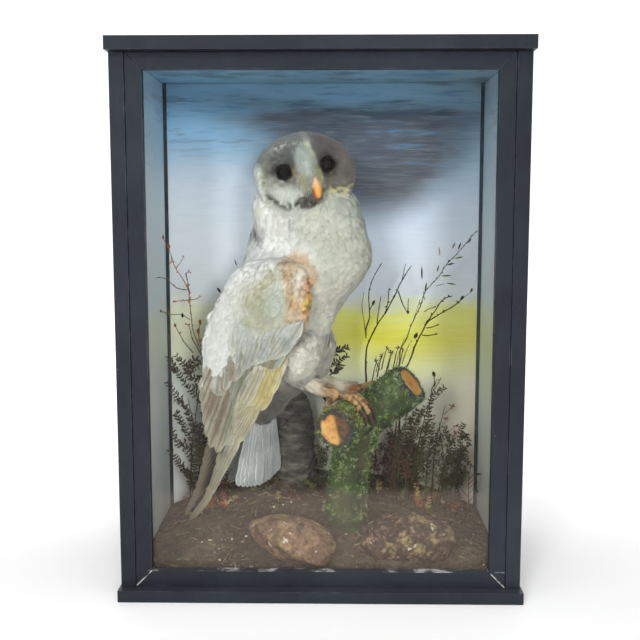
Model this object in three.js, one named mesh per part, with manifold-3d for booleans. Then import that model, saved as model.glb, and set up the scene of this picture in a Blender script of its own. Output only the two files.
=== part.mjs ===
// A Victorian cased barn owl: a glazed, ebonised wooden wall case with painted sides and back, banked
// groundwork, a mossy forked log, a bark stump, two stones and a mounted barn owl with drooped wings.
// Millimetres, +Z up, the case's front looks along -Y, the origin is the middle of the case's underside.
// HEAD: the bird stands three-quarters to its own left of the front and turns its face to the glass.
import * as THREE from "three";
import { mergeVertices } from "three/addons/utils/BufferGeometryUtils.js";
import Module from "manifold-3d";

// ---------------------------------------------------------------- driving dimensions
const CASE_W = 360, // over the side boards
  CASE_H = 495,
  CASE_D = 233, // over the top and base boards
  TOP_T = 11.5, // top board
  BASE_T = 10.5, // base board
  BOARD_OVER = 1.5, // top and base boards stand this far past the sides
  LIP = 10.5, // and this far in front of the sides
  SIDE_T = 8, // side boards
  POST_W = 13, // upright lippings on the front edges of the sides
  POST_T = 10,
  BACK_T = 7, // back board
  SASH_W = 14.5, // mitred glazing frame
  SASH_T = 7.5,
  SASH_SET = 1.5, // how far the glazing frame lies behind the lippings
  GLASS_T = 2,
  BEAD = 3.2, // dark beads in the back corners
  GAP = 0.4; // clearance between touching pieces

const SMOOTH = 0.18; // facets flatter than this are merged
const FRONT = -CASE_D / 2 + LIP, // plane of the lippings
  BACK = CASE_D / 2 - BACK_T, // inner face of the back board
  IN_X = CASE_W / 2 - SIDE_T, // inner face of a side board
  CEIL = CASE_H - TOP_T;

// ---------------------------------------------------------------- helpers
const wasm = await Module();
wasm.setup();
const V = (x, y, z) => new THREE.Vector3(x, y, z);
const smooth = (a, b, x) => THREE.MathUtils.smoothstep(x, a, b);
const bump = (d, w) => Math.exp(-(d * d) / (w * w));

// A closed geometry as a manifold-3d solid, turned outwards.
function solid(geometry) {
  const bare = new THREE.BufferGeometry().setAttribute(
    "position",
    (geometry.index ? geometry.toNonIndexed() : geometry).getAttribute("position"),
  );
  const g = mergeVertices(bare, 1e-3);
  const p = g.attributes.position.array;
  const source = g.index.array, tri = [];
  let volume = 0;
  for (let i = 0; i < source.length; i += 3) {
    const [a, b, c] = [source[i], source[i + 1], source[i + 2]];
    if (a === b || b === c || a === c) continue;
    tri.push(a, b, c);
    const A = V().fromArray(p, 3 * a), B = V().fromArray(p, 3 * b), C = V().fromArray(p, 3 * c);
    volume += A.dot(B.cross(C));
  }
  if (volume < 0)
    for (let i = 0; i < tri.length; i += 3) [tri[i], tri[i + 1]] = [tri[i + 1], tri[i]];
  return new wasm.Manifold(
    new wasm.Mesh({ numProp: 3, vertProperties: new Float32Array(p), triVerts: new Uint32Array(tri) }),
  );
}

// A manifold-3d solid back as a geometry; only its largest body is kept.
function geometryOf(manifold) {
  const bodies = manifold.simplify(SMOOTH).decompose();
  const largest = bodies.reduce((a, b) => (a.volume() > b.volume() ? a : b));
  const m = largest.getMesh(), n = m.numProp;
  const position = new Float32Array(m.numVert * 3);
  for (let i = 0; i < m.numVert; i++)
    position.set(m.vertProperties.subarray(i * n, i * n + 3), i * 3);
  const g = new THREE.BufferGeometry()
    .setAttribute("position", new THREE.BufferAttribute(position, 3))
    .setIndex(new THREE.BufferAttribute(new Uint32Array(m.triVerts), 1));
  g.computeVertexNormals();
  return g;
}

// Moves every vertex of a three.js geometry through fn(point).
function sculpt(geometry, fn) {
  const pos = geometry.getAttribute("position"), p = V();
  for (let i = 0; i < pos.count; i++) {
    p.fromBufferAttribute(pos, i);
    const q = fn(p);
    pos.setXYZ(i, q.x, q.y, q.z);
  }
  return geometry;
}

// Smooth values between rows of a table whose first column rises.
function table(rows) {
  const n = rows[0].length;
  return (t) => {
    let i = 0;
    while (i < rows.length - 2 && t > rows[i + 1][0]) i++;
    const r = (k) => rows[Math.min(Math.max(k, 0), rows.length - 1)];
    const [r0, r1, r2, r3] = [r(i - 1), r(i), r(i + 1), r(i + 2)];
    const h = r2[0] - r1[0], x = Math.min(Math.max((t - r1[0]) / h, 0), 1);
    const out = [t];
    for (let k = 1; k < n; k++) {
      const m1 = r0 === r1 ? (r2[k] - r1[k]) / h : (r2[k] - r0[k]) / (r2[0] - r0[0]);
      const m2 = r3 === r2 ? (r2[k] - r1[k]) / h : (r3[k] - r1[k]) / (r3[0] - r1[0]);
      const x2 = x * x, x3 = x2 * x;
      out.push(
        (2 * x3 - 3 * x2 + 1) * r1[k] + (x3 - 2 * x2 + x) * h * m1 +
          (-2 * x3 + 3 * x2) * r2[k] + (x3 - x2) * h * m2,
      );
    }
    return out;
  };
}

// Side and up vectors of a limb's section: as near as can be to a fixed reference.
function frameOf(curve, u, ref) {
  const t = curve.getTangent(u);
  const e1 = ref.clone().addScaledVector(t, -ref.dot(t)).normalize();
  return [e1, V().crossVectors(t, e1)];
}

// A round-ended limb along points, with radii [u, r] or [u, r1, r2] (along ref, across it).
function limb(points, radii, { ref = V(0, 0, 1), around = 10, along = 10, grow = 0 } = {}) {
  const curve = new THREE.CatmullRomCurve3(points, false, "centripetal");
  const size = table(radii), length = curve.getLength();
  return sculpt(new THREE.SphereGeometry(1, around, along), (p) => {
    const theta = Math.acos(THREE.MathUtils.clamp(p.y, -1, 1)), u = (1 - Math.cos(theta)) / 2;
    const row = size(u), r1 = row[1], r2 = row[2] ?? row[1];
    const end = Math.min(u, 1 - u) * length; // distance to the nearer end
    const cap = Math.max(r1, r2);
    const round = end < cap ? Math.sqrt(Math.max(0, 1 - (1 - end / cap) ** 2)) : 1;
    const phi = Math.atan2(p.z, p.x), [e1, e2] = frameOf(curve, u, ref);
    const q = curve.getPoint(u);
    const on = Math.hypot(p.x, p.z) < 1e-9 ? 0 : 1;
    if (!on) return q.addScaledVector(curve.getTangent(u), (u < 0.5 ? -1 : 1) * grow);
    return q
      .addScaledVector(e1, on * (r1 + grow) * round * Math.cos(phi))
      .addScaledVector(e2, on * (r2 + grow) * round * Math.sin(phi));
  });
}

// A flat-ended log along points; rough adds low ridges.
function log(points, radii, { ref = V(0, 0, 1), around = 14, along = 8, grow = 0, rough = 0, turns = 3 } = {}) {
  const curve = new THREE.CatmullRomCurve3(points, false, "centripetal"), size = table(radii);
  return sculpt(new THREE.CylinderGeometry(1, 1, 1, around, along), (p) => {
    const u = p.y + 0.5, phi = Math.atan2(p.z, p.x), rho = Math.min(1, Math.hypot(p.x, p.z));
    const [e1, e2] = frameOf(curve, u, ref), row = size(u);
    const wave = rough * (Math.sin(turns * phi + 5 * u) + 0.6 * Math.sin(5 * phi - 9 * u + 1));
    const r = (row[1] + grow + wave) * rho;
    return curve.getPoint(u)
      .addScaledVector(curve.getTangent(u), u < 1e-6 ? -grow : u > 1 - 1e-6 ? grow : 0)
      .addScaledVector(e1, r * Math.cos(phi))
      .addScaledVector(e2, r * Math.sin(phi));
  });
}

// A lens over a closed outline of [along A, along B] pairs; place(a, b) gives the middle surface's
// point and thick(a, b) half its thickness, measured along out.
function lens(outline, place, thick, out, { around = 30, rings = 8, grow = 0 } = {}) {
  const ring = new THREE.CatmullRomCurve3(outline.map(([a, b]) => V(a, b, 0)), true, "centripetal");
  const N = 400, at = Array.from({ length: N + 1 }, (_, i) => ring.getPointAt(i / N));
  const mid = at.reduce((s, q) => s.add(q), V(0, 0, 0)).divideScalar(at.length);
  return sculpt(new THREE.SphereGeometry(1, around, rings), (p) => {
    const rho = Math.min(1, Math.hypot(p.x, p.z));
    const turn = (Math.atan2(p.z, p.x) / (2 * Math.PI) + 1) % 1;
    const edge = at[Math.round(turn * N) % N];
    const spread = edge.clone().sub(mid);
    spread.setLength(spread.length() + grow);
    const a = mid.x + rho * spread.x, b = mid.y + rho * spread.y;
    return place(a, b).addScaledVector(out, p.y * (thick(a, b) + grow));
  });
}

const group = new THREE.Group();
const materials = {};
function finish(name, color, roughness, metalness = 0) {
  materials[name] = new THREE.MeshStandardMaterial({ color, roughness, metalness });
}
finish("black_paint", 0x23252c, 0.45);
finish("sky_paint", 0xa9b7c6, 0.8);
finish("glass", 0xdfe8ea, 0.05);
finish("dark_bead", 0x1d2a33, 0.6);
finish("earth", 0x5b5148, 0.95);
finish("moss_bark", 0x4a5d3a, 0.95);
finish("dark_bark", 0x3c3632, 0.95);
finish("stone", 0x6f5a48, 0.9);
finish("plumage", 0xdad9d2, 0.9);
finish("flight_feather", 0xcfcbb8, 0.85);
finish("leg_skin", 0xb49a72, 0.7);
finish("claw", 0x3a2c24, 0.35);
finish("beak", 0xd8883c, 0.4);
finish("eye_glass", 0x0c0806, 0.05);

function add(name, shape, slot) {
  const g = shape instanceof THREE.BufferGeometry ? shape : geometryOf(shape);
  const mesh = new THREE.Mesh(g, materials[slot]);
  mesh.name = name;
  mesh.userData.slot = slot;
  group.add(mesh);
  return mesh;
}
const block = (x0, x1, y0, y1, z0, z1) =>
  new THREE.BoxGeometry(x1 - x0, y1 - y0, z1 - z0).translate((x0 + x1) / 2, (y0 + y1) / 2, (z0 + z1) / 2);

// ---------------------------------------------------------------- the case
const HALF = CASE_W / 2;
add("case_base_board", block(-HALF - BOARD_OVER, HALF + BOARD_OVER, -CASE_D / 2, CASE_D / 2, 0, BASE_T), "black_paint");
add("case_top_board", block(-HALF - BOARD_OVER, HALF + BOARD_OVER, -CASE_D / 2, CASE_D / 2, CEIL, CASE_H), "black_paint");
const Z0 = BASE_T + GAP, Z1 = CEIL - GAP;
for (const [side, s] of [["left", -1], ["right", 1]]) {
  const x = (a, b) => (s < 0 ? [-b, -a] : [a, b]);
  add("case_side_" + side, block(...x(IN_X, HALF), FRONT + POST_T + GAP, BACK - GAP, Z0, Z1), "sky_paint");
  add("case_post_" + side, block(...x(HALF - POST_W, HALF), FRONT, FRONT + POST_T, Z0, Z1), "black_paint");
  // quarter-round bead in the back corner
  const section = new THREE.Shape();
  section.moveTo(0, 0);
  section.lineTo(BEAD, 0);
  section.absarc(0, 0, BEAD, 0, Math.PI / 2, false);
  section.lineTo(0, 0);
  const bead = new THREE.ExtrudeGeometry(section, { depth: Z1 - Z0, bevelEnabled: false, curveSegments: 5 });
  bead.rotateZ(s < 0 ? -Math.PI / 2 : Math.PI);
  bead.translate(s * (IN_X - GAP), BACK - GAP, Z0);
  add("corner_bead_" + side, bead, "dark_bead");
}
add("case_back_board", block(-HALF, HALF, BACK, CASE_D / 2, Z0, Z1), "sky_paint");

// Glazing frame: four mitred rails between the lippings, each a trapezium in the XZ plane.
const SASH_X = HALF - POST_W - GAP, SASH_Z0 = Z0, SASH_Z1 = Z1, M = GAP * 0.55;
function rail(name, corners) {
  const shape = new THREE.Shape(corners.map(([x, z]) => new THREE.Vector2(x, z)));
  const g = new THREE.ExtrudeGeometry(shape, { depth: SASH_T, bevelEnabled: false });
  g.rotateX(Math.PI / 2); // the shape's second axis becomes Z, the depth runs along -Y
  g.translate(0, FRONT + SASH_SET + SASH_T, 0);
  add(name, g, "black_paint");
}
const [a, b, c, d] = [-SASH_X, SASH_X, SASH_Z0, SASH_Z1], w = SASH_W;
rail("sash_rail_bottom", [[a + M, c], [b - M, c], [b - w - M, c + w], [a + w + M, c + w]]);
rail("sash_rail_top", [[a + w + M, d - w], [b - w - M, d - w], [b - M, d], [a + M, d]]);
rail("sash_stile_left", [[a, c + M], [a + w, c + w + M], [a + w, d - w - M], [a, d - M]]);
rail("sash_stile_right", [[b, c + M], [b, d - M], [b - w, d - w - M], [b - w, c + w + M]]);
const PANE = FRONT + SASH_SET + SASH_T + GAP;
add("front_glass", block(-SASH_X + 5, SASH_X - 5, PANE, PANE + GLASS_T, SASH_Z0 + 5, SASH_Z1 - 5), "glass");

// ---------------------------------------------------------------- groundwork
const GROUND_Y0 = PANE + GLASS_T + 1.2, GROUND_Y1 = BACK - 0.6, GROUND_X = IN_X - 0.6;
// The bank: low at the glass and the sides, high at the middle of the back, with soft lumps.
function groundHeight(x, y) {
  const ramp = smooth(-100, 95, y), side = 1 - (Math.abs(x) / 176) ** 2;
  return (
    16.5 + 45 * ramp * side +
    2.2 * Math.sin(x / 19 + 1.3) * Math.cos(y / 23) * side +
    1.4 * Math.sin(x / 8.5 - y / 13) * side +
    9 * bump(Math.hypot(x - 24, y + 2), 34)
  );
}
function ground(raise = 0) {
  const nx = 16, ny = 9;
  const g = new THREE.BoxGeometry(1, 1, 1, nx, ny, 1);
  return sculpt(g, (p) => {
    const x = p.x * 2 * GROUND_X, y = GROUND_Y0 + (p.y + 0.5) * (GROUND_Y1 - GROUND_Y0);
    return V(x, y, p.z > 0 ? groundHeight(x, y) + raise : BASE_T + GAP - (raise ? 5 : 0));
  });
}
// notched round the corner beads
const notch = (s) => {
  const x = [s * (IN_X - BEAD - 1), s * (IN_X + 2)].sort((p, q) => p - q);
  return solid(block(...x, BACK - BEAD - 1, BACK + 2, 0, 200));
};
add("groundwork", solid(ground()).subtract(notch(-1)).subtract(notch(1)), "earth");
const earth = solid(ground(GAP));
// what lies in the ground is cut by it
const settled = (g) => solid(g).subtract(earth);

function stone(centre, half, turn, seed) {
  const e = new THREE.Euler(...turn);
  return sculpt(new THREE.SphereGeometry(1, 13, 9), (p) => {
    const n = 0.07 * Math.sin(4 * p.x + seed) * Math.cos(3 * p.y - seed) + 0.05 * Math.sin(6 * p.z + 5 * p.x + seed);
    return V(p.x * half[0], p.y * half[1], p.z * half[2]).multiplyScalar(1 + n).applyEuler(e).add(centre);
  });
}
add("stone_front", settled(stone(V(-25, -60, 40), [45, 26, 20], [0.05, 0.2, -0.38], 0.6)), "stone");
add("stone_right", settled(stone(V(86, -44, 36), [45, 30, 28], [0, 0.08, 0.15], 2.4)), "stone");

// ---------------------------------------------------------------- forked mossy log
const LOG_R = 20.5;
const forkPieces = (grow) => [
  log([V(13, -66, 147), V(27, -40, 148), V(42, -11, 149), V(58, 20, 149), V(64, 31, 149)],
    [[0, LOG_R], [0.6, LOG_R], [1, 18]], { rough: 0.5, along: 7, grow }), // limb under the feet, its sawn end in front
  log([V(39, -12, 142), V(60, -19, 162), V(86, -30, 185)],
    [[0, 20], [0.5, 21.5], [1, 21]], { rough: 0.6, along: 5, grow }), // arm to the right
  log([V(24, -2, 20), V(24, -3, 60), V(27, -7, 95), V(33, -11, 122), V(40, -13, 146)],
    [[0, 29], [0.18, 22.5], [0.5, 20.5], [1, 20]], { ref: V(0, -1, 0), rough: 0.9, along: 8, grow }), // stem
];
const join = (list) => list.map(solid).reduce((x, y) => x.add(y));
const fork = join(forkPieces(0)).subtract(earth);
add("mossy_log", fork, "moss_bark");
const forkGrown = join(forkPieces(GAP));

add("bark_stump", settled(
  log([V(-31, 83, 40), V(-31, 83, 100), V(-34, 82, 138), V(-36, 82, 152)],
    [[0, 24], [0.5, 22.5], [0.85, 21], [1, 16]], { ref: V(0, -1, 0), rough: 0.8, along: 9 }),
), "dark_bark");

// ---------------------------------------------------------------- the owl
// FWD is where the breast faces, RGT the bird's own right, both level.
const HEADING = (58 * Math.PI) / 180; // from the glass towards +X
const FWD = V(Math.sin(HEADING), -Math.cos(HEADING), 0), RGT = V(-Math.cos(HEADING), -Math.sin(HEADING), 0);

// Trunk and neck: level elliptical sections. height, centre x, centre y, half depth, half width
const TRUNK = table([
  [124, -64, 29, 0.5, 0.5],
  [133, -63, 28, 17, 21],
  [155, -58, 25, 32, 33],
  [180, -50, 19, 43, 40],
  [210, -45, 14, 50, 45],
  [245, -37, 9, 54, 48],
  [262, -32, 6, 58, 50],
  [280, -23, 3, 64, 52],
  [305, -14, 2, 65, 55],
  [330, -13, 5, 60, 48],
  [348, -14, 8, 57, 42],
  [364, -16, 5, 49, 36],
  [380, -16, -2, 0.5, 0.5],
]);
const TRUNK_LOW = 124, TRUNK_HIGH = 380;
function trunkShape(grow = 0) {
  return sculpt(new THREE.SphereGeometry(1, 22, 17), (p) => {
    const t = Math.acos(THREE.MathUtils.clamp(-p.y, -1, 1)) / Math.PI; // 0 low, 1 high
    const z = TRUNK_LOW + (TRUNK_HIGH - TRUNK_LOW) * (0.5 - 0.5 * Math.cos(Math.PI * t)) * 0.35 +
      (TRUNK_HIGH - TRUNK_LOW) * t * 0.65;
    const [, x, y, depth, width] = TRUNK(z);
    const rho = Math.hypot(p.x, p.z) < 1e-9 ? 0 : 1, phi = Math.atan2(p.z, p.x);
    const c = Math.cos(phi), s = Math.sin(phi);
    const breast = 1 + 0.04 * bump(z - 300, 22) * Math.max(0, c) ** 2; // fuller breast
    return V(x, y, z)
      .addScaledVector(FWD, rho * (depth * breast + grow) * c)
      .addScaledVector(RGT, rho * (width + grow) * s);
  });
}

// Head: its own level turned by yaw, pitch and roll. HX is across the face (viewer's right), HF out of it.
const HEAD_AT = V(-17, -20, 382);
const HF = V(0.24, -0.955, -0.15).normalize();
const headUp = V(0, 0, 1).addScaledVector(HF, -HF.z).normalize();
const headX = V().crossVectors(headUp, HF);
const ROLL = (11 * Math.PI) / 180;
const HU = headUp.clone().multiplyScalar(Math.cos(ROLL)).addScaledVector(headX, -Math.sin(ROLL));
const HX = V().crossVectors(HU, HF);
const inHead = (x, f, u) =>
  HEAD_AT.clone().addScaledVector(HX, x).addScaledVector(HF, f).addScaledVector(HU, u);
const HEAD_W = 49, HEAD_FRONT = 37, HEAD_REAR = 46, HEAD_UP = 41, HEAD_DOWN = 40;
const EYE_R = 7.6, EYE_X = 20.5, EYE_F = 13.5, EYE_U = 8.5;
const DISC_W = 45, DISC_UP = 37, DISC_DOWN = 37; // the facial disc's rim
// How far the face stands out at (x, u): a heart of two dishes, a keel down to the bill, a raised rim.
function faceHeight(x, u) {
  const ax = Math.abs(x);
  const rho = Math.hypot(x / DISC_W, (u + 1) / (u > -1 ? DISC_UP - 5 * bump(x, 13) : DISC_DOWN));
  const keel = 9 * bump(x, 7 + 3 * smooth(0, 30, u)) * (1 - smooth(14, 40, u)) * smooth(-26, -6, u);
  const brow = 5.5 * bump(ax - 10, 9) * bump(u - 20, 11);
  const dish = 8 * bump(Math.hypot(ax - EYE_X - 1, (u - EYE_U) * 0.9), 15);
  const rim = 4.2 * bump(rho - 0.98, 0.11);
  return 25.5 - 10.5 * rho * rho + keel + brow - dish + rim;
}
function headShape() {
  return sculpt(new THREE.SphereGeometry(1, 28, 20), (p) => {
    // p.y is the face's direction, so that the rings lie round the face
    const x = -p.x * HEAD_W, u = p.z * (p.z > 0 ? HEAD_UP : HEAD_DOWN), f = p.y * (p.y > 0 ? HEAD_FRONT : HEAD_REAR);
    const inDisc = Math.hypot(x / DISC_W, (u + 1) / (u > -1 ? DISC_UP : DISC_DOWN));
    const front = p.y > 0 ? 1 - smooth(0.98, 1.1, inDisc) : 0;
    return inHead(x, THREE.MathUtils.lerp(f, faceHeight(x, u), front), u);
  });
}
const slab = (z0, z1) => solid(block(-300, 300, -300, 300, z0, z1));
const NECK_TOP = 351, NECK_LOW = 318;
const ball = (at, r) => new THREE.SphereGeometry(r, 12, 7).translate(at.x, at.y, at.z);
const eyes = { right: inHead(-EYE_X, EYE_F, EYE_U), left: inHead(EYE_X, EYE_F, EYE_U) };

// Bill: from under the keel, hooked downwards.
const billPath = [inHead(2, 30, 3), inHead(2, 36, -3), inHead(2, 38.5, -11), inHead(2, 35, -21)];
const bill = (grow = 0) =>
  limb(billPath, [[0, 4.5, 4.6], [0.35, 4.8, 4.4], [0.7, 3.4, 3.0], [1, 0.9, 0.9]], { ref: HX, around: 10, along: 12, grow });

// Wings: the right wing hangs in a plane through FWD and up, its wrist in front; the left is behind the
// body and its tip crosses the back. A wing's own coordinates are a (forward from the wrist) and z.
const WRIST = V(-14.5, -61, 286);
const WING_HEADING = (66 * Math.PI) / 180; // it stands off a little from the body behind
const WF = V(Math.sin(WING_HEADING), -Math.cos(WING_HEADING), 0), WR = V(-Math.cos(WING_HEADING), -Math.sin(WING_HEADING), 0);
const WING_OUTLINE = [
  [9, 284], [10, 264], [4, 242], [-8, 224], [-31, 206], [-52, 178], [-72, 148], [-88, 126], [-101, 112],
  [-113, 128], [-117, 160], [-118, 195], [-117, 228], [-106, 254], [-90, 278], [-74, 298], [-48, 310],
  [-18, 308], [2, 299],
];
// lateral offset of the wing's middle surface: it wraps the back
const wrap = (a) => -0.0018 * Math.max(0, -Math.max(a, -118) - 40) ** 2;
const wingAt = (a, z) =>
  V(WRIST.x, WRIST.y, z).addScaledVector(WF, a).addScaledVector(WR, wrap(a) + 2.5 * bump(a + 45, 50) * smooth(150, 250, z));
const wingThick = (a, z) =>
  1.6 + 10 * bump(a + 20, 60) * smooth(120, 250, z) + 3.5 * bump(Math.hypot(a + 4, (z - 285) * 0.5), 22);
const wingR = (grow = 0) => lens(WING_OUTLINE, wingAt, wingThick, WR, { around: 34, rings: 9, grow });
// Primaries: a long tapering blade under the secondaries.
const PRIMARY_OUTLINE = [
  [-22, 212], [-34, 187], [-44, 163], [-53, 147], [-75, 115], [-98, 82], [-118, 54], [-138, 29], [-141, 30],
  [-130, 48], [-118, 65], [-113, 82], [-102, 108], [-88, 131], [-70, 160], [-52, 186], [-34, 212],
];
const primaryDrop = 4.5; // these lie behind the secondaries, nearer the tail
const primaryAt = (a, z) =>
  V(WRIST.x, WRIST.y, z).addScaledVector(WF, a).addScaledVector(WR, wrap(a) - primaryDrop - 0.01 * (210 - z));
const primaryThick = (a, z) => 1.2 + 4.6 * smooth(60, 200, z);
const primariesR = (grow = 0) => lens(PRIMARY_OUTLINE, primaryAt, primaryThick, WR, { around: 30, rings: 7, grow });

// Left wing: the same outline laid along a curved surface behind the body.
const leftPath = new THREE.CatmullRomCurve3([V(27, 33, 0), V(8, 50, 0), V(-24, 62, 0), V(-60, 62, 0), V(-96, 52, 0), V(-128, 36, 0), V(-152, 20, 0)]);
const leftAt = (a, z) => {
  const u = THREE.MathUtils.clamp((12 - a) / 199, 0, 1), q = leftPath.getPointAt(u);
  return V(q.x, q.y, z);
};
const LEFT_OUTLINE = [
  [6, 284], [-4, 258], [-18, 226], [-36, 196], [-74, 158], [-116, 118], [-130, 140], [-124, 190],
  [-106, 240], [-78, 280], [-46, 300], [-12, 300],
];
const leftThick = (a, z) => 1.6 + 6 * bump(a + 20, 45) * smooth(130, 230, z);
const BACKWARD = V(0.12, 0.99, 0).normalize();
const wingL = (grow = 0) => lens(LEFT_OUTLINE, leftAt, leftThick, BACKWARD, { around: 28, rings: 8, grow });
const LEFT_PRIMARIES = [
  [-60, 174], [-86, 136], [-116, 98], [-146, 66], [-172, 33], [-178, 33], [-174, 50], [-158, 86],
  [-140, 120], [-114, 150], [-84, 176],
];
const leftPrimaryAt = (a, z) => leftAt(a, z).addScaledVector(BACKWARD, -4.5);
const primariesL = (grow = 0) =>
  lens(LEFT_PRIMARIES, leftPrimaryAt, (p, z) => 1.1 + 3 * smooth(70, 180, z), BACKWARD, { around: 26, rings: 6, grow });

// Tail: a fan of twelve feathers hung from the rump, spread across RGT.
const TAIL_AT = V(-60, 27, 0);
const TAIL_OUTLINE = [
  [-13, 150], [-22, 120], [-33, 92], [-40, 74], [-28, 67], [0, 64], [28, 68], [40, 76], [34, 94],
  [23, 120], [13, 150], [0, 156],
];
const tailAt = (s, z) =>
  V(TAIL_AT.x, TAIL_AT.y, z).addScaledVector(RGT, s).addScaledVector(FWD, -0.06 * (150 - z) - 0.0016 * s * s);
const tailThick = (s, z) => 1.3 + 5.5 * smooth(90, 150, z);
const tail = (grow = 0) => lens(TAIL_OUTLINE, tailAt, tailThick, FWD, { around: 26, rings: 7, grow });

// Legs: feathered thigh, bristled shank, foot of four toes with claws round the log.
const legs = {
  right: {
    thigh: [V(-30, -24, 232), V(-24, -27, 206), V(-20, -24, 184)],
    shank: [V(-24, -23, 188), V(-4, -28, 180), V(17, -38, 175.5)],
    grip: 27,
    // toe, spread at the root, spread at the tip, angles round the log from root to tip
    toes: [["inner", -3, -12, 108, 42], ["middle", 0, -1, 108, 24], ["outer", 3, 7, 108, 46], ["hind", 0, -4, 104, 158]],
  },
  left: {
    thigh: [V(-14, 17, 226), V(-10, 19, 202), V(-6, 19, 182)],
    shank: [V(-10, 19, 183), V(16, 17, 172), V(43, 14, 172)],
    grip: 86,
    toes: [["inner", -3, -3, 108, 58], ["middle", 0, 4, 108, 40], ["outer", 3, 11, 108, 52], ["hind", 0, 3, 104, 158]],
  },
};
const thigh = (side, grow = 0) =>
  limb(legs[side].thigh, [[0, 26, 25], [0.45, 24, 23], [0.8, 15, 15], [1, 9, 9]], { ref: FWD, around: 14, along: 10, grow });
const shank = (side, grow = 0) =>
  limb(legs[side].shank, [[0, 7.5, 7.5], [0.5, 5.6, 5.6], [1, 4.4, 4.4]], { around: 10, along: 9, grow });
// The log's axis under the feet, and the level direction across it.
const LOG_END = V(13, -66, 147.4), LOG_AXIS = V(0.468, 0.883, 0.02).normalize(), ACROSS = V(0.883, -0.468, 0).normalize();
const round = (grip, spread, degrees, radius) => {
  const a = (degrees * Math.PI) / 180;
  return LOG_END.clone().addScaledVector(LOG_AXIS, grip + spread)
    .addScaledVector(ACROSS, radius * Math.cos(a)).addScaledVector(V(0, 0, 1), radius * Math.sin(a));
};
function toe(side, [, s0, s1, from, to], grow = 0) {
  const { grip } = legs[side], pts = [];
  for (let i = 0; i <= 5; i++) {
    const t = i / 5, angle = from + (to - from) * t;
    pts.push(round(grip, s0 + (s1 - s0) * t, angle, LOG_R + 5.2 - 0.9 * t + 1.2 * Math.sin(Math.PI * t)));
  }
  return limb(pts, [[0, 4.3, 4.3], [0.5, 3.6, 3.6], [1, 2.9, 2.9]], { ref: LOG_AXIS, around: 6, along: 7, grow });
}
function claw(side, [, s0, s1, from, to], grow = 0) {
  const { grip } = legs[side], pts = [];
  const end = to, step = Math.sign(to - from);
  for (let i = 0; i <= 4; i++) {
    const t = i / 4;
    pts.push(round(grip, s1 + 0.06 * (s1 - s0) * t, end + step * (4 + 36 * t), LOG_R + 4.8 + 2.2 * Math.sin(Math.PI * t * 0.8) - 2.6 * t * t));
  }
  return limb(pts, [[0, 2.2, 2.4], [0.4, 1.8, 1.9], [0.8, 0.9, 1], [1, 0.5, 0.5]], { ref: LOG_AXIS, around: 6, along: 6, grow });
}

// -------- assemble the bird: whole body first, then thin cuts between the named parts
const wingRs = solid(wingR()), wingRg = solid(wingR(GAP)), primRg = solid(primariesR(GAP));
const wingLs = solid(wingL()), wingLg = solid(wingL(GAP)), primLg = solid(primariesL(GAP));
const tailG = solid(tail(GAP)), billG = solid(bill(GAP));
let whole = solid(trunkShape()).add(solid(headShape()));
for (const e of Object.values(eyes)) whole = whole.subtract(solid(ball(e, EYE_R + GAP)));
whole = whole.subtract(billG).subtract(wingRg).subtract(wingLg).subtract(primRg).subtract(primLg);
add("owl_head", whole.intersect(slab(NECK_TOP, 600)), "plumage");
add("owl_neck", whole.intersect(slab(NECK_LOW, NECK_TOP - GAP)), "plumage");
const trunk = whole.intersect(slab(0, NECK_LOW - GAP)).subtract(tailG);
add("owl_trunk", trunk, "plumage");
const trunkGrown = solid(trunkShape(GAP));
for (const side of ["right", "left"]) {
  const eye = eyes[side];
  add("owl_eye_" + side, ball(eye, EYE_R), "eye_glass");
}
add("owl_bill", solid(bill()).subtract(solid(ball(eyes.left, EYE_R + GAP))), "beak");
add("owl_wing_right", wingRs, "plumage");
add("owl_primaries_right", solid(primariesR()).subtract(wingRg), "flight_feather");
add("owl_wing_left", wingLs.subtract(wingRg), "plumage");
add("owl_primaries_left", solid(primariesL()).subtract(wingLg).subtract(wingRg).subtract(primRg), "flight_feather");
add("owl_tail", solid(tail()).subtract(primRg).subtract(primLg).subtract(wingLg).subtract(wingRg), "flight_feather");
for (const side of ["right", "left"]) {
  const thighSolid = solid(thigh(side)).subtract(trunkGrown).subtract(wingRg).subtract(primRg).subtract(wingLg).subtract(primLg);
  add("owl_thigh_" + side, thighSolid, "plumage");
  const thighG = solid(thigh(side, 1.6 * GAP));
  let foot = legs[side].toes.map((t) => solid(toe(side, t))).reduce((x, y) => x.add(y)).subtract(forkGrown);
  for (const t of legs[side].toes) foot = foot.subtract(solid(claw(side, t, GAP)));
  const shankG = solid(shank(side, GAP));
  add("owl_shank_" + side, solid(shank(side)).subtract(thighG).subtract(trunkGrown).subtract(forkGrown), "leg_skin");
  foot = foot.subtract(shankG);
  add("owl_foot_" + side, foot, "leg_skin");
  for (const t of legs[side].toes)
    add(`owl_claw_${side}_${t[0]}`, solid(claw(side, t)).subtract(forkGrown), "claw");
}

export default group;
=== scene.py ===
# A cased barn owl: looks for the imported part. Lengths in this script are millimetres in the row's frame;
# mesh_object() turns them into metres.
import math
import time

import bpy
import numpy as np
from mathutils import Matrix, Vector
from mathutils.bvhtree import BVHTree


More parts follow.
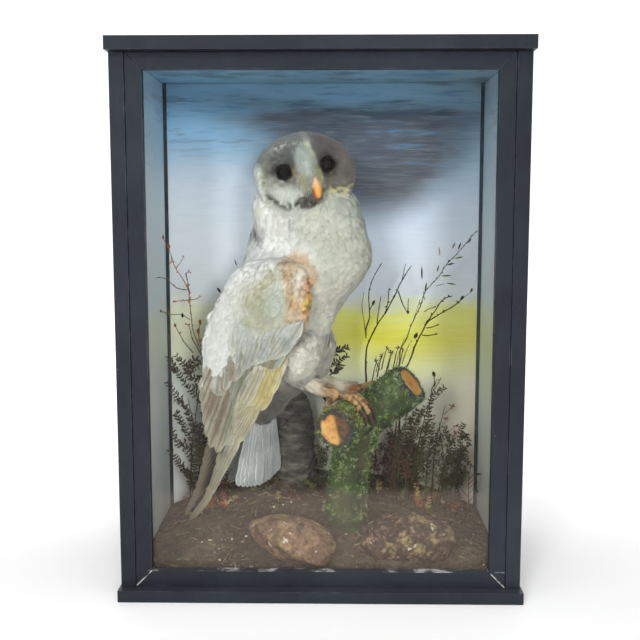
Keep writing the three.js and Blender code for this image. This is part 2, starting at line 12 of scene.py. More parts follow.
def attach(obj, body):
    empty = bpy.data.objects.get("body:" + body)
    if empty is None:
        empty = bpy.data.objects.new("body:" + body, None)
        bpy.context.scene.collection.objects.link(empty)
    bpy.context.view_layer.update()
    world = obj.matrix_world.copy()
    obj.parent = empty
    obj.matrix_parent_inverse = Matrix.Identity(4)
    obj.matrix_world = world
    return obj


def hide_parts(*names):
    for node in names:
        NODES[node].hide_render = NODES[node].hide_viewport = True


T0 = time.time()
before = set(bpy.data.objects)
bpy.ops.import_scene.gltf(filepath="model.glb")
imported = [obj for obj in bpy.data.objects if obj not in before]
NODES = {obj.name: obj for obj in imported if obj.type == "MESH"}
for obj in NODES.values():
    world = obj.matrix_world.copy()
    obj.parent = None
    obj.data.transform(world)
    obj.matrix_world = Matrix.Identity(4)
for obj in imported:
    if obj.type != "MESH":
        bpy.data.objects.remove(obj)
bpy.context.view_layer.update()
SCENE = bpy.context.scene
MM = 0.001

# the case's main planes, as in the CAD
CASE_W, CASE_H, CASE_D = 360, 495, 233
FRONT = -CASE_D / 2 + 10.5
BACK = CASE_D / 2 - 7
IN_X = CASE_W / 2 - 8
CEIL = CASE_H - 11.5
PANE = FRONT + 1.5 + 7.5 + 0.4


# ------------------------------------------------------------------ numbers
def smooth(a, b, x):
    t = np.clip((np.asarray(x, float) - a) / (b - a), 0, 1)
    return t * t * (3 - 2 * t)


def bump(d, w):
    return np.exp(-np.square(np.asarray(d, float)) / (w * w))


def lerp(a, b, t):
    return a + (b - a) * t


def vec(*v):
    return np.array(v, float)


def unit(v):
    v = np.asarray(v, float)
    return v / np.maximum(np.linalg.norm(v, axis=-1, keepdims=True), 1e-12)


def table(rows):
    """Smooth values between the rows of a table whose first column rises."""
    rows = np.array(rows, float)
    x = rows[:, 0]
    slope = np.gradient(rows[:, 1:], x, axis=0)
    h = np.diff(x)
    slope[1:-1] = (rows[2:, 1:] - rows[:-2, 1:]) / (x[2:] - x[:-2])[:, None]
    slope[0] = (rows[1, 1:] - rows[0, 1:]) / h[0]
    slope[-1] = (rows[-1, 1:] - rows[-2, 1:]) / h[-1]

    def at(t):
        t = np.atleast_1d(np.asarray(t, float))
        i = np.clip(np.searchsorted(x, t, "right") - 1, 0, len(x) - 2)
        u = np.clip((t - x[i]) / h[i], 0, 1)[:, None]
        H = h[i][:, None]
        y0, y1, m0, m1 = rows[i, 1:], rows[i + 1, 1:], slope[i], slope[i + 1]
        return (
            (2 * u**3 - 3 * u**2 + 1) * y0 + (u**3 - 2 * u**2 + u) * H * m0
            + (-2 * u**3 + 3 * u**2) * y1 + (u**3 - u**2) * H * m1
        )

    return at


def _hash(i, j, k, seed):
    h = (i * 73856093) ^ (j * 19349663) ^ (k * 83492791) ^ (seed * 2654435761)
    h &= 0xFFFFFFFF
    h = ((h >> 16) ^ h) * 0x45D9F3B & 0xFFFFFFFF
    h = ((h >> 16) ^ h) * 0x45D9F3B & 0xFFFFFFFF
    h = (h >> 16) ^ h
    return (h & 0xFFFFFF) / float(0xFFFFFF) * 2 - 1


def vnoise(P, seed=0):
    """Smooth noise from -1 to 1 with features about 1 unit across."""
    P = np.asarray(P, float)
    I = np.floor(P).astype(np.int64)
    f = P - I
    u = f * f * (3 - 2 * f)
    out = 0
    for dx in (0, 1):
        for dy in (0, 1):
            for dz in (0, 1):
                w = (
                    (u[..., 0] if dx else 1 - u[..., 0])
                    * (u[..., 1] if dy else 1 - u[..., 1])
                    * (u[..., 2] if dz else 1 - u[..., 2])
                )
                out = out + w * _hash(I[..., 0] + dx, I[..., 1] + dy, I[..., 2] + dz, seed)
    return out


def fbm(P, seed=0, octaves=4):
    P = np.asarray(P, float)
    total, amp, norm = 0, 1.0, 0
    for o in range(octaves):
        total = total + amp * vnoise(P * 2**o, seed + 17 * o)
        norm += amp
        amp *= 0.5
    return total / norm


# ------------------------------------------------------------------ meshes
def mesh_object(name, V, faces, material, smooth_shade=True, uv=None, uv_name="OFBake", colors=None, attrs=None, scale=MM):
    """faces: one array or a list of arrays of triangles or quads. uv: per vertex. colors: dict of per-vertex RGB."""
    if not isinstance(faces, (list, tuple)):
        faces = [faces]
    faces = [np.asarray(f, np.int32) for f in faces if len(f)]
    V = np.asarray(V, np.float32) * scale
    loops = np.concatenate([f.ravel() for f in faces])
    sizes = np.concatenate([np.full(len(f), f.shape[1], np.int32) for f in faces])
    starts = np.concatenate([[0], np.cumsum(sizes)[:-1]]).astype(np.int32)
    me = bpy.data.meshes.new(name)
    me.vertices.add(len(V))
    me.vertices.foreach_set("co", V.ravel())
    me.loops.add(len(loops))
    me.loops.foreach_set("vertex_index", loops)
    me.polygons.add(len(sizes))
    me.polygons.foreach_set("loop_start", starts)
    me.polygons.foreach_set("loop_total", sizes)
    me.polygons.foreach_set("use_smooth", np.full(len(sizes), smooth_shade))
    if uv is not None:
        layer = me.uv_layers.new(name=uv_name)
        uv = np.asarray(uv, np.float32)
        layer.data.foreach_set("uv", (uv if len(uv) == len(loops) else uv[loops]).ravel())
    for key, c in (colors or {}).items():
        c = np.asarray(c, np.float32)
        a = me.attributes.new(key, "FLOAT_COLOR", "POINT")
        a.data.foreach_set("color", np.concatenate([c, np.ones((len(c), 1), np.float32)], 1).ravel())
    for key, c in (attrs or {}).items():
        a = me.attributes.new(key, "FLOAT", "POINT")
        a.data.foreach_set("value", np.asarray(c, np.float32))
    me.update()
    me.validate()
    ob = bpy.data.objects.new(name, me)
    SCENE.collection.objects.link(ob)
    if material is not None:
        me.materials.append(material)
    return ob


def piece(ob, slot=None, *nodes):
    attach(ob, "root")
    if nodes:
        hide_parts(*nodes)
    return ob


def grid_faces(rows, cols, closed=False):
    r = np.arange(rows - 1)[:, None]
    c = np.arange(cols if closed else cols - 1)[None, :]
    c1 = (c + 1) % cols
    return np.stack([r * cols + c, r * cols + c1, (r + 1) * cols + c1, (r + 1) * cols + c], -1).reshape(-1, 4)


def ball_mesh(fn, around=64, along=48):
    """A closed ball of latitude and longitude; fn takes unit points (n, 3) with the pole along their second axis."""
    th = np.linspace(0, math.pi, along + 1)
    ph = np.arange(around) / around * 2 * math.pi
    T, P = np.meshgrid(th, ph, indexing="ij")
    U = np.stack([np.sin(T) * np.cos(P), -np.cos(T), np.sin(T) * np.sin(P)], -1).reshape(-1, 3)
    V = fn(U)
    return V, grid_faces(along + 1, around, True)[:, ::-1]


def node_mesh(name):
    me = NODES[name].data
    co = np.zeros(len(me.vertices) * 3, np.float32)
    me.vertices.foreach_get("co", co)
    me.calc_loop_triangles()
    t = np.zeros(len(me.loop_triangles) * 3, np.int32)
    me.loop_triangles.foreach_get("vertices", t)
    return co.reshape(-1, 3).astype(float) * 1000, t.reshape(-1, 3)


def read_mesh(me):
    co = np.zeros(len(me.vertices) * 3, np.float32)
    me.vertices.foreach_get("co", co)
    me.calc_loop_triangles()
    t = np.zeros(len(me.loop_triangles) * 3, np.int32)
    me.loop_triangles.foreach_get("vertices", t)
    return co.reshape(-1, 3).astype(float), t.reshape(-1, 3)


def union(parts, voxel, iterations=4):
    """Overlapping closed shells as one evenly meshed surface, in mm."""
    V, F, n = [], [], 0
    for v, f in parts:
        f = np.asarray(f)
        if f.shape[1] == 4:
            f = np.concatenate([f[:, [0, 1, 2]], f[:, [0, 2, 3]]])
        V.append(v)
        F.append(f + n)
        n += len(v)
    ob = mesh_object("union_tmp", np.concatenate(V), np.concatenate(F), None, scale=1.0)
    m = ob.modifiers.new("r", "REMESH")
    m.mode = "VOXEL"
    m.voxel_size = voxel
    m.adaptivity = 0
    ev = ob.evaluated_get(bpy.context.evaluated_depsgraph_get())
    me = bpy.data.meshes.new_from_object(ev)
    v, f = read_mesh(me)
    quads = np.zeros(len(me.loops), np.int32)
    me.loops.foreach_get("vertex_index", quads)
    quads = quads.reshape(-1, 4) if len(quads) == 4 * len(me.polygons) else f
    bpy.data.objects.remove(ob)
    bpy.data.meshes.remove(me)
    return relax(v, quads, iterations), quads


def edges_of(F):
    k = F.shape[1]
    e = np.concatenate([F[:, [i, (i + 1) % k]] for i in range(k)])
    return np.unique(np.sort(e, 1), axis=0)


def relax(V, F, iterations, amount=0.5, mask=None):
    e = edges_of(F)
    n = len(V)
    deg = np.bincount(e.ravel(), minlength=n)[:, None]
    V = V.copy()
    for _ in range(iterations):
        s = np.stack(
            [np.bincount(e[:, 0], V[e[:, 1], k], n) + np.bincount(e[:, 1], V[e[:, 0], k], n) for k in range(3)], -1
        )
        step = amount * (s / np.maximum(deg, 1) - V)
        V += step if mask is None else step * mask[:, None]
    return V


def normals_of(V, F):
    a, b, c = V[F[:, 0]], V[F[:, 1]], V[F[:, 2]]
    fn = np.cross(b - a, c - a)
    if F.shape[1] == 4:
        fn = fn + np.cross(c - a, V[F[:, 3]] - a)
    n = len(V)
    out = np.zeros((n, 3))
    for i in range(F.shape[1]):
        for k in range(3):
            out[:, k] += np.bincount(F[:, i], fn[:, k], n)
    return unit(out)


class Surface:
    """Nearest points, normals and random samples on a mesh."""

    def __init__(self, V, F):
        self.V = V
        self.T = F if F.shape[1] == 3 else np.concatenate([F[:, [0, 1, 2]], F[:, [0, 2, 3]]])
        self.N = normals_of(V, self.T)
        self.tree = BVHTree.FromPolygons([tuple(v) for v in V], [tuple(t) for t in self.T.tolist()])

    def sample(self, rng, count, weight=None):
        a, b, c = (self.V[self.T[:, i]] for i in range(3))
        area = np.linalg.norm(np.cross(b - a, c - a), axis=1) / 2
        if weight is not None:
            area = area * weight((a + b + c) / 3)
        t = rng.choice(len(self.T), count, p=area / area.sum())
        r1, r2 = np.sqrt(rng.random(count)), rng.random(count)
        w = np.stack([1 - r1, r1 * (1 - r2), r1 * r2], -1)
        P = sum(w[:, i, None] * self.V[self.T[t, i]] for i in range(3))
        Nn = unit(sum(w[:, i, None] * self.N[self.T[t, i]] for i in range(3)))
        return P, Nn

    def distance(self, P):
        return np.array([self.tree.find_nearest(Vector(p))[3] for p in P])

    def nearest(self, P):
        Q = np.empty_like(P)
        Nn = np.empty_like(P)
        for i, p in enumerate(P):
            co, no, index, _ = self.tree.find_nearest(Vector(p))
            Q[i] = co
            Nn[i] = self.N[self.T[index]].mean(0)
        return Q, unit(Nn)


def spread(P, spacing, order=None):
    """Indices of a subset no two of which are nearer than the spacing at the first."""
    cell = float(np.max(spacing))
    keys = np.floor(P / cell).astype(int)
    table_, keep = {}, []
    for i in range(len(P)) if order is None else order:
        k = tuple(keys[i])
        s2 = spacing[i] ** 2
        ok = True
        for dx in (-1, 0, 1):
            for dy in (-1, 0, 1):
                for dz in (-1, 0, 1):
                    for j in table_.get((k[0] + dx, k[1] + dy, k[2] + dz), ()):
                        d = P[i] - P[j]
                        if d[0] * d[0] + d[1] * d[1] + d[2] * d[2] < s2:
                            ok = False
                            break
                    if not ok:
                        break
                if not ok:
                    break
            if not ok:
                break
        if ok:
            table_.setdefault(k, []).append(i)
            keep.append(i)
    return np.array(keep, int)


def tube(points, radii, sides=6, cap=True):
    """A round tapering tube along points, as (V, F) with triangle and quad faces as quads."""
    P = np.asarray(points, float)
    r = np.broadcast_to(np.asarray(radii, float), (len(P),))
    t = unit(np.gradient(P, axis=0))
    ref = vec(0, 0, 1) if abs(t[:, 2]).max() < 0.93 else vec(0.3, 1, 0.1)
    e1 = unit(np.cross(t, ref))
    e2 = np.cross(t, e1)
    a = np.arange(sides) / sides * 2 * math.pi
    V = P[:, None] + r[:, None, None] * (np.cos(a)[None, :, None] * e1[:, None] + np.sin(a)[None, :, None] * e2[:, None])
    V = V.reshape(-1, 3)
    F = grid_faces(len(P), sides, True)
    if cap:
        n = len(V)
        V = np.concatenate([V, P[:1] - t[:1] * r[0] * 0.3, P[-1:] + t[-1:] * r[-1] * 0.6])
        ring = np.arange(sides)
        nxt = (ring + 1) % sides
        last = (len(P) - 1) * sides
        F = np.concatenate([F, np.stack([ring, nxt * 0 + n, nxt * 0 + n, nxt], -1)[:, [0, 1, 1, 3]],
                            np.stack([last + ring, last + nxt, nxt * 0 + n + 1, nxt * 0 + n + 1], -1)])
    return V, F


def clean_faces(F):
    """Splits quads with a doubled corner into triangles, and keeps the rest as quads."""
    dup = (F[:, 0] == F[:, 1]) | (F[:, 1] == F[:, 2]) | (F[:, 2] == F[:, 3]) | (F[:, 3] == F[:, 0])
    quads, bad = F[~dup], F[dup]
    tris = []
    for f in bad:
        u = []
        for i in f:
            if i not in u:
                u.append(i)
        if len(u) == 3:
            tris.append(u)
    return [quads, np.array(tris, np.int32).reshape(-1, 3)]


class Heap:
    """Collects many small meshes for one joined piece."""

    def __init__(self):
        self.V, self.F, self.C, self.n = [], [], [], 0

    def add(self, V, F, color=None):
        self.V.append(V)
        self.F.append(np.asarray(F) + self.n)
        self.n += len(V)
        if color is not None:
            self.C.append(np.broadcast_to(np.asarray(color, float), (len(V), 3)))

    def build(self, name, material, **kw):
        quads = [f for f in self.F if f.shape[1] == 4]
        tris = [f for f in self.F if f.shape[1] == 3]
        faces = []
        if quads:
            faces += clean_faces(np.concatenate(quads))
        if tris:
            faces.append(np.concatenate(tris))
        colors = {"tint": np.concatenate(self.C)} if self.C else None
        return mesh_object(name, np.concatenate(self.V), faces, material, colors=colors, **kw)


# ------------------------------------------------------------------ camera
F_PX = 956.2
yaw, pitch = -0.0162, 0.1198
cam_at = vec(13.4, -829.03 + FRONT, 354.13)
fwd = vec(math.sin(yaw) * math.cos(pitch), math.cos(yaw) * math.cos(pitch), -math.sin(pitch))
right = vec(math.cos(yaw), -math.sin(yaw), 0)
up = np.cross(right, fwd)
cam = bpy.data.objects.new("camera", bpy.data.cameras.new("camera"))
SCENE.collection.objects.link(cam)
cam.data.sensor_width = 36
cam.data.lens = F_PX * 36 / 640
cam.matrix_world = Matrix(
    [[right[0], up[0], -fwd[0], cam_at[0] * MM], [right[1], up[1], -fwd[1], cam_at[1] * MM],
     [right[2], up[2], -fwd[2], cam_at[2] * MM], [0, 0, 0, 1]]
)
cam.data.clip_start, cam.data.clip_end = 0.05, 20
SCENE.camera = cam


# ------------------------------------------------------------------ material kit
class Mat:
    """A short way to write node trees."""

    def __init__(self, name):
        self.m = bpy.data.materials.new(name)
        self.m.use_nodes = True
        self.t = self.m.node_tree
        self.t.nodes.clear()
        self.out = self.t.nodes.new("ShaderNodeOutputMaterial")

    def node(self, kind, inputs=None, **props):
        n = self.t.nodes.new("ShaderNode" + kind)
        for k, v in props.items():
            setattr(n, k, v)
        for k, v in (inputs or {}).items():
            self.put(n.inputs[k], v)
        return n

    def put(self, socket, v):
        if isinstance(v, bpy.types.NodeSocket):
            self.t.links.new(v, socket)
        elif isinstance(v, bpy.types.Node):
            self.t.links.new(v.outputs[0], socket)
        elif v is not None:
            if hasattr(socket.default_value, "__len__") and not hasattr(v, "__len__"):
                v = (v, v, v, 1)[: len(socket.default_value)]
            if hasattr(v, "__len__") and len(socket.default_value) == 4 and len(v) == 3:
                v = (*v, 1)
            socket.default_value = v

    def math(self, op, a, b=None, c=None, clamp=False):
        n = self.node("Math", operation=op, use_clamp=clamp)
        for s, v in zip(n.inputs, (a, b, c)):
            if v is not None:
                self.put(s, v)
        return n.outputs[0]

    def mix(self, fac, a, b, mode="MIX"):
        n = self.node("Mix", data_type="RGBA", blend_type=mode, clamp_factor=True)
        self.put(n.inputs[0], fac)
        self.put(n.inputs[6], a)
        self.put(n.inputs[7], b)
        return n.outputs[2]

    def ramp(self, fac, stops, interp="LINEAR"):
        n = self.node("ValToRGB")
        n.color_ramp.interpolation = interp
        el = n.color_ramp.elements
        while len(el) < len(stops):
            el.new(0.5)
        for e, (p, c) in zip(el, stops):
            e.position = p
            e.color = (c, c, c, 1) if not hasattr(c, "__len__") else (*c, 1)
        self.put(n.inputs[0], fac)
        return n.outputs[0]

    def range(self, v, a, b, c=0.0, d=1.0, kind="SMOOTHSTEP"):
        n = self.node("MapRange", interpolation_type=kind, clamp=True) if kind == "LINEAR" else self.node("MapRange", interpolation_type=kind)
        for k, x in zip(("Value", "From Min", "From Max", "To Min", "To Max"), (v, a, b, c, d)):
            self.put(n.inputs[k], x)
        return n.outputs[0]

    def coords(self, scale=(1, 1, 1), rot=(0, 0, 0), kind="Object"):
        tc = self.node("TexCoord")
        mp = self.node("Mapping", {"Scale": scale, "Rotation": rot})
        self.t.links.new(tc.outputs[kind], mp.inputs["Vector"])
        return mp.outputs[0]

    def xyz(self):
        tc = self.node("TexCoord")
        s = self.node("SeparateXYZ", {"Vector": tc.outputs["Object"]})
        return s.outputs

    def noise(self, scale, detail=4, rough=0.55, vector=None, distortion=0.0):
        n = self.node("TexNoise", {"Scale": scale, "Detail": detail, "Roughness": rough, "Distortion": distortion})
        if vector is not None:
            self.put(n.inputs["Vector"], vector)
        else:
            self.put(n.inputs["Vector"], self.coords())
        return n.outputs[0]

    def voronoi(self, scale, vector=None, feature="F1", rand=1.0):
        n = self.node("TexVoronoi", {"Scale": scale, "Randomness": rand}, feature=feature)
        self.put(n.inputs["Vector"], vector if vector is not None else self.coords())
        return n

    def bump(self, height, strength=0.3, distance=0.001, normal=None):
        n = self.node("Bump", {"Strength": strength, "Distance": distance, "Height": height})
        if normal is not None:
            self.put(n.inputs["Normal"], normal)
        return n.outputs[0]

    def attr(self, name):
        return self.node("Attribute", attribute_name=name).outputs["Color"]

    def value(self, name):
        return self.node("Attribute", attribute_name=name).outputs["Fac"]

    def surface(self, **inputs):
        b = self.node("BsdfPrincipled")
        for k, v in inputs.items():
            self.put(b.inputs[k.replace("_", " ")], v)
        self.t.links.new(b.outputs[0], self.out.inputs[0])
        self.b = b
        return self.m


def srgb(r, g, b):
    """0-255 display values as linear."""
    c = np.array([r, g, b]) / 255
    return tuple(float(x) for x in np.where(c <= 0.04045, c / 12.92, ((c + 0.055) / 1.055) ** 2.4))

# ------------------------------------------------------------------ case
def sky_color(m, side=False):
    """A loose painted sky: blue above, a soft dark cloud, pale lilac, a lime horizon, cream below."""
    s = m.xyz()
    z = m.math("MULTIPLY", s[2], 1000)
    x = m.math("MULTIPLY", s[0], 1000)
    streak = m.noise(1.0, 5, 0.6, m.coords((14, 14, 130)))
    wide = m.noise(1.0, 3, 0.5, m.coords((7, 7, 16)))
    fine = m.noise(1.0, 4, 0.7, m.coords((40, 40, 900)))
    zz = m.math("ADD", z, m.math("MULTIPLY", m.math("SUBTRACT", wide, 0.5), 46))
    zz = m.math("ADD", zz, m.math("MULTIPLY", m.math("SUBTRACT", streak, 0.5), 26))
    t = m.math("DIVIDE", zz, 495)
    base = m.ramp(t, [
        (0.00, srgb(214, 206, 190)), (0.17, srgb(224, 220, 204)), (0.30, srgb(228, 228, 206)),
        (0.36, srgb(222, 226, 158)), (0.425, srgb(216, 210, 48)), (0.475, srgb(222, 220, 104)),
        (0.52, srgb(208, 214, 222)), (0.64, srgb(208, 216, 230)), (0.745, srgb(188, 206, 228)),
        (0.83, srgb(152, 192, 222)), (0.92, srgb(154, 204, 236)), (1.0, srgb(150, 192, 218)),
    ])
    # the left of the board is painted paler and the right duller: painted light on the left, painted shade on the right
    painted_light_left = m.math("MULTIPLY", m.range(x, 60, -170), m.math("SUBTRACT", 1, m.range(z, 360, 440)))
    base = m.mix(m.math("MULTIPLY", painted_light_left, 0.62), base, srgb(246, 248, 248))
    painted_shade_right = m.math("MULTIPLY", m.range(x, 40, 175), 0.32)
    base = m.mix(painted_shade_right, base, srgb(150, 150, 138))
    # a broad grey cloud hanging from the top, right of the middle
    if not side:
        cx = m.math("SUBTRACT", x, 40)
        spread = m.math("ADD", m.math("MULTIPLY", m.math("SUBTRACT", z, 300), 0.95), 22)
        edge = m.math("DIVIDE", m.math("ABSOLUTE", cx), m.math("MAXIMUM", spread, 12))
        edge = m.math("ADD", edge, m.math("MULTIPLY", m.math("SUBTRACT", wide, 0.5), 0.9))
        cloud = m.math("SUBTRACT", 1, m.range(edge, 0.5, 1.25))
        band = m.math("MULTIPLY", m.range(z, 318, 372), m.math("SUBTRACT", 1, m.range(zz, 442, 474)))
        cloud = m.math("MULTIPLY", cloud, band)
        base = m.mix(m.math("MULTIPLY", cloud, 0.92), base, m.mix(m.range(streak, 0.35, 0.65), srgb(66, 64, 70), srgb(84, 84, 90)))
    blue = m.math("MULTIPLY", m.range(streak, 0.56, 0.7), m.range(z, 365, 425))
    base = m.mix(m.math("MULTIPLY", blue, 0.6), base, srgb(84, 140, 186))
    deep = m.math("MULTIPLY", m.range(streak, 0.46, 0.34), m.range(z, 385, 440))
    base = m.mix(m.math("MULTIPLY", deep, 0.5), base, srgb(66, 84, 100))
    dark = m.math("MULTIPLY", m.range(fine, 0.52, 0.7), 0.1)
    base = m.mix(dark, base, srgb(95, 100, 108))
    pale = m.math("MULTIPLY", m.range(fine, 0.5, 0.32), 0.12)
    base = m.mix(pale, base, srgb(226, 228, 226))
    # pinkish wash low on the right, cold wash low on the left
    if not side:
        low = m.math("MULTIPLY", m.math("SUBTRACT", 1, m.range(z, 90, 230)), m.range(x, 30, 170))
        base = m.mix(m.math("MULTIPLY", low, 0.5), base, srgb(208, 186, 166))
    grime = m.noise(9, 6, 0.65)
    base = m.mix(m.math("MULTIPLY", m.range(grime, 0.5, 0.8), 0.22), base, srgb(120, 118, 108))
    return base, fine, streak


def black_paint(name="ebonised_paint", sky_below=False, wear="rail"):
    m = Mat(name)
    s = m.xyz()
    big = m.noise(7, 5, 0.6)
    fine = m.noise(160, 4, 0.6, m.coords((1, 1, 0.25)))
    speck = m.noise(420, 2, 0.5)
    base = m.ramp(big, [(0.3, srgb(25, 28, 34)), (0.55, srgb(34, 38, 45)), (0.75, srgb(43, 47, 56))])
    base = m.mix(m.math("MULTIPLY", m.range(fine, 0.5, 0.75), 0.3), base, srgb(44, 48, 57))
    # dust on what faces up
    geo = m.node("NewGeometry")
    nz = m.node("SeparateXYZ", {"Vector": geo.outputs["Normal"]}).outputs[2]
    pale_film = m.math("MULTIPLY", m.range(nz, 0.5, 0.95), m.range(big, 0.25, 0.7, 0.08, 0.3))
    base = m.mix(pale_film, base, srgb(88, 90, 98))
    # rubbed edges: lighter grey along every arris, partly edge wear and partly a painted edge highlight
    bev = m.node("Bevel", {"Radius": 0.0016}, samples=4)
    dot = m.node("VectorMath", operation="DOT_PRODUCT")
    m.put(dot.inputs[0], bev.outputs[0])
    m.put(dot.inputs[1], geo.outputs["True Normal"])
    edge = m.math("SUBTRACT", 1, m.range(dot.outputs["Value"], 0.90, 0.995))
    edge = m.math("MULTIPLY", edge, m.range(m.noise(60, 4, 0.7), 0.45, 0.72))
    base = m.mix(m.math("MULTIPLY", edge, 0.75), base, srgb(84, 84, 86))
    # small chips down to the gesso
    chip = m.math("MULTIPLY", m.range(m.noise(75, 3, 0.6), 0.735, 0.75), m.range(speck, 0.4, 0.5))
    base = m.mix(m.math("MULTIPLY", chip, 0.8), base, srgb(186, 182, 174))
    if wear == "mitre":
        ax = m.math("MULTIPLY", m.math("ABSOLUTE", s[0]), 1000)
        z = m.math("MULTIPLY", s[2], 1000)
        # along the two lower mitres
        d = m.math("ABSOLUTE", m.math("SUBTRACT", m.math("SUBTRACT", 167 - 0.4, ax), m.math("SUBTRACT", z, 10.9)))
        near = m.math("SUBTRACT", 1, m.range(d, 0.25, 1.0))
        near = m.math("MULTIPLY", near, m.math("SUBTRACT", 1, m.range(z, 24, 27)))
        near = m.math("MULTIPLY", near, m.range(m.noise(140, 4, 0.6), 0.36, 0.5))
        base = m.mix(near, base, srgb(205, 203, 196))
        # and on the inner arris at the bottom
        zin = m.math("ABSOLUTE", m.math("SUBTRACT", z, 25.3))
        rub = m.math("MULTIPLY", m.math("SUBTRACT", 1, m.range(zin, 0.2, 0.7)), m.range(m.noise(46, 5, 0.65), 0.5, 0.64))
        base = m.mix(m.math("MULTIPLY", rub, 0.7), base, srgb(190, 190, 188))
    rough = m.range(m.noise(26, 5, 0.6), 0.3, 0.7, 0.36, 0.55, "LINEAR")
    bumps = m.bump(m.math("ADD", fine, m.math("MULTIPLY", speck, 0.4)), 0.35, 0.0004)
    if sky_below:
        inside = m.math("MULTIPLY", m.math("LESS_THAN", nz, -0.5), m.math("LESS_THAN", m.math("ABSOLUTE", s[0]), IN_X * MM))
        inside = m.math("MULTIPLY", inside, m.math("GREATER_THAN", s[1], (PANE + 2) * MM))
        sky, f2, st = sky_color(m, True)
        base = m.mix(inside, base, sky)
        rough = m.mix(inside, rough, (0.8, 0.8, 0.8, 1))
    m.surface(Base_Color=base, Roughness=rough, Normal=bumps)
    m.put(m.b.inputs["Specular IOR Level"], 0.22)
    return m.m


def sky_paint(name, side=False):
    """Painted on the inner face; black outside."""
    m = Mat(name)
    base, fine, streak = sky_color(m, side)
    s = m.xyz()
    geo = m.node("NewGeometry")
    n = m.node("SeparateXYZ", {"Vector": geo.outputs["Normal"]}).outputs
    if side:
        # the inner face looks back at the middle
        facing = m.math("MULTIPLY", m.math("SIGN", s[0]), n[0])
        inside = m.math("LESS_THAN", facing, -0.5)
        base = m.mix(0.5, base, srgb(216, 228, 230))
        x_out = srgb(40, 42, 49)
    else:
        inside = m.math("LESS_THAN", n[1], -0.5)
        x_out = srgb(52, 44, 38)
    wood = m.noise(1.0, 6, 0.6, m.coords((60, 60, 5)))
    outer = m.mix(m.range(wood, 0.35, 0.7), x_out, tuple(c * 1.6 for c in x_out))
    base = m.mix(inside, outer, base)
    b = m.bump(m.math("ADD", fine, m.math("MULTIPLY", streak, 0.5)), 0.3, 0.0006)
    m.surface(Base_Color=base, Roughness=m.range(streak, 0.3, 0.7, 0.62, 0.85, "LINEAR"), Normal=b)
    m.put(m.b.inputs["Specular IOR Level"], 0.25)
    return m.m


def dress(name, material, bevel=0.0):
    ob = NODES[name]
    ob.data.materials.clear()
    ob.data.materials.append(material)
    if bevel:
        b = ob.modifiers.new("arris", "BEVEL")
        b.width = bevel * MM
        b.segments = 3
        b.limit_method = "ANGLE"
        b.angle_limit = math.radians(30)
        b.harden_normals = True
    return ob


paint = black_paint()
for n in ("case_base_board", "case_post_left", "case_post_right"):
    dress(n, paint, 1.0)
dress("case_top_board", black_paint("ebonised_top", sky_below=True), 1.0)
sash = black_paint("ebonised_sash", wear="mitre")
for n in ("sash_rail_bottom", "sash_rail_top", "sash_stile_left", "sash_stile_right"):
    dress(n, sash, 0.9)
for n in ("case_side_left", "case_side_right"):
    dress(n, sky_paint("sky_side_" + n[-4:], True), 0.6)
dress("case_back_board", sky_paint("sky_back"))

m = Mat("corner_bead")
g = m.noise(80, 5, 0.6)
m.surface(Base_Color=m.ramp(g, [(0.3, srgb(28, 40, 50)), (0.7, srgb(52, 64, 70))]), Roughness=0.6,
          Normal=m.bump(m.noise(500, 3), 0.3, 0.0004))
for n in ("corner_bead_left", "corner_bead_right"):
    dress(n, m.m)

# old sheet glass: clear, with a faint brownish film towards the bottom
m = Mat("sheet_glass")
s = m.xyz()
clear = m.node("BsdfTransparent", {"Color": (0.985, 0.992, 0.99, 1)})
gloss = m.node("BsdfGlossy", {"Color": (1, 1, 1, 1), "Roughness": 0.03})
fres = m.node("Fresnel", {"IOR": 1.35})
pane = m.node("MixShader", {0: m.math("MULTIPLY", fres, 0.3)})
m.put(pane.inputs[1], clear)
m.put(pane.inputs[2], gloss)
film = m.node("BsdfDiffuse", {"Color": (*srgb(168, 150, 138), 1)})
z = m.math("MULTIPLY", s[2], 1000)
smear = m.noise(1.0, 5, 0.6, m.coords((22, 22, 60)))
low = m.math("SUBTRACT", 1, m.range(m.math("ADD", z, m.math("MULTIPLY", smear, 10)), 96, 108))
pale_film = m.math("ADD", m.math("MULTIPLY", low, 0.06), m.math("MULTIPLY", m.range(m.noise(30, 6, 0.7), 0.55, 0.85), 0.01))
both = m.node("MixShader", {0: pale_film})
m.put(both.inputs[1], pane)
m.put(both.inputs[2], film)
m.t.links.new(both.outputs[0], m.out.inputs[0])
GLASS = m.m
dress("front_glass", GLASS)


# ------------------------------------------------------------------ groundwork, stones, log, stump
rng = np.random.default_rng(7)
G_X = IN_X - 0.6
G_Y0, G_Y1 = PANE + 2 + 1.2, BACK - 0.6


def ground_height(x, y):
    ramp = smooth(-100, 95, y)
    side = 1 - (np.abs(x) / 176) ** 2
    return (
        16.5 + 45 * ramp * side + 2.2 * np.sin(x / 19 + 1.3) * np.cos(y / 23) * side
        + 1.4 * np.sin(x / 8.5 - y / 13) * side + 9 * bump(np.hypot(x - 24, y + 2), 34)
    )


def ground_top(x, y):
    """With its lumps and grit."""
    P = np.stack([x, y, np.zeros_like(x)], -1)
    edge = np.minimum(1, np.minimum(G_X - np.abs(x), np.minimum(y - G_Y0, G_Y1 - y)) / 5)
    rough = 2.3 * fbm(P / 24, 3, 4) + 0.9 * np.abs(fbm(P / 5.5, 5, 3)) + 0.45 * vnoise(P / 1.9, 9)
    return ground_height(x, y) - 0.6 + rough * np.clip(edge, 0.1, 1)


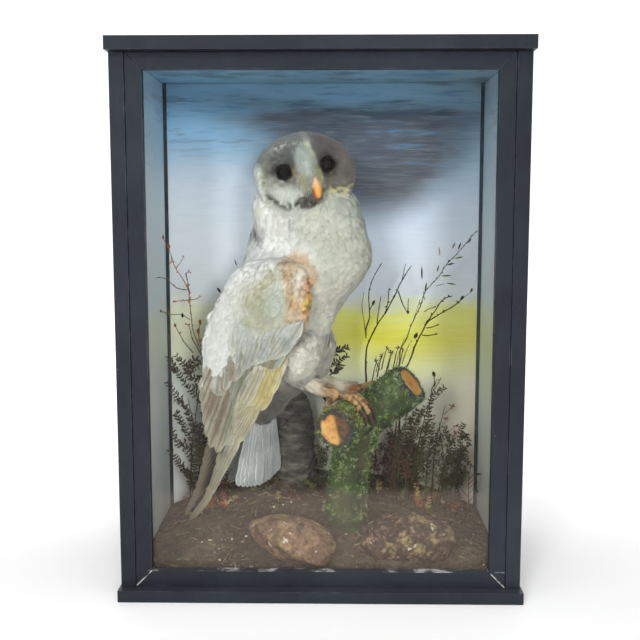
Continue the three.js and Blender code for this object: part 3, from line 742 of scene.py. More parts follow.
nx, ny = 330, 200
gx, gy = np.meshgrid(np.linspace(-G_X, G_X, nx), np.linspace(G_Y0, G_Y1, ny), indexing="xy")
gz = ground_top(gx, gy)
top = np.stack([gx, gy, gz], -1).reshape(-1, 3)
Fg = grid_faces(ny, nx)
rim = np.concatenate([np.arange(nx), np.arange(1, ny) * nx + nx - 1, (ny - 1) * nx + np.arange(nx - 2, -1, -1), np.arange(ny - 2, 0, -1) * nx])
skirt = top[rim].copy()
skirt[:, 2] = 11
k = len(top)
r1 = np.arange(len(rim))
Fs = np.stack([rim, k + r1, k + (r1 + 1) % len(rim), rim[(r1 + 1) % len(rim)]], -1)
m = Mat("earth")
a = m.noise(18, 6, 0.65)
b = m.noise(120, 5, 0.7)
c = m.voronoi(420)
base = m.ramp(a, [(0.3, srgb(54, 46, 41)), (0.5, srgb(80, 70, 60)), (0.68, srgb(112, 98, 82))])
base = m.mix(m.math("MULTIPLY", m.range(b, 0.5, 0.75), 0.6), base, srgb(150, 138, 114))
base = m.mix(m.math("MULTIPLY", m.range(b, 0.5, 0.3), 0.6), base, srgb(48, 44, 40))
moss = m.math("MULTIPLY", m.range(m.noise(11, 4, 0.6, m.coords((1, 1, 1), (0.3, 0, 1))), 0.53, 0.66), m.range(b, 0.35, 0.6))
base = m.mix(m.math("MULTIPLY", moss, 0.55), base, srgb(100, 100, 62))
base = m.mix(m.math("MULTIPLY", m.range(c.outputs[0], 0.16, 0.05), 0.5), base, srgb(178, 168, 148))
m.surface(Base_Color=base, Roughness=0.95, Normal=m.bump(m.math("ADD", b, m.math("MULTIPLY", c.outputs[0], 0.8)), 0.6, 0.0012))
m.put(m.b.inputs["Specular IOR Level"], 0.15)
EARTH = m.m
piece(mesh_object("ground_surface", np.concatenate([top, skirt]), [Fg, Fs], EARTH), "earth", "groundwork")


def on_ground(x, y):
    return float(ground_top(np.array([x]), np.array([y]))[0])


# stones
def stone_mesh(centre, half, turn, seed, shrink=0.985):
    from mathutils import Euler
    R = np.array(Euler(turn, "XYZ").to_matrix())

    def fn(U):
        n = 0.07 * np.sin(4 * U[:, 0] + seed) * np.cos(3 * U[:, 1] - seed) + 0.05 * np.sin(6 * U[:, 2] + 5 * U[:, 0] + seed)
        n = n + 0.035 * fbm(U * 3 + seed, int(seed * 10), 5) + 0.012 * np.abs(fbm(U * 11, 4, 3))
        # a few flat broken faces
        for k in range(6):
            d = unit(np.random.default_rng(int(seed * 100) + k).normal(size=3))
            n = np.minimum(n, 0.9 / np.maximum(U @ d, 0.2) - 1 + 0.03 * vnoise(U * 4, k))
        return (U * np.array(half) * (1 + n)[:, None] * shrink) @ R.T + np.array(centre)

    return ball_mesh(fn, 150, 100)


def stone_material(name, base_a, base_b, seed):
    m = Mat(name)
    v = m.coords((1, 1, 1), (seed, seed * 2, 0))
    a = m.noise(26, 6, 0.65, v)
    b = m.noise(240, 5, 0.7, v)
    base = m.mix(m.range(a, 0.35, 0.65), base_a, base_b)
    mid = m.noise(95, 5, 0.7, v)
    base = m.mix(m.math("MULTIPLY", m.range(mid, 0.5, 0.64), 0.7), base, srgb(170, 138, 108))
    base = m.mix(m.math("MULTIPLY", m.range(mid, 0.48, 0.36), 0.75), base, srgb(56, 44, 36))
    base = m.mix(m.math("MULTIPLY", m.range(b, 0.5, 0.7), 0.5), base, srgb(176, 150, 120))
    base = m.mix(m.math("MULTIPLY", m.range(b, 0.48, 0.3), 0.6), base, srgb(44, 37, 32))
    lich = m.math("MULTIPLY", m.range(m.noise(48, 5, 0.7, v), 0.54, 0.62), m.range(b, 0.38, 0.55))
    base = m.mix(m.math("MULTIPLY", lich, 0.8), base, srgb(156, 148, 88))
    white = m.range(m.noise(115, 4, 0.6, v), 0.645, 0.68)
    base = m.mix(m.math("MULTIPLY", white, 0.85), base, srgb(214, 206, 190))
    m.surface(Base_Color=base, Roughness=0.85, Normal=m.bump(m.math("ADD", m.math("ADD", b, mid), m.math("MULTIPLY", a, 1.5)), 0.8, 0.0022))
    return m.m


V_, F_ = stone_mesh((-25, -60, 40), (45, 26, 20), (0.05, 0.2, -0.38), 0.6)
piece(mesh_object("stone_front_rock", V_, clean_faces(F_), stone_material("stone_red", srgb(98, 74, 56), srgb(134, 106, 82), 0.4)), "stone", "stone_front")
V_, F_ = stone_mesh((86, -44, 36), (45, 30, 28), (0, 0.08, 0.15), 2.4)
piece(mesh_object("stone_right_rock", V_, clean_faces(F_), stone_material("stone_brown", srgb(52, 41, 34), srgb(78, 61, 50), 1.9)), "stone", "stone_right")


# log
class Path:
    """A smooth curve through points, by arc length, with side vectors near a reference."""

    def __init__(self, pts, n=200):
        P = np.array(pts, float)
        seg = np.sqrt(np.linalg.norm(np.diff(P, axis=0), axis=1))
        t = np.concatenate([[0], np.cumsum(seg)])
        f = table(np.concatenate([t[:, None], P], 1))
        q = f(np.linspace(0, t[-1], n))
        s = np.concatenate([[0], np.cumsum(np.linalg.norm(np.diff(q, axis=0), axis=1))])
        self.length = s[-1]
        self.at = lambda u: np.stack([np.interp(np.atleast_1d(u) * s[-1], s, q[:, k]) for k in range(3)], -1)

    def tangent(self, u):
        u = np.atleast_1d(u)
        return unit(self.at(np.minimum(u + 0.01, 1)) - self.at(np.maximum(u - 0.01, 0)))

    def frame(self, u, ref):
        t = self.tangent(u)
        ref = np.array(ref, float)
        e1 = unit(ref - t * (t @ ref)[:, None])
        return e1, np.cross(t, e1)


def log_mesh(pts, radii, ref=(0, 0, 1), around=90, along=90, grow=0.0, rough=0.0, turns=3):
    path, size = Path(pts), table(radii)
    u = np.linspace(0, 1, along)
    ph = np.arange(around) / around * 2 * math.pi
    e1, e2 = path.frame(u, ref)
    C = path.at(u)
    wave = rough * (np.sin(turns * ph[None] + 5 * u[:, None]) + 0.6 * np.sin(5 * ph[None] - 9 * u[:, None] + 1))
    r = size(u)[:, :1] + grow + wave
    V = C[:, None] + r[..., None] * (np.cos(ph)[None, :, None] * e1[:, None] + np.sin(ph)[None, :, None] * e2[:, None])
    F = grid_faces(along, around, True)
    V = V.reshape(-1, 3)
    n = len(V)
    ring = np.arange(around)
    nxt = (ring + 1) % around
    last = (along - 1) * around
    V = np.concatenate([V, C[:1], C[-1:]])
    T = np.concatenate([np.stack([ring * 0 + n, nxt, ring], -1), np.stack([ring * 0 + n + 1, last + ring, last + nxt], -1)])
    F = np.concatenate([F[:, [0, 1, 2]], F[:, [0, 2, 3]], T])
    if np.einsum("ij,ij->i", np.cross(V[F[:, 1]] - V[F[:, 0]], V[F[:, 2]] - V[F[:, 0]]), V[F[:, 0]] - V.mean(0)).sum() < 0:
        F = F[:, ::-1]
    return V, F


LOG_R = 20.5
LIMBS = [
    ([(13, -66, 147), (27, -40, 148), (42, -11, 149), (58, 20, 149), (64, 31, 149)], [[0, LOG_R], [0.6, LOG_R], [1, 18]], (0, 0, 1), 0.5),
    ([(39, -12, 142), (60, -19, 162), (86, -30, 185)], [[0, 20], [0.5, 21.5], [1, 21]], (0, 0, 1), 0.6),
    ([(24, -2, 20), (24, -3, 60), (27, -7, 95), (33, -11, 122), (40, -13, 146)], [[0, 29], [0.18, 22.5], [0.5, 20.5], [1, 20]], (0, -1, 0), 0.9),
]
Vl, Fl = union([log_mesh(p, r, ref, grow=-0.9, rough=q) for p, r, ref, q in LIMBS], 1.6, 3)
CUTS = []  # centre, outward direction, radius of each sawn end
for (p, r, ref, q), u in ((LIMBS[0], 0.0), (LIMBS[0], 1.0), (LIMBS[1], 1.0)):
    path = Path(p)
    CUTS.append((path.at(u)[0], path.tangent(u)[0] * (1 if u else -1), table(r)(u)[0, 0]))
Nl = normals_of(Vl, Fl)
is_cut = np.zeros(len(Vl))
ring_r = np.ones(len(Vl))
for c, d, r in CUTS:
    ax = (Vl - c) @ d
    rad = np.linalg.norm((Vl - c) - ax[:, None] * d, axis=1) / r
    face = (np.abs(ax) < 2.4) & (rad < 1.1)
    is_cut[face] = np.maximum(is_cut[face], (1 - smooth(0.64, 0.73, rad + 0.1 * vnoise(Vl / 4.3, 4)))[face])
    ring_r[face] = rad[face]
bark = fbm(Vl / np.array([9, 9, 9]), 21, 5)
ridge = np.abs(fbm(Vl / 6, 31, 3))
crack = bump(np.abs(np.sin(5.5 * np.arctan2(Vl[:, 2] - 147, Vl[:, 0] - 13) + 2 * ring_r)), 0.16) * smooth(0.12, 0.4, ring_r)
Vl = Vl + Nl * ((1.1 * bark - 1.7 * ridge + 0.5 + 0.6 * vnoise(Vl / 2.2, 71) + 0.8 * fbm(Vl / 18, 73, 2))[:, None] * (1 - is_cut)[:, None] - (0.9 + 0.5 * crack * (Vl[:, 1] < -50))[:, None] * is_cut[:, None])
m = Mat("mossy_bark")
cut = m.value("cut")
rr = m.value("ring")
a = m.noise(42, 6, 0.65)
b = m.noise(260, 5, 0.7)
green = m.ramp(a, [(0.28, srgb(38, 40, 28)), (0.45, srgb(62, 74, 42)), (0.6, srgb(88, 102, 60)), (0.75, srgb(138, 142, 98))])
green = m.mix(m.math("MULTIPLY", m.range(b, 0.5, 0.35), 0.7), green, srgb(34, 32, 26))
green = m.mix(m.math("MULTIPLY", m.range(m.noise(20, 4, 0.6, m.coords((1, 1, 1), (1, 0, 0))), 0.54, 0.66), 0.7), green, srgb(92, 74, 56))
rings = m.math("SINE", m.math("MULTIPLY", m.math("ADD", rr, m.math("MULTIPLY", a, 0.08)), 62))
wood = m.mix(m.range(rings, -1, 1, 0.1, 0.75), srgb(204, 150, 82), srgb(164, 104, 54))
wood = m.mix(m.math("MULTIPLY", m.range(m.noise(60, 5, 0.65, m.coords((1, 1, 1), (0, 1, 0))), 0.45, 0.6), 0.65), wood, srgb(212, 176, 112))
wood = m.mix(m.math("MULTIPLY", m.math("SUBTRACT", 1, m.range(rr, 0.02, 0.2)), 0.5), wood, srgb(120, 84, 60))
wood = m.mix(m.math("MULTIPLY", m.range(b, 0.5, 0.36), 0.5), wood, srgb(104, 72, 48))
# a darker, greyer wedge on the right of the front cut
px_, pz_ = m.math("SUBTRACT", m.math("MULTIPLY", m.xyz()[0], 1000), 15), m.math("SUBTRACT", m.math("MULTIPLY", m.xyz()[2], 1000), 147)
wedge = m.math("MULTIPLY", m.range(m.math("ADD", m.math("ADD", px_, m.math("MULTIPLY", pz_, 0.25)), m.math("MULTIPLY", m.math("SUBTRACT", a, 0.5), 9)), -1.5, 2.5), m.math("LESS_THAN", m.xyz()[1], -0.04))
wood = m.mix(m.math("MULTIPLY", wedge, 0.95), wood, m.mix(m.range(b, 0.4, 0.6), srgb(62, 46, 40), srgb(98, 74, 58)))
barkring = m.math("MULTIPLY", m.range(rr, 1.02, 0.96), m.math("SUBTRACT", 1, cut))
green = m.mix(m.math("MULTIPLY", barkring, 0.8), green, srgb(52, 50, 56))
m.surface(Base_Color=m.mix(cut, green, wood), Roughness=0.93,
          Normal=m.bump(m.math("ADD", m.math("MULTIPLY", a, 1.5), b), 0.7, 0.0014))
m.put(m.b.inputs["Specular IOR Level"], 0.2)
piece(mesh_object("log_wood", Vl, Fl, m.m, attrs={"cut": is_cut, "ring": ring_r}), "moss_bark", "mossy_log")
LOG = Surface(Vl, Fl)

# stump with shelves of bark
V_, F_ = log_mesh([(-31, 83, 40), (-31, 83, 100), (-34, 82, 138), (-36, 82, 152)], [[0, 24], [0.5, 22.5], [0.85, 21], [1, 16]], (0, -1, 0),
                  around=150, along=150, grow=-1.6, rough=0.8)
zz = V_[:, 2]
out = unit(np.stack([V_[:, 0] + 33, V_[:, 1] - 82, 0 * zz], -1))
ang = np.arctan2(out[:, 1], out[:, 0])
saw = (zz / 9.5 + 0.25 * np.sin(5 * ang) + 0.12 * np.sin(11 * ang)) % 1
V_ = V_ + out * ((1.6 * saw**2 + 0.9 * fbm(V_ / 7, 8, 4))[:, None] * smooth(0.5, 8, 154 - zz)[:, None])
m = Mat("ridged_bark")
a = m.noise(1.0, 6, 0.65, m.coords((50, 50, 130)))
b = m.noise(300, 4, 0.7)
base = m.ramp(a, [(0.3, srgb(38, 34, 32)), (0.5, srgb(74, 68, 63)), (0.7, srgb(124, 118, 108))])
m.surface(Base_Color=m.mix(m.math("MULTIPLY", m.range(b, 0.5, 0.7), 0.4), base, srgb(140, 134, 120)), Roughness=0.95,
          Normal=m.bump(m.math("ADD", a, b), 0.6, 0.0014))
piece(mesh_object("stump_bark", V_, F_, m.m), "dark_bark", "bark_stump")
print("groundwork", round(time.time() - T0, 1))

# ------------------------------------------------------------------ moss on the log
def spikes(P, D, L, W, color, bend=None, sides=3):
    """Small upright blades: a three-sided spike each, bent a little."""
    n = len(P)
    D = unit(D)
    ref = np.where(np.abs(D[:, 2:]) < 0.9, vec(0, 0, 1), vec(1, 0, 0))
    e1 = unit(np.cross(D, ref))
    e2 = np.cross(D, e1)
    a0 = rng.random(n) * 6.283
    bend = bend if bend is not None else unit(rng.normal(size=(n, 3))) * 0.35
    rows = []
    for h, w in ((0.0, 1.0), (0.55, 0.8)):
        c = P + (D * h + bend * h * h) * L[:, None]
        for k in range(sides):
            a = a0 + k * 2 * math.pi / sides
            rows.append(c + (np.cos(a)[:, None] * e1 + np.sin(a)[:, None] * e2) * (W * w)[:, None])
    rows.append(P + (D + bend) * L[:, None])
    V = np.stack(rows, 1).reshape(-1, 3)
    k = 2 * sides + 1
    F = []
    for s in range(sides):
        t = (s + 1) % sides
        F += [[s, t, sides + t], [s, sides + t, sides + s], [sides + s, sides + t, 2 * sides]]
    F = (np.array(F)[None] + (np.arange(n) * k)[:, None, None]).reshape(-1, 3)
    C = np.repeat(color, k, axis=0)
    return V, F, C


def tint_mat(name, rough=0.9, scale=300, strength=0.3, jitter=0.25, sheen=0.0, soft=0.0, spec=0.2):
    m = Mat(name)
    c = m.attr("tint")
    n = m.noise(scale, 4, 0.65)
    c2 = m.mix(m.math("MULTIPLY", m.range(n, 0.35, 0.7), jitter), c, (1.0, 1.0, 1.0, 1), "MULTIPLY")
    dark = m.math("MULTIPLY", m.range(n, 0.5, 0.3), jitter)
    c2 = m.mix(dark, c2, (0.35, 0.33, 0.3, 1), "MULTIPLY")
    m.surface(Base_Color=c2, Roughness=rough, Normal=m.bump(n, strength, 0.0006))
    m.put(m.b.inputs["Specular IOR Level"], spec)
    if sheen:
        m.put(m.b.inputs["Sheen Weight"], sheen)
        m.put(m.b.inputs["Sheen Roughness"], 0.5)
    if soft:
        m.put(m.b.inputs["Subsurface Weight"], soft)
        m.put(m.b.inputs["Subsurface Radius"], (0.002, 0.0015, 0.001))
        m.put(m.b.inputs["Subsurface Scale"], 1.0)
    return m.m


def pick(colors, n, t=None):
    C = np.array([srgb(*c) for c in colors])[:, :3]
    i = rng.integers(0, len(C), n) if t is None else np.clip((t * len(C)).astype(int), 0, len(C) - 1)
    return C[i] * (1 + 0.35 * (rng.random((n, 1)) - 0.5))


MOSS = Heap()
P, N = LOG.sample(rng, 34000)[:2]
keep = np.ones(len(P), bool)
for c, d, r in CUTS:
    keep &= ~((np.abs((P - c) @ d) < 3) & (np.linalg.norm((P - c) - ((P - c) @ d)[:, None] * d, axis=1) < r * 0.8))
patch = fbm(P / 13, 77, 3)
topside = N[:, 2] * 0.35
keep &= (patch + topside + 0.25 * rng.random(len(P))) > -0.02
keep &= P[:, 2] > 44
P, N, patch = P[keep], N[keep], patch[keep]
n = len(P)
clump = vnoise(P / 3.4, 14)
t = np.clip(0.42 + 0.4 * fbm(P / 10, 12, 3) + 0.55 * clump + 0.16 * rng.normal(size=n) + 0.12 * (P[:, 2] < 150), 0, 0.999)
col = pick([(34, 40, 24), (46, 60, 33), (60, 80, 44), (78, 102, 58), (106, 138, 76), (136, 158, 98), (168, 178, 130)], n, t)
yellow = (rng.random(n) < 0.05) | ((P[:, 1] < -48) & (P[:, 2] > 150) & (rng.random(n) < 0.35))
col[yellow] = pick([(150, 148, 62), (176, 166, 92)], int(yellow.sum()))
tilt = unit(N + 0.75 * rng.normal(size=(n, 3)) + vec(0, 0, 0.25))
V_, F_, C_ = spikes(P - N * 0.4, tilt, rng.uniform(1.0, 2.4, n) * (1 + 0.9 * smooth(-0.1, 0.5, clump)), rng.uniform(0.2, 0.42, n), col)
MOSS.add(V_, F_, C_)
piece(MOSS.build("log_moss", tint_mat("moss_tufts", soft=0.0)), "moss_bark")


# ------------------------------------------------------------------ where a thing seen in the case stands
EYE = vec(13.4, -829.03 + FRONT, 354.13)


def seen(u, v, y):
    """The point on the plane y (mm) that lies at (u, v) of a 640 square seen from the studio camera."""
    a, b = (u - 320) / 956.2, -(v - 320) / 956.2
    yaw, pitch = -0.0162, 0.1198
    f = vec(math.sin(yaw) * math.cos(pitch), math.cos(yaw) * math.cos(pitch), -math.sin(pitch))
    r = unit(np.cross(f, vec(0, 0, 1)))
    up = np.cross(r, f)
    d = f + a * r + b * up
    return EYE + d * (y - EYE[1]) / d[1]


def curve(points, n):
    P = np.array(points, float)
    s = np.concatenate([[0], np.cumsum(np.linalg.norm(np.diff(P, axis=0), axis=1))])
    f = table(np.concatenate([s[:, None], P], 1))
    return f(np.linspace(0, s[-1], n)), s[-1]


DRY = Heap()
DARK_STEM, RED, OLIVE, STRAW, UMBER = [srgb(*c)[:3] for c in ((52, 44, 30), (150, 82, 48), (92, 96, 58), (150, 132, 86), (74, 50, 34))]


def stem(pix, y0, y1=None, root=None, r=(0.75, 0.3), color=DARK_STEM, wobble=0.6, sides=5):
    """A stem through seen points from its foot up; returns its centre line."""
    y1 = y0 if y1 is None else y1
    P = [seen(u, v, lerp(y0, y1, i / max(1, len(pix) - 1))) for i, (u, v) in enumerate(pix)]
    if root is not None:
        P = [vec(root[0], root[1], on_ground(*root) - 1.5)] + P
    L = sum(np.linalg.norm(np.subtract(a, b)) for a, b in zip(P, P[1:]))
    n = max(6, int(L / 3.2))
    C, _ = curve(P, n)
    C = C + wobble * np.stack([vnoise(C / 6 + 9 * k, k + 40) for k in range(3)], -1) * np.linspace(0.2, 1, n)[:, None]
    rr = 1.25 * np.linspace(r[0], r[1], n) * (1 + 0.25 * vnoise(C / 2.5, 3))
    V, F = tube(C, rr, sides)
    DRY.add(V, F, color)
    return C


def leaf(base, d, L, W, color, fold=0.3, curl=0.2, nrm=None):
    d = unit(d)
    s = unit(np.cross(d, nrm if nrm is not None else rng.normal(size=3)))
    nrm = np.cross(s, d)
    V = []
    for t, w in ((0, 0.12), (0.3, 0.9), (0.6, 1), (0.85, 0.55), (1, 0.02)):
        c = base + d * L * t + nrm * curl * L * t * t
        V += [c - s * w * W / 2 + nrm * fold * w * W / 2, c, c + s * w * W / 2 + nrm * fold * w * W / 2]
    V = np.array(V)
    F = []
    for k in range(4):
        a = 3 * k
        F += [[a, a + 1, a + 4, a + 3], [a + 1, a + 2, a + 5, a + 4]]
    DRY.add(V, np.array(F), color)


def bud(c, size, color, d=(0, 0, 1)):
    d = unit(np.asarray(d, float))
    pts = np.array([c + d * size * t for t in (-1, -0.55, 0, 0.5, 0.9)])
    V, F = tube(pts, np.array([0.15, 0.75, 0.95, 0.65, 0.15]) * size * 0.55, 6)
    V = V + 0.12 * size * np.stack([vnoise(V / size * 2 + 7 * k, k) for k in range(3)], -1)
    DRY.add(V, F, color)


def leafy(C, start, step, L, W, color, spread_deg=55, droop=0.0, both=True, taper=0.5, curl=0.15):
    """Leaflets in pairs along a stem's upper part."""
    step, L, W = step * 1.45, L * 1.3, W * 1.4
    s = np.concatenate([[0], np.cumsum(np.linalg.norm(np.diff(C, axis=0), axis=1))])
    x = start * s[-1]
    k = 0
    while x < s[-1]:
        c = np.array([np.interp(x, s, C[:, j]) for j in range(3)])
        c2 = np.array([np.interp(min(x + 1.5, s[-1]), s, C[:, j]) for j in range(3)])
        t = unit(c2 - c + 1e-6)
        u = (x / s[-1] - start) / max(1e-6, 1 - start)
        side = unit(np.cross(t, vec(0, 1, 0)) + 0.3 * rng.normal(size=3))
        a = math.radians(spread_deg + rng.normal() * 9)
        for sg in ((1, -1) if both else ((1,) if k % 2 else (-1,))):
            d = t * math.cos(a) + sg * side * math.sin(a) + vec(0, 0, -droop)
            leaf(c, d, L * (1 - taper * u) * rng.uniform(0.8, 1.15), W * (1 - 0.4 * u), np.array(color) * rng.uniform(0.75, 1.3), nrm=vec(0, -1, 0.3), curl=rng.uniform(-1, 1) * curl)
        x += step * rng.uniform(0.8, 1.25)
        k += 1


def beads_on(C, start, step, size, color, spread_r=2.2):
    s = np.concatenate([[0], np.cumsum(np.linalg.norm(np.diff(C, axis=0), axis=1))])
    x = start * s[-1]
    while x < s[-1]:
        c = np.array([np.interp(x, s, C[:, j]) for j in range(3)])
        d = unit(rng.normal(size=3) + vec(0, 0, 0.7))
        e = c + d * spread_r * rng.uniform(0.5, 1.2)
        V, F = tube(np.array([c, (c + e) / 2 + 0.2 * d, e]), [0.22, 0.18, 0.15], 4)
        DRY.add(V, F, color)
        bud(e, 1.3 * size * rng.uniform(0.7, 1.3), np.array(color) * rng.uniform(0.7, 1.4), d)
        x += step * rng.uniform(0.6, 1.4)


# right-hand stems behind the log
A = stem([(366, 377), (366, 358), (368, 344), (377, 326), (385, 313), (388, 300), (389, 288)], 58, 60, root=(50, 56), r=(1.5, 0.35))
beads_on(A, 0.62, 7, 1.2, DARK_STEM, 1.0)
B = stem([(385, 314), (393.5, 298), (400, 284), (406, 274), (412, 266)], 60, r=(0.7, 0.3))
beads_on(B, 0.35, 4.5, 0.9, DARK_STEM, 0.8)
stem([(398, 291), (402, 302), (408, 314)], 60, r=(0.5, 0.35))
bud(seen(408, 312, 60), 2.3, UMBER, (0.3, 0, -1))
stem([(408, 312), (408.5, 299)], 60, r=(0.4, 0.25))
stem([(402, 280), (406, 263.6)], 60, r=(0.4, 0.25))
B = stem([(366, 336), (366, 328), (369.5, 318), (369, 291), (375, 275), (382.5, 262.5)], 58, r=(0.6, 0.25))
beads_on(B, 0.5, 5, 0.8, DARK_STEM, 0.6)
stem([(366, 338), (364, 322), (362, 306), (364, 292)], 56, r=(0.5, 0.2), color=OLIVE)
bud(seen(373.5, 302.7, 58), 3.2, UMBER, (0.4, 0, 1))
stem([(369.5, 310), (373, 304)], 58, r=(0.4, 0.3))
stem([(377, 324), (379, 308), (381, 296)], 62, r=(0.55, 0.25), color=UMBER)
C = stem([(401, 376), (408, 364.7), (416, 344), (427, 323), (435, 311), (444, 299), (452, 296)], 62, 66, root=(82, 58), r=(1.2, 0.4))
beads_on(C, 0.66, 5, 1.1, UMBER, 1.2)
B = stem([(422, 335), (430, 335.5), (436, 333.7)], 64, r=(0.5, 0.35)); bud(B[-1], 1.8, UMBER, (1, 0, 0.2))
B = stem([(426, 328), (432, 327), (438, 324.5)], 64, r=(0.5, 0.35)); bud(B[-1], 1.6, UMBER, (1, 0, 0.3))
B = stem([(427, 322), (438, 315), (455.5, 305), (462.4, 299)], 64, 60, r=(0.6, 0.35)); bud(B[-1] + vec(0, 0, 1), 3.0, srgb(34, 30, 24)[:3], (0.6, 0, 1))
beads_on(B, 0.2, 7, 1.4, UMBER, 0.9)
B = stem([(424, 312), (429, 309), (435, 307)], 64, r=(0.4, 0.3)); bud(B[-1], 1.5, UMBER, (1, 0, 0.1))
bud(seen(471.6, 290, 60), 2.4, UMBER, (0.2, 0, 1))
stem([(463, 298), (468, 294), (471.6, 291)], 60, r=(0.25, 0.2))
bud(seen(416, 335.5, 62), 3.6, srgb(40, 32, 22)[:3], (0.5, 0, 1))
bud(seen(427, 322, 63), 2.8, srgb(40, 32, 22)[:3], (0.5, 0, 1))
D = stem([(400, 352), (405, 341.7), (414, 318.7), (421, 305), (425.6, 291), (431, 285), (440.6, 274), (446, 265), (458, 253), (468, 241), (477, 230.5)], 66, 60, root=(76, 66), r=(0.8, 0.3), color=OLIVE)
beads_on(D, 0.6, 4.2, 0.95, DARK_STEM, 1.1)
for (u, v), (du, dv), L, c in (((447, 265), (453, 263.5), 8, DARK_STEM), ((455, 258.5), (462, 257), 9, OLIVE), ((441, 276), (452, 275.5), 11, OLIVE), ((446, 283), (456, 284.5), 11, OLIVE),
                               ((458, 250), (462, 240), 9, DARK_STEM), ((440, 256), (438.5, 245), 10, STRAW), ((437, 272), (439, 264), 8, OLIVE), ((422, 280), (421.5, 262), 15, DARK_STEM),
                               ((425, 292), (427, 279), 11, DARK_STEM), ((421, 306), (419.5, 302), 5, OLIVE), ((452, 249), (457, 239), 8, OLIVE), ((468, 243), (473, 236), 6, DARK_STEM)):
    p, q = seen(u, v, 61), seen(du, dv, 59)
    leaf(p, q - p, L, 1.7, c, curl=0.05, nrm=vec(0, -1, 0.2))
for x in ((423, 291, 425, 300), (436, 286, 444, 284), (420, 300, 414, 318)):
    stem([(x[0], x[1]), (x[2], x[3])], 63, r=(0.3, 0.25), color=OLIVE)

# flower heads and dark leaf just above the log
for u, v in ((382, 355.5), (386.6, 347.4), (398, 347.4), (391, 352), (403, 350), (377, 360)):
    C = stem([(u - 5, v + 22), (u - 2, v + 8), (u, v + 1)], 62, r=(0.6, 0.4), color=UMBER)
    for k in range(9):
        d = unit(rng.normal(size=3) + vec(0, 0, 0.9))
        leaf(C[-1], d, rng.uniform(2.5, 4.5), 1.2, (UMBER, OLIVE, DARK_STEM)[k % 3])
for u0, v0, u1, v1 in ((376, 372, 384, 352), (388, 368, 394, 350), (396, 366, 405, 338), (402, 364, 412, 340), (380, 370, 376, 356)):
    stem([(u0, v0), ((u0 + u1) / 2 - 1, (v0 + v1) / 2), (u1, v1)], 60, r=(0.45, 0.2), color=(UMBER, STRAW)[int(u0) % 2])

# the dark sprig behind the breast
for pts in ([(322, 372), (330, 366), (340, 360), (347.5, 355.5)], [(322, 364), (330, 355), (340, 350), (349, 347)], [(326, 378), (334, 372), (342, 364)]):
    C = stem(pts, 52, root=(28, 62) if pts[0][1] == 372 else None, r=(0.9, 0.35))
    leafy(C, 0.35, 2.1, 6.5, 2.0, srgb(50, 46, 34)[:3], 50)

# ferns low on the right
FERN = srgb(58, 56, 36)[:3]
for pts, y, root in (([(421, 450), (422, 446), (426, 431), (429, 413), (431.5, 397.5), (444, 387.7)], 34, (94, 40)),
                     ([(444, 470), (449.8, 456), (448.4, 438), (444, 427)], 46, (118, 50)),
                     ([(458, 468), (461, 452), (459.6, 435.4), (464, 423)], 48, (128, 52)),
                     ([(462, 440), (465, 432.6), (469.4, 445)], 46, None),
                     ([(450, 464), (461, 456), (471, 466)], 44, None),
                     ([(416, 459), (432, 452), (447, 457)], 40, (90, 44)),
                     ([(408, 452), (412, 440), (410, 426)], 44, (84, 46)),
                     ([(398, 437), (408, 424), (417.5, 408.7)], 30, (78, 34))):
    C = stem(pts, y, root=root, r=(0.7, 0.3))
    leafy(C, 0.3 if root else 0.05, 1.9, 4.6, 1.7, FERN, 62, taper=0.35)
C = stem([(431, 398), (432, 388), (434.8, 384), (434, 374)], 34, r=(0.5, 0.35))
bud(seen(433.7, 374, 34), 3.3, srgb(42, 38, 26)[:3], (-0.3, 0, 1))
bud(seen(434.8, 384, 34), 2.2, srgb(42, 38, 26)[:3], (0.4, 0, 1))
# undergrowth between the log and the ferns
for k in range(420):
    u, v = rng.uniform(366, 424), 466 - 38 * rng.random() ** 1.5
    c = seen(u, v, rng.uniform(34, 62))
    leaf(c, unit(rng.normal(size=3) + vec(0, 0, 0.4)), rng.uniform(3, 7), rng.uniform(1.2, 2.4), [UMBER, srgb(84, 58, 52)[:3], DARK_STEM, srgb(110, 90, 78)[:3]][k % 4], curl=0.3)
for k in range(16):
    u = rng.uniform(368, 414)
    p = seen(u, 463, rng.uniform(36, 64))
    x, y = p[0], p[1]
    q = seen(u + rng.normal() * 14, rng.uniform(424, 452), y)
    C, _ = curve([vec(x, y, on_ground(x, y) - 1), (p + q) / 2 + rng.normal(size=3) * 1.5, q], 8)
    V, F = tube(C, np.linspace(0.5, 0.2, 8), 4)
    DRY.add(V, F, [UMBER, DARK_STEM, srgb(96, 66, 58)[:3]][k % 3])
    leafy(C, 0.4, 3.2, 3.6, 1.3, [UMBER, srgb(88, 60, 54)[:3]][k % 2], 55)

# left: red-brown dried heads above, dark fern below
R1 = stem([(202, 357), (193, 330), (190.5, 312), (189.4, 300.5), (187.7, 283), (186, 273), (190.6, 272.5)], 52, 46, root=(-118, 56), r=(0.8, 0.3), color=srgb(120, 96, 52)[:3])
beads_on(R1, 0.5, 5, 1.0, RED, 1.6)
for c, s in (((189.4, 300.5), 3.0), ((187.5, 285), 1.8), ((186, 274), 1.7), ((190.6, 272.5), 1.3)):
    bud(seen(*c, 48), s, srgb(196, 124, 66)[:3])
for pts, cc in (([(189, 300), (181, 301), (174.5, 301.6)], RED), ([(189, 300), (196, 299), (201, 296.5)], OLIVE), ([(187, 290), (177, 288), (165, 278.6), (156, 278), (150, 282)], OLIVE),
                ([(190, 294), (184, 281), (174.5, 266), (168.7, 249), (163, 238)], RED), ([(176, 268), (181, 262), (183.7, 255.6)], STRAW), ([(172, 258), (170, 264), (168, 268)], STRAW)):
    C = stem(pts, 47, r=(0.45, 0.2), color=cc)
    beads_on(C, 0.35, 5, 0.9, [RED, srgb(176, 104, 56)[:3]][len(pts) % 2], 1.0)
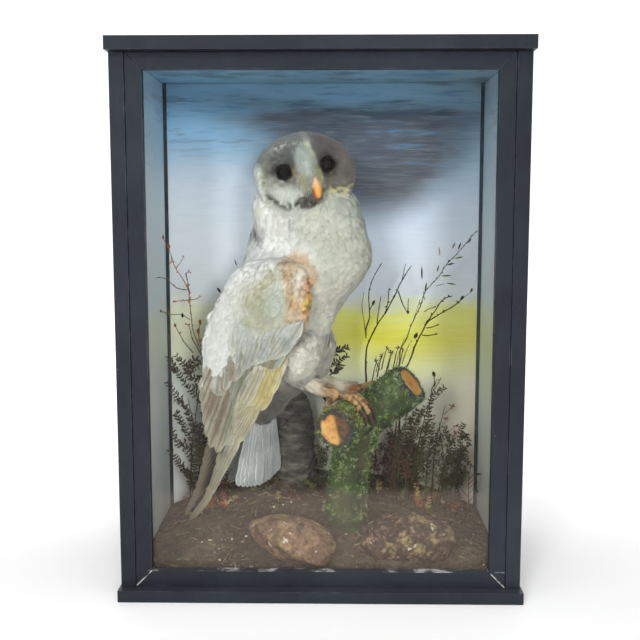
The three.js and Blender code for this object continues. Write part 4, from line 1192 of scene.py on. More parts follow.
bud(seen(163, 237, 47), 2.2, RED); bud(seen(169, 246, 47), 2.8, srgb(158, 78, 46)[:3], (0.3, 0, -1)); bud(seen(174.5, 301.6, 47), 2.2, srgb(196, 110, 80)[:3], (-1, 0, 0))
for pts in ([(193, 353), (182.5, 339.5), (175.6, 326)], [(202, 357), (196, 345), (192, 338), (189, 325), (184.8, 324.6)], [(202, 350), (199, 338), (200, 322)]):
    C = stem(pts, 50, r=(0.6, 0.3), color=OLIVE)
    beads_on(C, 0.5, 6, 1.1, [DARK_STEM, RED][len(pts) % 2], 1.0)
for u, v, s, c in ((160.7, 311, 2.0, OLIVE), (170, 315, 2.0, STRAW), (182.5, 315.4, 2.8, DARK_STEM), (175, 325, 2.6, RED), (200, 322, 3.4, RED), (198, 331, 3.0, srgb(150, 84, 50)[:3]), (201, 340, 2.6, srgb(176, 104, 56)[:3])):
    bud(seen(u, v, 48), s, c)
stem([(160.7, 311), (170, 314), (182.5, 315.4), (190, 320)], 48, r=(0.35, 0.3), color=OLIVE)
for u, v in ((234, 263), (218, 290)):
    leaf(seen(u + 3, v + 3, 50), vec(-0.5, 0, 0.8), 7, 2.6, srgb(46, 46, 40)[:3])
DFERN = srgb(70, 62, 46)[:3]
for pts, y, root in (([(176, 372), (172, 362), (167.6, 355.6)], 44, None), ([(191, 374), (186, 366), (181, 361), (177, 356)], 44, None),
                     ([(188, 368), (193, 361), (197, 358), (199, 364), (191, 370), (186, 370)], 44, None),
                     ([(202, 398), (197.5, 397), (190.6, 391), (178, 374), (173, 364)], 46, (-112, 60)),
                     ([(204, 384), (198, 386), (192, 388)], 45, None), ([(204, 377), (198, 379), (191, 377), (184, 372)], 45, None),
                     ([(202, 440), (202, 435), (193, 423.6), (182.9, 403), (166.8, 383)], 50, (-110, 58)),
                     ([(200, 444), (191, 447.7), (178.3, 444), (171.4, 428)], 40, (-116, 44)), ([(186, 470), (183, 467), (169, 449)], 36, (-124, 40)),
                     ([(196, 445), (188, 434), (180, 420), (175, 412)], 38, (-112, 46)), ([(199, 450), (200, 436), (198, 424)], 40, (-108, 46))):
    C = stem(pts, y, root=root, r=(0.7, 0.3))
    leafy(C, 0.35 if root else 0.0, 2.3, 5.0, 1.8, DFERN, 60, taper=0.3, curl=0.3)
for u, v, s in ((176, 399.5, 2.2), (177, 414, 3.0), (185, 430.5, 3.2), (200, 426, 2.6), (198, 442, 2.6), (193, 432, 2.2), (180, 420, 2.4)):
    for k in range(5):
        leaf(seen(u, v, 42), unit(rng.normal(size=3)), s * 1.7, s * 0.8, DFERN, curl=0.3)
# sparse low growth beyond the wing tips and along the back
for k in range(130):
    x = rng.choice([rng.uniform(-150, -96), rng.uniform(96, 158), rng.uniform(-90, 90)], p=[0.45, 0.3, 0.25])
    y = rng.uniform(24, 96)
    h = rng.uniform(7, 26) * (1 if abs(x) > 90 else 0.7)
    z0 = on_ground(x, y)
    P = [vec(x, y, z0 - 1), vec(x + rng.normal() * 2, y, z0 + h * 0.55), vec(x + rng.normal() * 6, y - 2, z0 + h)]
    C, _ = curve(P, 7)
    V, F = tube(C, np.linspace(0.45, 0.18, 7), 4)
    c = [UMBER, OLIVE, STRAW, DARK_STEM, RED][k % 5]
    DRY.add(V, F, c)
    if k % 2:
        leafy(C, 0.3, 2.4, 3.8, 1.3, c, 50)


def sprig(x, y, h, lean, kind, color, tip):
    """A branching dried stem with leaflets or seed heads."""
    if x < -100 and rng.random() < 0.45:
        return
    z0 = on_ground(x, y)
    top_ = vec(np.clip(x + lean * h, -163, 163), y + rng.normal() * 3, z0 + h)
    C, L = curve([vec(x, y, z0 - 1), vec(x + lean * 0.3 * h, y + rng.normal() * 3, z0 + 0.5 * h), top_], 18)
    C = C + 0.7 * np.stack([vnoise(C / 7 + 5 * k, k + 50) for k in range(3)], -1) * np.linspace(0, 1, 18)[:, None]
    V, F = tube(C, np.linspace(0.75, 0.3, 18) * (0.8 + 0.003 * h), 5)
    DRY.add(V, F, color)
    for t in np.arange(0.32, 0.97, rng.uniform(0.09, 0.15)):
        i = int(t * 17)
        sg = rng.choice([-1, 1])
        l = (0.12 + 0.24 * (1 - t)) * h * rng.uniform(0.6, 1.2) + 4
        d = unit(vec(sg * rng.uniform(0.5, 1.0), rng.normal() * 0.25, rng.uniform(0.5, 1.1)))
        e = C[i] + d * l
        e[0] = np.clip(e[0], -165, 165)
        B_, _ = curve([C[i], C[i] + d * l * 0.5 + vec(0, 0, -0.06 * l), e], 9)
        V, F = tube(B_, np.linspace(0.42, 0.2, 9), 4)
        DRY.add(V, F, color)
        if kind == "leaf":
            leafy(B_, 0.15, 2.0, 4.0, 1.3, tip, 52, taper=0.4, curl=0.3)
        elif kind == "bead":
            beads_on(B_, 0.4, 3.4, 0.9, tip, 1.1)
        else:
            for _ in range(5):
                leaf(B_[-1], unit(rng.normal(size=3) + d), rng.uniform(3, 5.5), 1.8, np.array(tip) * rng.uniform(0.7, 1.3), curl=0.3)
    if kind == "leaf":
        leafy(C, 0.35, 2.2, 4.4, 1.4, tip, 55, taper=0.4, curl=0.3)


BROWN, DULL, RUST = srgb(84, 62, 42)[:3], srgb(76, 74, 50)[:3], srgb(128, 78, 48)[:3]
for x, y, h, lean, kind, c, tip in (
    (-158, 70, 122, 0.05, "bead", OLIVE, RUST), (-150, 40, 66, -0.1, "leaf", DARK_STEM, DULL), (-146, 84, 146, 0.1, "bead", DARK_STEM, RED), (-140, 60, 92, 0.12, "leaf", BROWN, DFERN),
    (-134, 88, 116, -0.12, "tuft", UMBER, RUST), (-128, 50, 60, 0.15, "leaf", DARK_STEM, DFERN), (-122, 78, 84, -0.2, "leaf", DARK_STEM, DULL), (-160, 90, 84, 0.0, "leaf", UMBER, DFERN),
    (-116, 90, 66, 0.1, "tuft", BROWN, RUST), (-108, 62, 40, 0.2, "leaf", DARK_STEM, DULL),
    (56, 92, 84, 0.12, "tuft", UMBER, BROWN), (64, 70, 60, 0.3, "leaf", DARK_STEM, DULL), (74, 92, 118, 0.16, "bead", DARK_STEM, BROWN), (84, 80, 96, 0.28, "leaf", OLIVE, DULL),
    (92, 62, 58, 0.1, "leaf", UMBER, FERN), (100, 90, 128, 0.2, "bead", UMBER, DARK_STEM), (104, 56, 62, -0.2, "leaf", BROWN, FERN), (112, 78, 84, 0.1, "leaf", DARK_STEM, FERN),
    (120, 92, 102, 0.14, "tuft", BROWN, RUST), (126, 60, 64, 0.2, "leaf", UMBER, FERN), (134, 84, 92, -0.1, "bead", DARK_STEM, BROWN), (142, 66, 70, 0.1, "leaf", BROWN, FERN),
    (150, 88, 82, -0.1, "leaf", DARK_STEM, DULL), (156, 60, 48, 0.0, "tuft", UMBER, BROWN), (70, 50, 40, 0.4, "leaf", BROWN, DULL), (136, 40, 44, -0.3, "leaf", UMBER, FERN),
    (46, 94, 96, 0.05, "bead", UMBER, DARK_STEM), (-6, 94, 34, 0.2, "leaf", BROWN, DULL), (10, 90, 44, 0.1, "tuft", UMBER, BROWN),
):
    sprig(x, y, h * 0.94, lean, kind, c, tip)
piece(DRY.build("dried_plants", tint_mat("dried_plant", jitter=0.5, scale=500)), "earth")

# ------------------------------------------------------------------ grit, pebbles and litter
ICO = bpy.data.meshes.new("ico")
import bmesh
bm_ = bmesh.new()
bmesh.ops.create_icosphere(bm_, subdivisions=1, radius=1)
bm_.to_mesh(ICO)
bm_.free()
IV, IF = read_mesh(ICO)
GRIT = Heap()


def keepout(x, y):
    return (np.hypot((x + 25) / 44, (y + 60) / 25) < 1) | (np.hypot((x - 86) / 44, (y + 44) / 29) < 1) | (np.hypot(x - 24, y + 2) < 22) | (np.hypot(x + 31, y - 83) < 22)


n = 2600
x, y = rng.uniform(-G_X + 3, G_X - 3, n), rng.uniform(G_Y0 + 3, G_Y1 - 3, n)
w = vnoise(np.stack([x, y, 0 * x], -1) / 30, 5) > -0.25 + 0.2 * rng.random(n)
ok = ~keepout(x, y) & w
x, y = x[ok], y[ok]
z = ground_top(x, y)
n = len(x)
size = 0.55 + 1.5 * rng.random(n) ** 4
col = pick([(96, 84, 70), (120, 106, 88), (74, 64, 54), (150, 138, 118), (110, 92, 74), (88, 76, 62), (66, 58, 50)], n)
white = rng.random(n) < 0.035
col[white] = pick([(214, 208, 192), (230, 224, 208)], int(white.sum()))
IVn = IV[None] * (1 + 0.3 * (rng.random((n, len(IV), 1)) - 0.5)) * (size[:, None, None] * np.stack([rng.uniform(0.7, 1.3, n), rng.uniform(0.7, 1.3, n), rng.uniform(0.45, 0.9, n)], -1)[:, None])
V_ = IVn + np.stack([x, y, z + size * 0.15], -1)[:, None]
F_ = (IF[None] + (np.arange(n) * len(IV))[:, None, None]).reshape(-1, 3)
GRIT.add(V_.reshape(-1, 3), F_, np.repeat(col, len(IV), 0))
for u, v, s in ((274, 507, 1.9), (283, 505, 1.9), (291, 502, 1.6), (232, 539, 1.7), (202, 542, 1.4), (219, 549, 1.1), (245, 498, 1.3)):
    p = seen(u, v, 0)
    for y_ in np.linspace(-90, 60, 300):
        p = seen(u, v, y_)
        if p[2] < on_ground(p[0], y_) + 1:
            break
    k = IV * (1 + 0.25 * (rng.random((len(IV), 1)) - 0.5)) * s
    GRIT.add(0.72 * k + p, IF, srgb(214, 196, 184)[:3])
piece(GRIT.build("ground_grit", tint_mat("grit", rough=0.85, jitter=0.4)), "earth")

LITTER = Heap()
for k in range(420):
    x, y = rng.uniform(-G_X + 8, G_X - 8), rng.uniform(G_Y0 + 4, G_Y1 - 8)
    if keepout(np.array([x]), np.array([y]))[0] and k % 6:
        continue
    a = rng.uniform(0, 6.28)
    L = rng.uniform(4, 13)
    t = np.linspace(-0.5, 0.5, 5)
    px, py = x + np.cos(a) * L * t, y + np.sin(a) * L * t + rng.normal() * 0.8 * (t * 2) ** 2
    pz = ground_top(px, py) + 0.35
    V, F = tube(np.stack([px, py, np.maximum(pz, pz.mean() - 0.4)], -1), rng.uniform(0.2, 0.5), 4)
    LITTER.add(V, F, [UMBER, STRAW, DARK_STEM, srgb(120, 104, 80)[:3], srgb(176, 164, 130)[:3]][k % 5])
# mossy blades in clumps
n = 14000
cx, cy = rng.uniform(-158, 158, 110), rng.uniform(-84, 100, 110)
i = rng.integers(0, 110, n)
x, y = cx[i] + rng.normal(size=n) * 8, cy[i] + rng.normal(size=n) * 6
ok = (np.abs(x) < G_X - 4) & (y > G_Y0 + 4) & (y < G_Y1 - 5) & ~keepout(x, y)
x, y, i = x[ok], y[ok], i[ok]
n = len(x)
P = np.stack([x, y, ground_top(x, y) - 0.4], -1)
col = pick([(78, 74, 44), (92, 90, 56), (64, 62, 40), (110, 96, 66), (86, 72, 54), (122, 112, 78)], n, ((i % 6) / 6 + 0.12 * rng.random(n)) % 1)
V_, F_, C_ = spikes(P, unit(vec(0, 0, 1) + 0.5 * rng.normal(size=(n, 3))), rng.uniform(0.8, 3.2, n), rng.uniform(0.14, 0.26, n), col)
LITTER.add(V_, F_, C_)
piece(LITTER.build("ground_litter", tint_mat("litter", jitter=0.4)), "earth")
print("plants", round(time.time() - T0, 1))

# ------------------------------------------------------------------ the owl: shapes
FWD, RGT, UPZ = vec(0.848, -0.530, 0), vec(-0.530, -0.848, 0), vec(0, 0, 1)
TRUNK = table([
    [124, -64, 29, 0.5, 0.5], [133, -63, 28, 17, 21], [155, -58, 25, 32, 33], [180, -50, 19, 43, 40], [210, -45, 14, 50, 45],
    [245, -37, 9, 54, 48], [262, -32, 6, 58, 50], [280, -23, 3, 64, 52], [305, -14, 2, 65, 55], [330, -13, 5, 60, 48],
    [348, -14, 8, 57, 42], [364, -16, 5, 49, 36], [380, -16, -2, 0.5, 0.5],
])


def trunk_fn(grow):
    def fn(U):
        t = np.arccos(np.clip(-U[:, 1], -1, 1)) / math.pi
        z = 124 + 256 * (0.35 * (0.5 - 0.5 * np.cos(math.pi * t)) + 0.65 * t)
        c = TRUNK(z)
        phi = np.arctan2(U[:, 2], U[:, 0])
        rho = (np.hypot(U[:, 0], U[:, 2]) > 1e-9) * 1.0
        co, si = np.cos(phi), np.sin(phi)
        breast = 1 + 0.04 * bump(z - 300, 22) * np.maximum(0, co) ** 2
        d = np.maximum(0.3, c[:, 2] * breast + grow)
        w = np.maximum(0.3, c[:, 3] + grow)
        return (np.stack([c[:, 0], c[:, 1], z], -1) + (rho * d * co)[:, None] * FWD + (rho * w * si)[:, None] * RGT)

    return fn


HEAD_AT = vec(-17, -20, 382)
HF = unit(vec(0.24, -0.955, -0.15))
_hu = unit(UPZ - HF * HF[2])
_hx = np.cross(_hu, HF)
ROLL = math.radians(11)
HU = _hu * math.cos(ROLL) - _hx * math.sin(ROLL)
HX = np.cross(HU, HF)
EYE_R, EYE_X, EYE_F, EYE_U = 7.6, 20.5, 13.5, 8.5


def in_head(x, f, u):
    return HEAD_AT + np.multiply.outer(x, HX) + np.multiply.outer(f, HF) + np.multiply.outer(u, HU)


def head_xfu(P):
    d = P - HEAD_AT
    return d @ HX, d @ HF, d @ HU


def disc_rho(x, u):
    return np.hypot(x / 45, (u + 1) / np.where(u > -1, 37 - 5 * bump(x, 13), 37))


def face_height(x, u):
    ax = np.abs(x)
    rho = disc_rho(x, u)
    keel = 9 * bump(x, 7 + 3 * smooth(0, 30, u)) * (1 - smooth(14, 40, u)) * smooth(-26, -6, u)
    brow = 5.5 * bump(ax - 10, 9) * bump(u - 20, 11)
    dish = 8 * bump(np.hypot(ax - EYE_X - 1, (u - EYE_U) * 0.9), 15)
    rim = 4.2 * bump(rho - 0.98, 0.11) * (0.35 + 0.65 * smooth(-24, -4, u))
    return 25.5 - 10.5 * rho * rho + keel + brow - dish + rim


def head_fn(grow, face):
    def fn(U):
        x = -U[:, 0] * (49 + grow)
        u = U[:, 2] * np.where(U[:, 2] > 0, 41 + grow, 40 + grow)
        f = U[:, 1] * np.where(U[:, 1] > 0, 37 + grow, 46 + grow)
        rho = np.hypot(x / 45, (u + 1) / 37)
        front = np.where(U[:, 1] > 0, 1 - smooth(0.98, 1.1, rho), 0)
        return in_head(x, lerp(f, face_height(x, u) + face, front), u)

    return fn


WRIST = vec(-14.5, -61, 286)
WF, WR = vec(0.9135, -0.4067, 0), vec(-0.4067, -0.9135, 0)


def wrap(a):
    return -0.0018 * np.maximum(0, -np.maximum(a, -118) - 40) ** 2


def wing_at(a, z, off=0.0):
    lat = wrap(a) + 2.5 * bump(a + 45, 50) * smooth(150, 250, z) + off
    return vec(WRIST[0], WRIST[1], 0) + np.multiply.outer(a, WF) + np.multiply.outer(z, UPZ) + np.multiply.outer(lat, WR)


def wing_thick(a, z):
    return 1.6 + 10 * bump(a + 20, 60) * smooth(120, 250, z) + 3.5 * bump(np.hypot(a + 4, (z - 285) * 0.5), 22)


def primary_at(a, z, off=0.0):
    lat = wrap(a) - 4.5 - 0.01 * (210 - z) + off
    return vec(WRIST[0], WRIST[1], 0) + np.multiply.outer(a, WF) + np.multiply.outer(z, UPZ) + np.multiply.outer(lat, WR)


LEFT = Path([(27, 33, 0), (8, 50, 0), (-24, 62, 0), (-60, 62, 0), (-96, 52, 0), (-128, 36, 0), (-152, 20, 0)])
BACKWARD = unit(vec(0.12, 0.99, 0))


def left_at(a, z, off=0.0):
    u = np.clip((12 - np.asarray(a, float)) / 199, 0, 1)
    q = LEFT.at(u).reshape(np.shape(a) + (3,))
    return q + np.multiply.outer(z, UPZ) + np.multiply.outer(off + 0 * np.asarray(a, float), BACKWARD)


def left_thick(a, z):
    return 1.6 + 6 * bump(a + 20, 45) * smooth(130, 230, z)


RIGHT_OUTLINE = [
    [9, 284], [10, 264], [4, 242], [-8, 224], [-31, 206], [-52, 178], [-72, 148], [-88, 126], [-101, 112], [-113, 128], [-117, 160],
    [-118, 195], [-117, 228], [-106, 254], [-90, 278], [-74, 298], [-48, 310], [-18, 308], [2, 299],
]
LEFT_OUTLINE = [
    [6, 284], [-4, 258], [-18, 226], [-36, 196], [-74, 158], [-116, 118], [-130, 140], [-124, 190], [-106, 240], [-78, 280], [-46, 300], [-12, 300],
]


def closed_curve(pts, n=400):
    P = np.array(pts, float)
    k = len(P)
    out = []
    for i in range(k):
        p0, p1, p2, p3 = P[i - 1], P[i], P[(i + 1) % k], P[(i + 2) % k]
        t = np.linspace(0, 1, 20, endpoint=False)[:, None]
        out.append(0.5 * (2 * p1 + (p2 - p0) * t + (2 * p0 - 5 * p1 + 4 * p2 - p3) * t**2 + (-p0 + 3 * p1 - 3 * p2 + p3) * t**3))
    Q = np.concatenate(out + [out[0][:1]])
    s = np.concatenate([[0], np.cumsum(np.linalg.norm(np.diff(Q, axis=0), axis=1))])
    x = np.linspace(0, s[-1], n + 1)
    return np.stack([np.interp(x, s, Q[:, j]) for j in (0, 1)], -1)


def lens(outline, place, thick, out, grow, around=110, rings=60):
    ring = closed_curve(outline)
    mid = ring.mean(0)

    def fn(U):
        rho = np.minimum(1, np.hypot(U[:, 0], U[:, 2]))
        turn = (np.arctan2(U[:, 2], U[:, 0]) / (2 * math.pi) + 1) % 1
        e = ring[(np.rint(turn * 400).astype(int)) % 400] - mid
        r = np.linalg.norm(e, axis=1)
        e = e * ((r + grow) / r)[:, None]
        a, b = mid[0] + rho * e[:, 0], mid[1] + rho * e[:, 1]
        return place(a, b) + (U[:, 1] * thick(a, b))[:, None] * out

    return ball_mesh(fn, around, rings)


def limb(pts, radii, ref=(0, 0, 1), grow=0.0, around=40, along=40):
    path, size = Path(pts), table(radii)
    u = np.linspace(0, 1, along)
    # rounded ends
    ends = np.sqrt(np.clip(1 - np.clip(1 - np.minimum(u, 1 - u) / 0.06, 0, 1) ** 2, 0.0, 1))
    e1, e2 = path.frame(u, ref)
    r = np.maximum(size(u) + grow, 0.2) * np.maximum(ends, 0.02)[:, None]
    ph = np.arange(around) / around * 2 * math.pi
    V = path.at(u)[:, None] + r[:, None, :1] * np.cos(ph)[None, :, None] * e1[:, None] + r[:, None, 1:2] * np.sin(ph)[None, :, None] * e2[:, None]
    n = along * around
    V = np.concatenate([V.reshape(-1, 3), path.at(0.0), path.at(1.0)])
    F = grid_faces(along, around, True)
    ring = np.arange(around)
    nxt, last = (ring + 1) % around, (along - 1) * around
    T = np.concatenate([np.stack([ring * 0 + n, nxt, ring], -1), np.stack([ring * 0 + n + 1, last + ring, last + nxt], -1)])
    F = np.concatenate([F[:, [0, 1, 2]], F[:, [0, 2, 3]], T])
    if np.einsum("ij,ij->i", np.cross(V[F[:, 1]] - V[F[:, 0]], V[F[:, 2]] - V[F[:, 0]]), V[F[:, 0]] - V.mean(0)).sum() < 0:
        F = F[:, ::-1]
    return V, F


LEGS = {
    "right": dict(thigh=[(-30, -24, 232), (-24, -27, 206), (-20, -24, 184)], shank=[(-24, -23, 188), (-4, -28, 180), (17, -38, 175.5)], grip=27,
                  toes=[("inner", -3, -12, 108, 42), ("middle", 0, -1, 108, 24), ("outer", 3, 7, 108, 46), ("hind", 0, -4, 104, 158)]),
    "left": dict(thigh=[(-14, 17, 226), (-10, 19, 202), (-6, 19, 182)], shank=[(-10, 19, 183), (16, 17, 172), (43, 14, 172)], grip=86,
                 toes=[("inner", -3, -3, 108, 58), ("middle", 0, 4, 108, 40), ("outer", 3, 11, 108, 52), ("hind", 0, 3, 104, 158)]),
}
THIGH_R, SHANK_R = [[0, 26, 25], [0.45, 24, 23], [0.8, 15, 15], [1, 9, 9]], [[0, 7.5, 7.5], [0.5, 5.6, 5.6], [1, 4.4, 4.4]]
LOG_END, LOG_AXIS, ACROSS = vec(13, -66, 147.4), unit(vec(0.468, 0.883, 0.02)), unit(vec(0.883, -0.468, 0))


def round_log(grip, s, deg, radius):
    a = np.radians(deg)
    return LOG_END + np.multiply.outer(grip + s, LOG_AXIS) + np.multiply.outer(radius * np.cos(a), ACROSS) + np.multiply.outer(radius * np.sin(a), UPZ)


def toe_path(side, toe):
    _, s0, s1, a0, a1 = toe
    t = np.linspace(0, 1, 6)
    return round_log(LEGS[side]["grip"], lerp(s0, s1, t), lerp(a0, a1, t), LOG_R + 5.2 - 0.9 * t + 1.2 * np.sin(math.pi * t))


def claw_path(side, toe):
    _, s0, s1, a0, a1 = toe
    t = np.linspace(0, 1, 9)
    return round_log(LEGS[side]["grip"], s1 + 0.06 * (s1 - s0) * t, a1 + np.sign(a1 - a0) * (4 + 36 * t),
                     LOG_R + 4.8 + 2.2 * np.sin(math.pi * t * 0.8) - 2.6 * t * t)


# ------------------------------------------------------------------ the owl: one skin
def wing_skin_thick(f):
    return lambda a, z: np.maximum(0.95, f(a, z) - 2.6 * smooth(1.6, 5, f(a, z)))


def joined(*meshes):
    V, F, n = [], [], 0
    for v, f in meshes:
        V.append(v)
        F += [g + n for g in (f if isinstance(f, (list, tuple)) else [f])]
        n += len(v)
    return np.concatenate(V), np.concatenate(F)


def blob(centre, axes):
    """An ellipsoid; axes: three vectors whose lengths are its radii."""
    A = np.array(axes, float)
    return ball_mesh(lambda U: np.asarray(centre) + U @ A, 60, 40)


# the coat fills the hollow between head and neck, and lies over the root of the wing
COLLAR = blob(in_head(-2, -10, -25), [HX * 45.5, HF * 28, HU * 17])
NAPE = blob(in_head(-39.5, -8, -36), [HX * 11, HF * 22, HU * 31])
MANTLE = blob(wing_at(-30.0, 294.0).reshape(3) - WR * 14, [WF * 36, WR * 11, UPZ * 15])
PARTS = {
    "trunk": joined(ball_mesh(trunk_fn(-4.0), 120, 150), COLLAR, NAPE, MANTLE),
    "head": ball_mesh(head_fn(-3.6, -1.3), 150, 130),
    "wing_right": lens(RIGHT_OUTLINE, wing_at, wing_skin_thick(wing_thick), WR, -5.0),
    "wing_left": lens(LEFT_OUTLINE, left_at, wing_skin_thick(left_thick), BACKWARD, -5.0),
    "thigh_right": limb(LEGS["right"]["thigh"], THIGH_R, FWD, -3.4),
    "thigh_left": limb(LEGS["left"]["thigh"], THIGH_R, FWD, -3.4),
}
Vb, Fb = union(list(PARTS.values()), 1.72, 2)
# soften the creases where parts meet, but not the face or the thin edges of the wings
hx_, hf_, hu_ = head_xfu(Vb)
face = smooth(8, 16, hf_) * (1 - smooth(1.12, 1.3, disc_rho(hx_, hu_))) * (np.abs(hx_) < 60)
keep = np.maximum(face, 0.8 * (Vb[:, 2] < 210) * (np.abs((Vb - WRIST) @ WR) < 9))
Vb = relax(Vb, Fb, 9, 0.5, 1 - 0.92 * keep)
Nb = normals_of(Vb, Fb)
on_wing = (Vb[:, 2] < 300) * bump((Vb - WRIST) @ WR - wrap((Vb - WRIST) @ WF), 13)
lumps = (1.2 * fbm(Vb / 15, 6, 3) + 1.0 * fbm(Vb / 34, 9, 2)) * (1 - face) * (1 - 0.85 * np.minimum(1, 1.6 * on_wing))
tuck = 8 * smooth(188, 150, Vb[:, 2]) * (1 - np.minimum(1, 2.2 * on_wing))
Vb = Vb + Nb * (lumps - tuck)[:, None]
legs = {}
for side in ("right", "left"):
    L = LEGS[side]
    legs[side] = union([limb(L["shank"], SHANK_R, (0, 0, 1), -1.0)] + [limb(toe_path(side, t), [[0, 3.7, 3.7], [0.3, 3.0, 3.0], [0.5, 3.4, 3.4], [0.75, 2.6, 2.6], [1, 2.7, 2.7]], LOG_AXIS, 0, 24, 40) for t in L["toes"]], 0.8, 3)

LIDS = Heap()
for sx in (-1, 1):
    # a thickened rim round each eye, a little almond shaped, seated on the ball
    c = in_head(sx * EYE_X, EYE_F, EYE_U)
    out_ = unit(HF + 0.16 * sx * HX)
    e1 = unit(HX - out_ * (HX @ out_))
    e2 = np.cross(out_, e1) * -1
    if e2 @ HU < 0:
        e2 = -e2
    a = np.linspace(0, 2 * math.pi, 73)[:-1]
    r = 6.15 + 0.35 * np.abs(np.cos(a)) ** 6 - 0.3 * np.abs(np.sin(a)) ** 3
    depth = np.sqrt(np.maximum(0.1, (EYE_R + 0.25) ** 2 - r * r))
    ring = c + np.outer(depth, out_) + (r * np.cos(a))[:, None] * e1 + (r * np.sin(a))[:, None] * e2
    rows = []
    for j in range(14):
        b = j / 14 * 2 * math.pi
        rad = unit(ring - c)
        side_ = unit(np.cross(np.roll(ring, -1, 0) - np.roll(ring, 1, 0), rad))
        w = 0.62 + 0.08 * np.sin(a * 18 + j)
        flat = 1.0 + 0.2 * np.sin(a)
        rows.append(ring + (np.cos(b) * w)[:, None] * rad + (np.sin(b) * flat)[:, None] * side_ + (0.3 * flat)[:, None] * side_ * 0)
    V_ = np.stack(rows, 0).reshape(-1, 3)
    F_ = grid_faces(14, 72, True)
    F_ = np.concatenate([F_, np.stack([13 * 72 + np.arange(72), 13 * 72 + (np.arange(72) + 1) % 72, (np.arange(72) + 1) % 72, np.arange(72)], -1)])
    LIDS.add(V_, F_)
print("skin", round(time.time() - T0, 1), len(Fb) * 2, [len(f) * 2 for _, f in legs.values()])

# ------------------------------------------------------------------ the owl: which part, which colour
LABELS = list(PARTS) + ["leg_right", "leg_left"]
PART_SURF = [Surface(*v) for v in PARTS.values()] + [Surface(*legs[s]) for s in ("right", "left")]


def label_of(P):
    D = np.stack([s.distance(P) for s in PART_SURF], 1)
    D[:, 0] += 1.0  # a little in favour of what lies over the trunk
    return D.argmin(1), D


def mixc(a, b, t):
    t = np.clip(t, 0, 1)[..., None]
    return a * (1 - t) + np.asarray(b)[:3] * t


def wing_q(a, z):
    return -0.43 * a - 0.9 * (z - 290)


def in_poly(a, z, poly, soft=3.0):
    """Soft inside of a polygon, 1 inside to 0 outside."""
    P = np.array(poly, float)
    inside = np.zeros(len(a), bool)
    d = np.full(len(a), 1e9)
    for i in range(len(P)):
        p, q = P[i], P[(i + 1) % len(P)]
        cond = ((p[1] > z) != (q[1] > z)) & (a < (q[0] - p[0]) * (z - p[1]) / (q[1] - p[1] + 1e-12) + p[0])
        inside ^= cond
        e = q - p
        t = np.clip(((a - p[0]) * e[0] + (z - p[1]) * e[1]) / (e @ e), 0, 1)
        d = np.minimum(d, np.hypot(a - p[0] - t * e[0], z - p[1] - t * e[1]))
    return smooth(-soft, soft, np.where(inside, d, -d))


WHITE, CREAM, COLD = srgb(240, 240, 236), srgb(226, 221, 200), srgb(200, 206, 204)


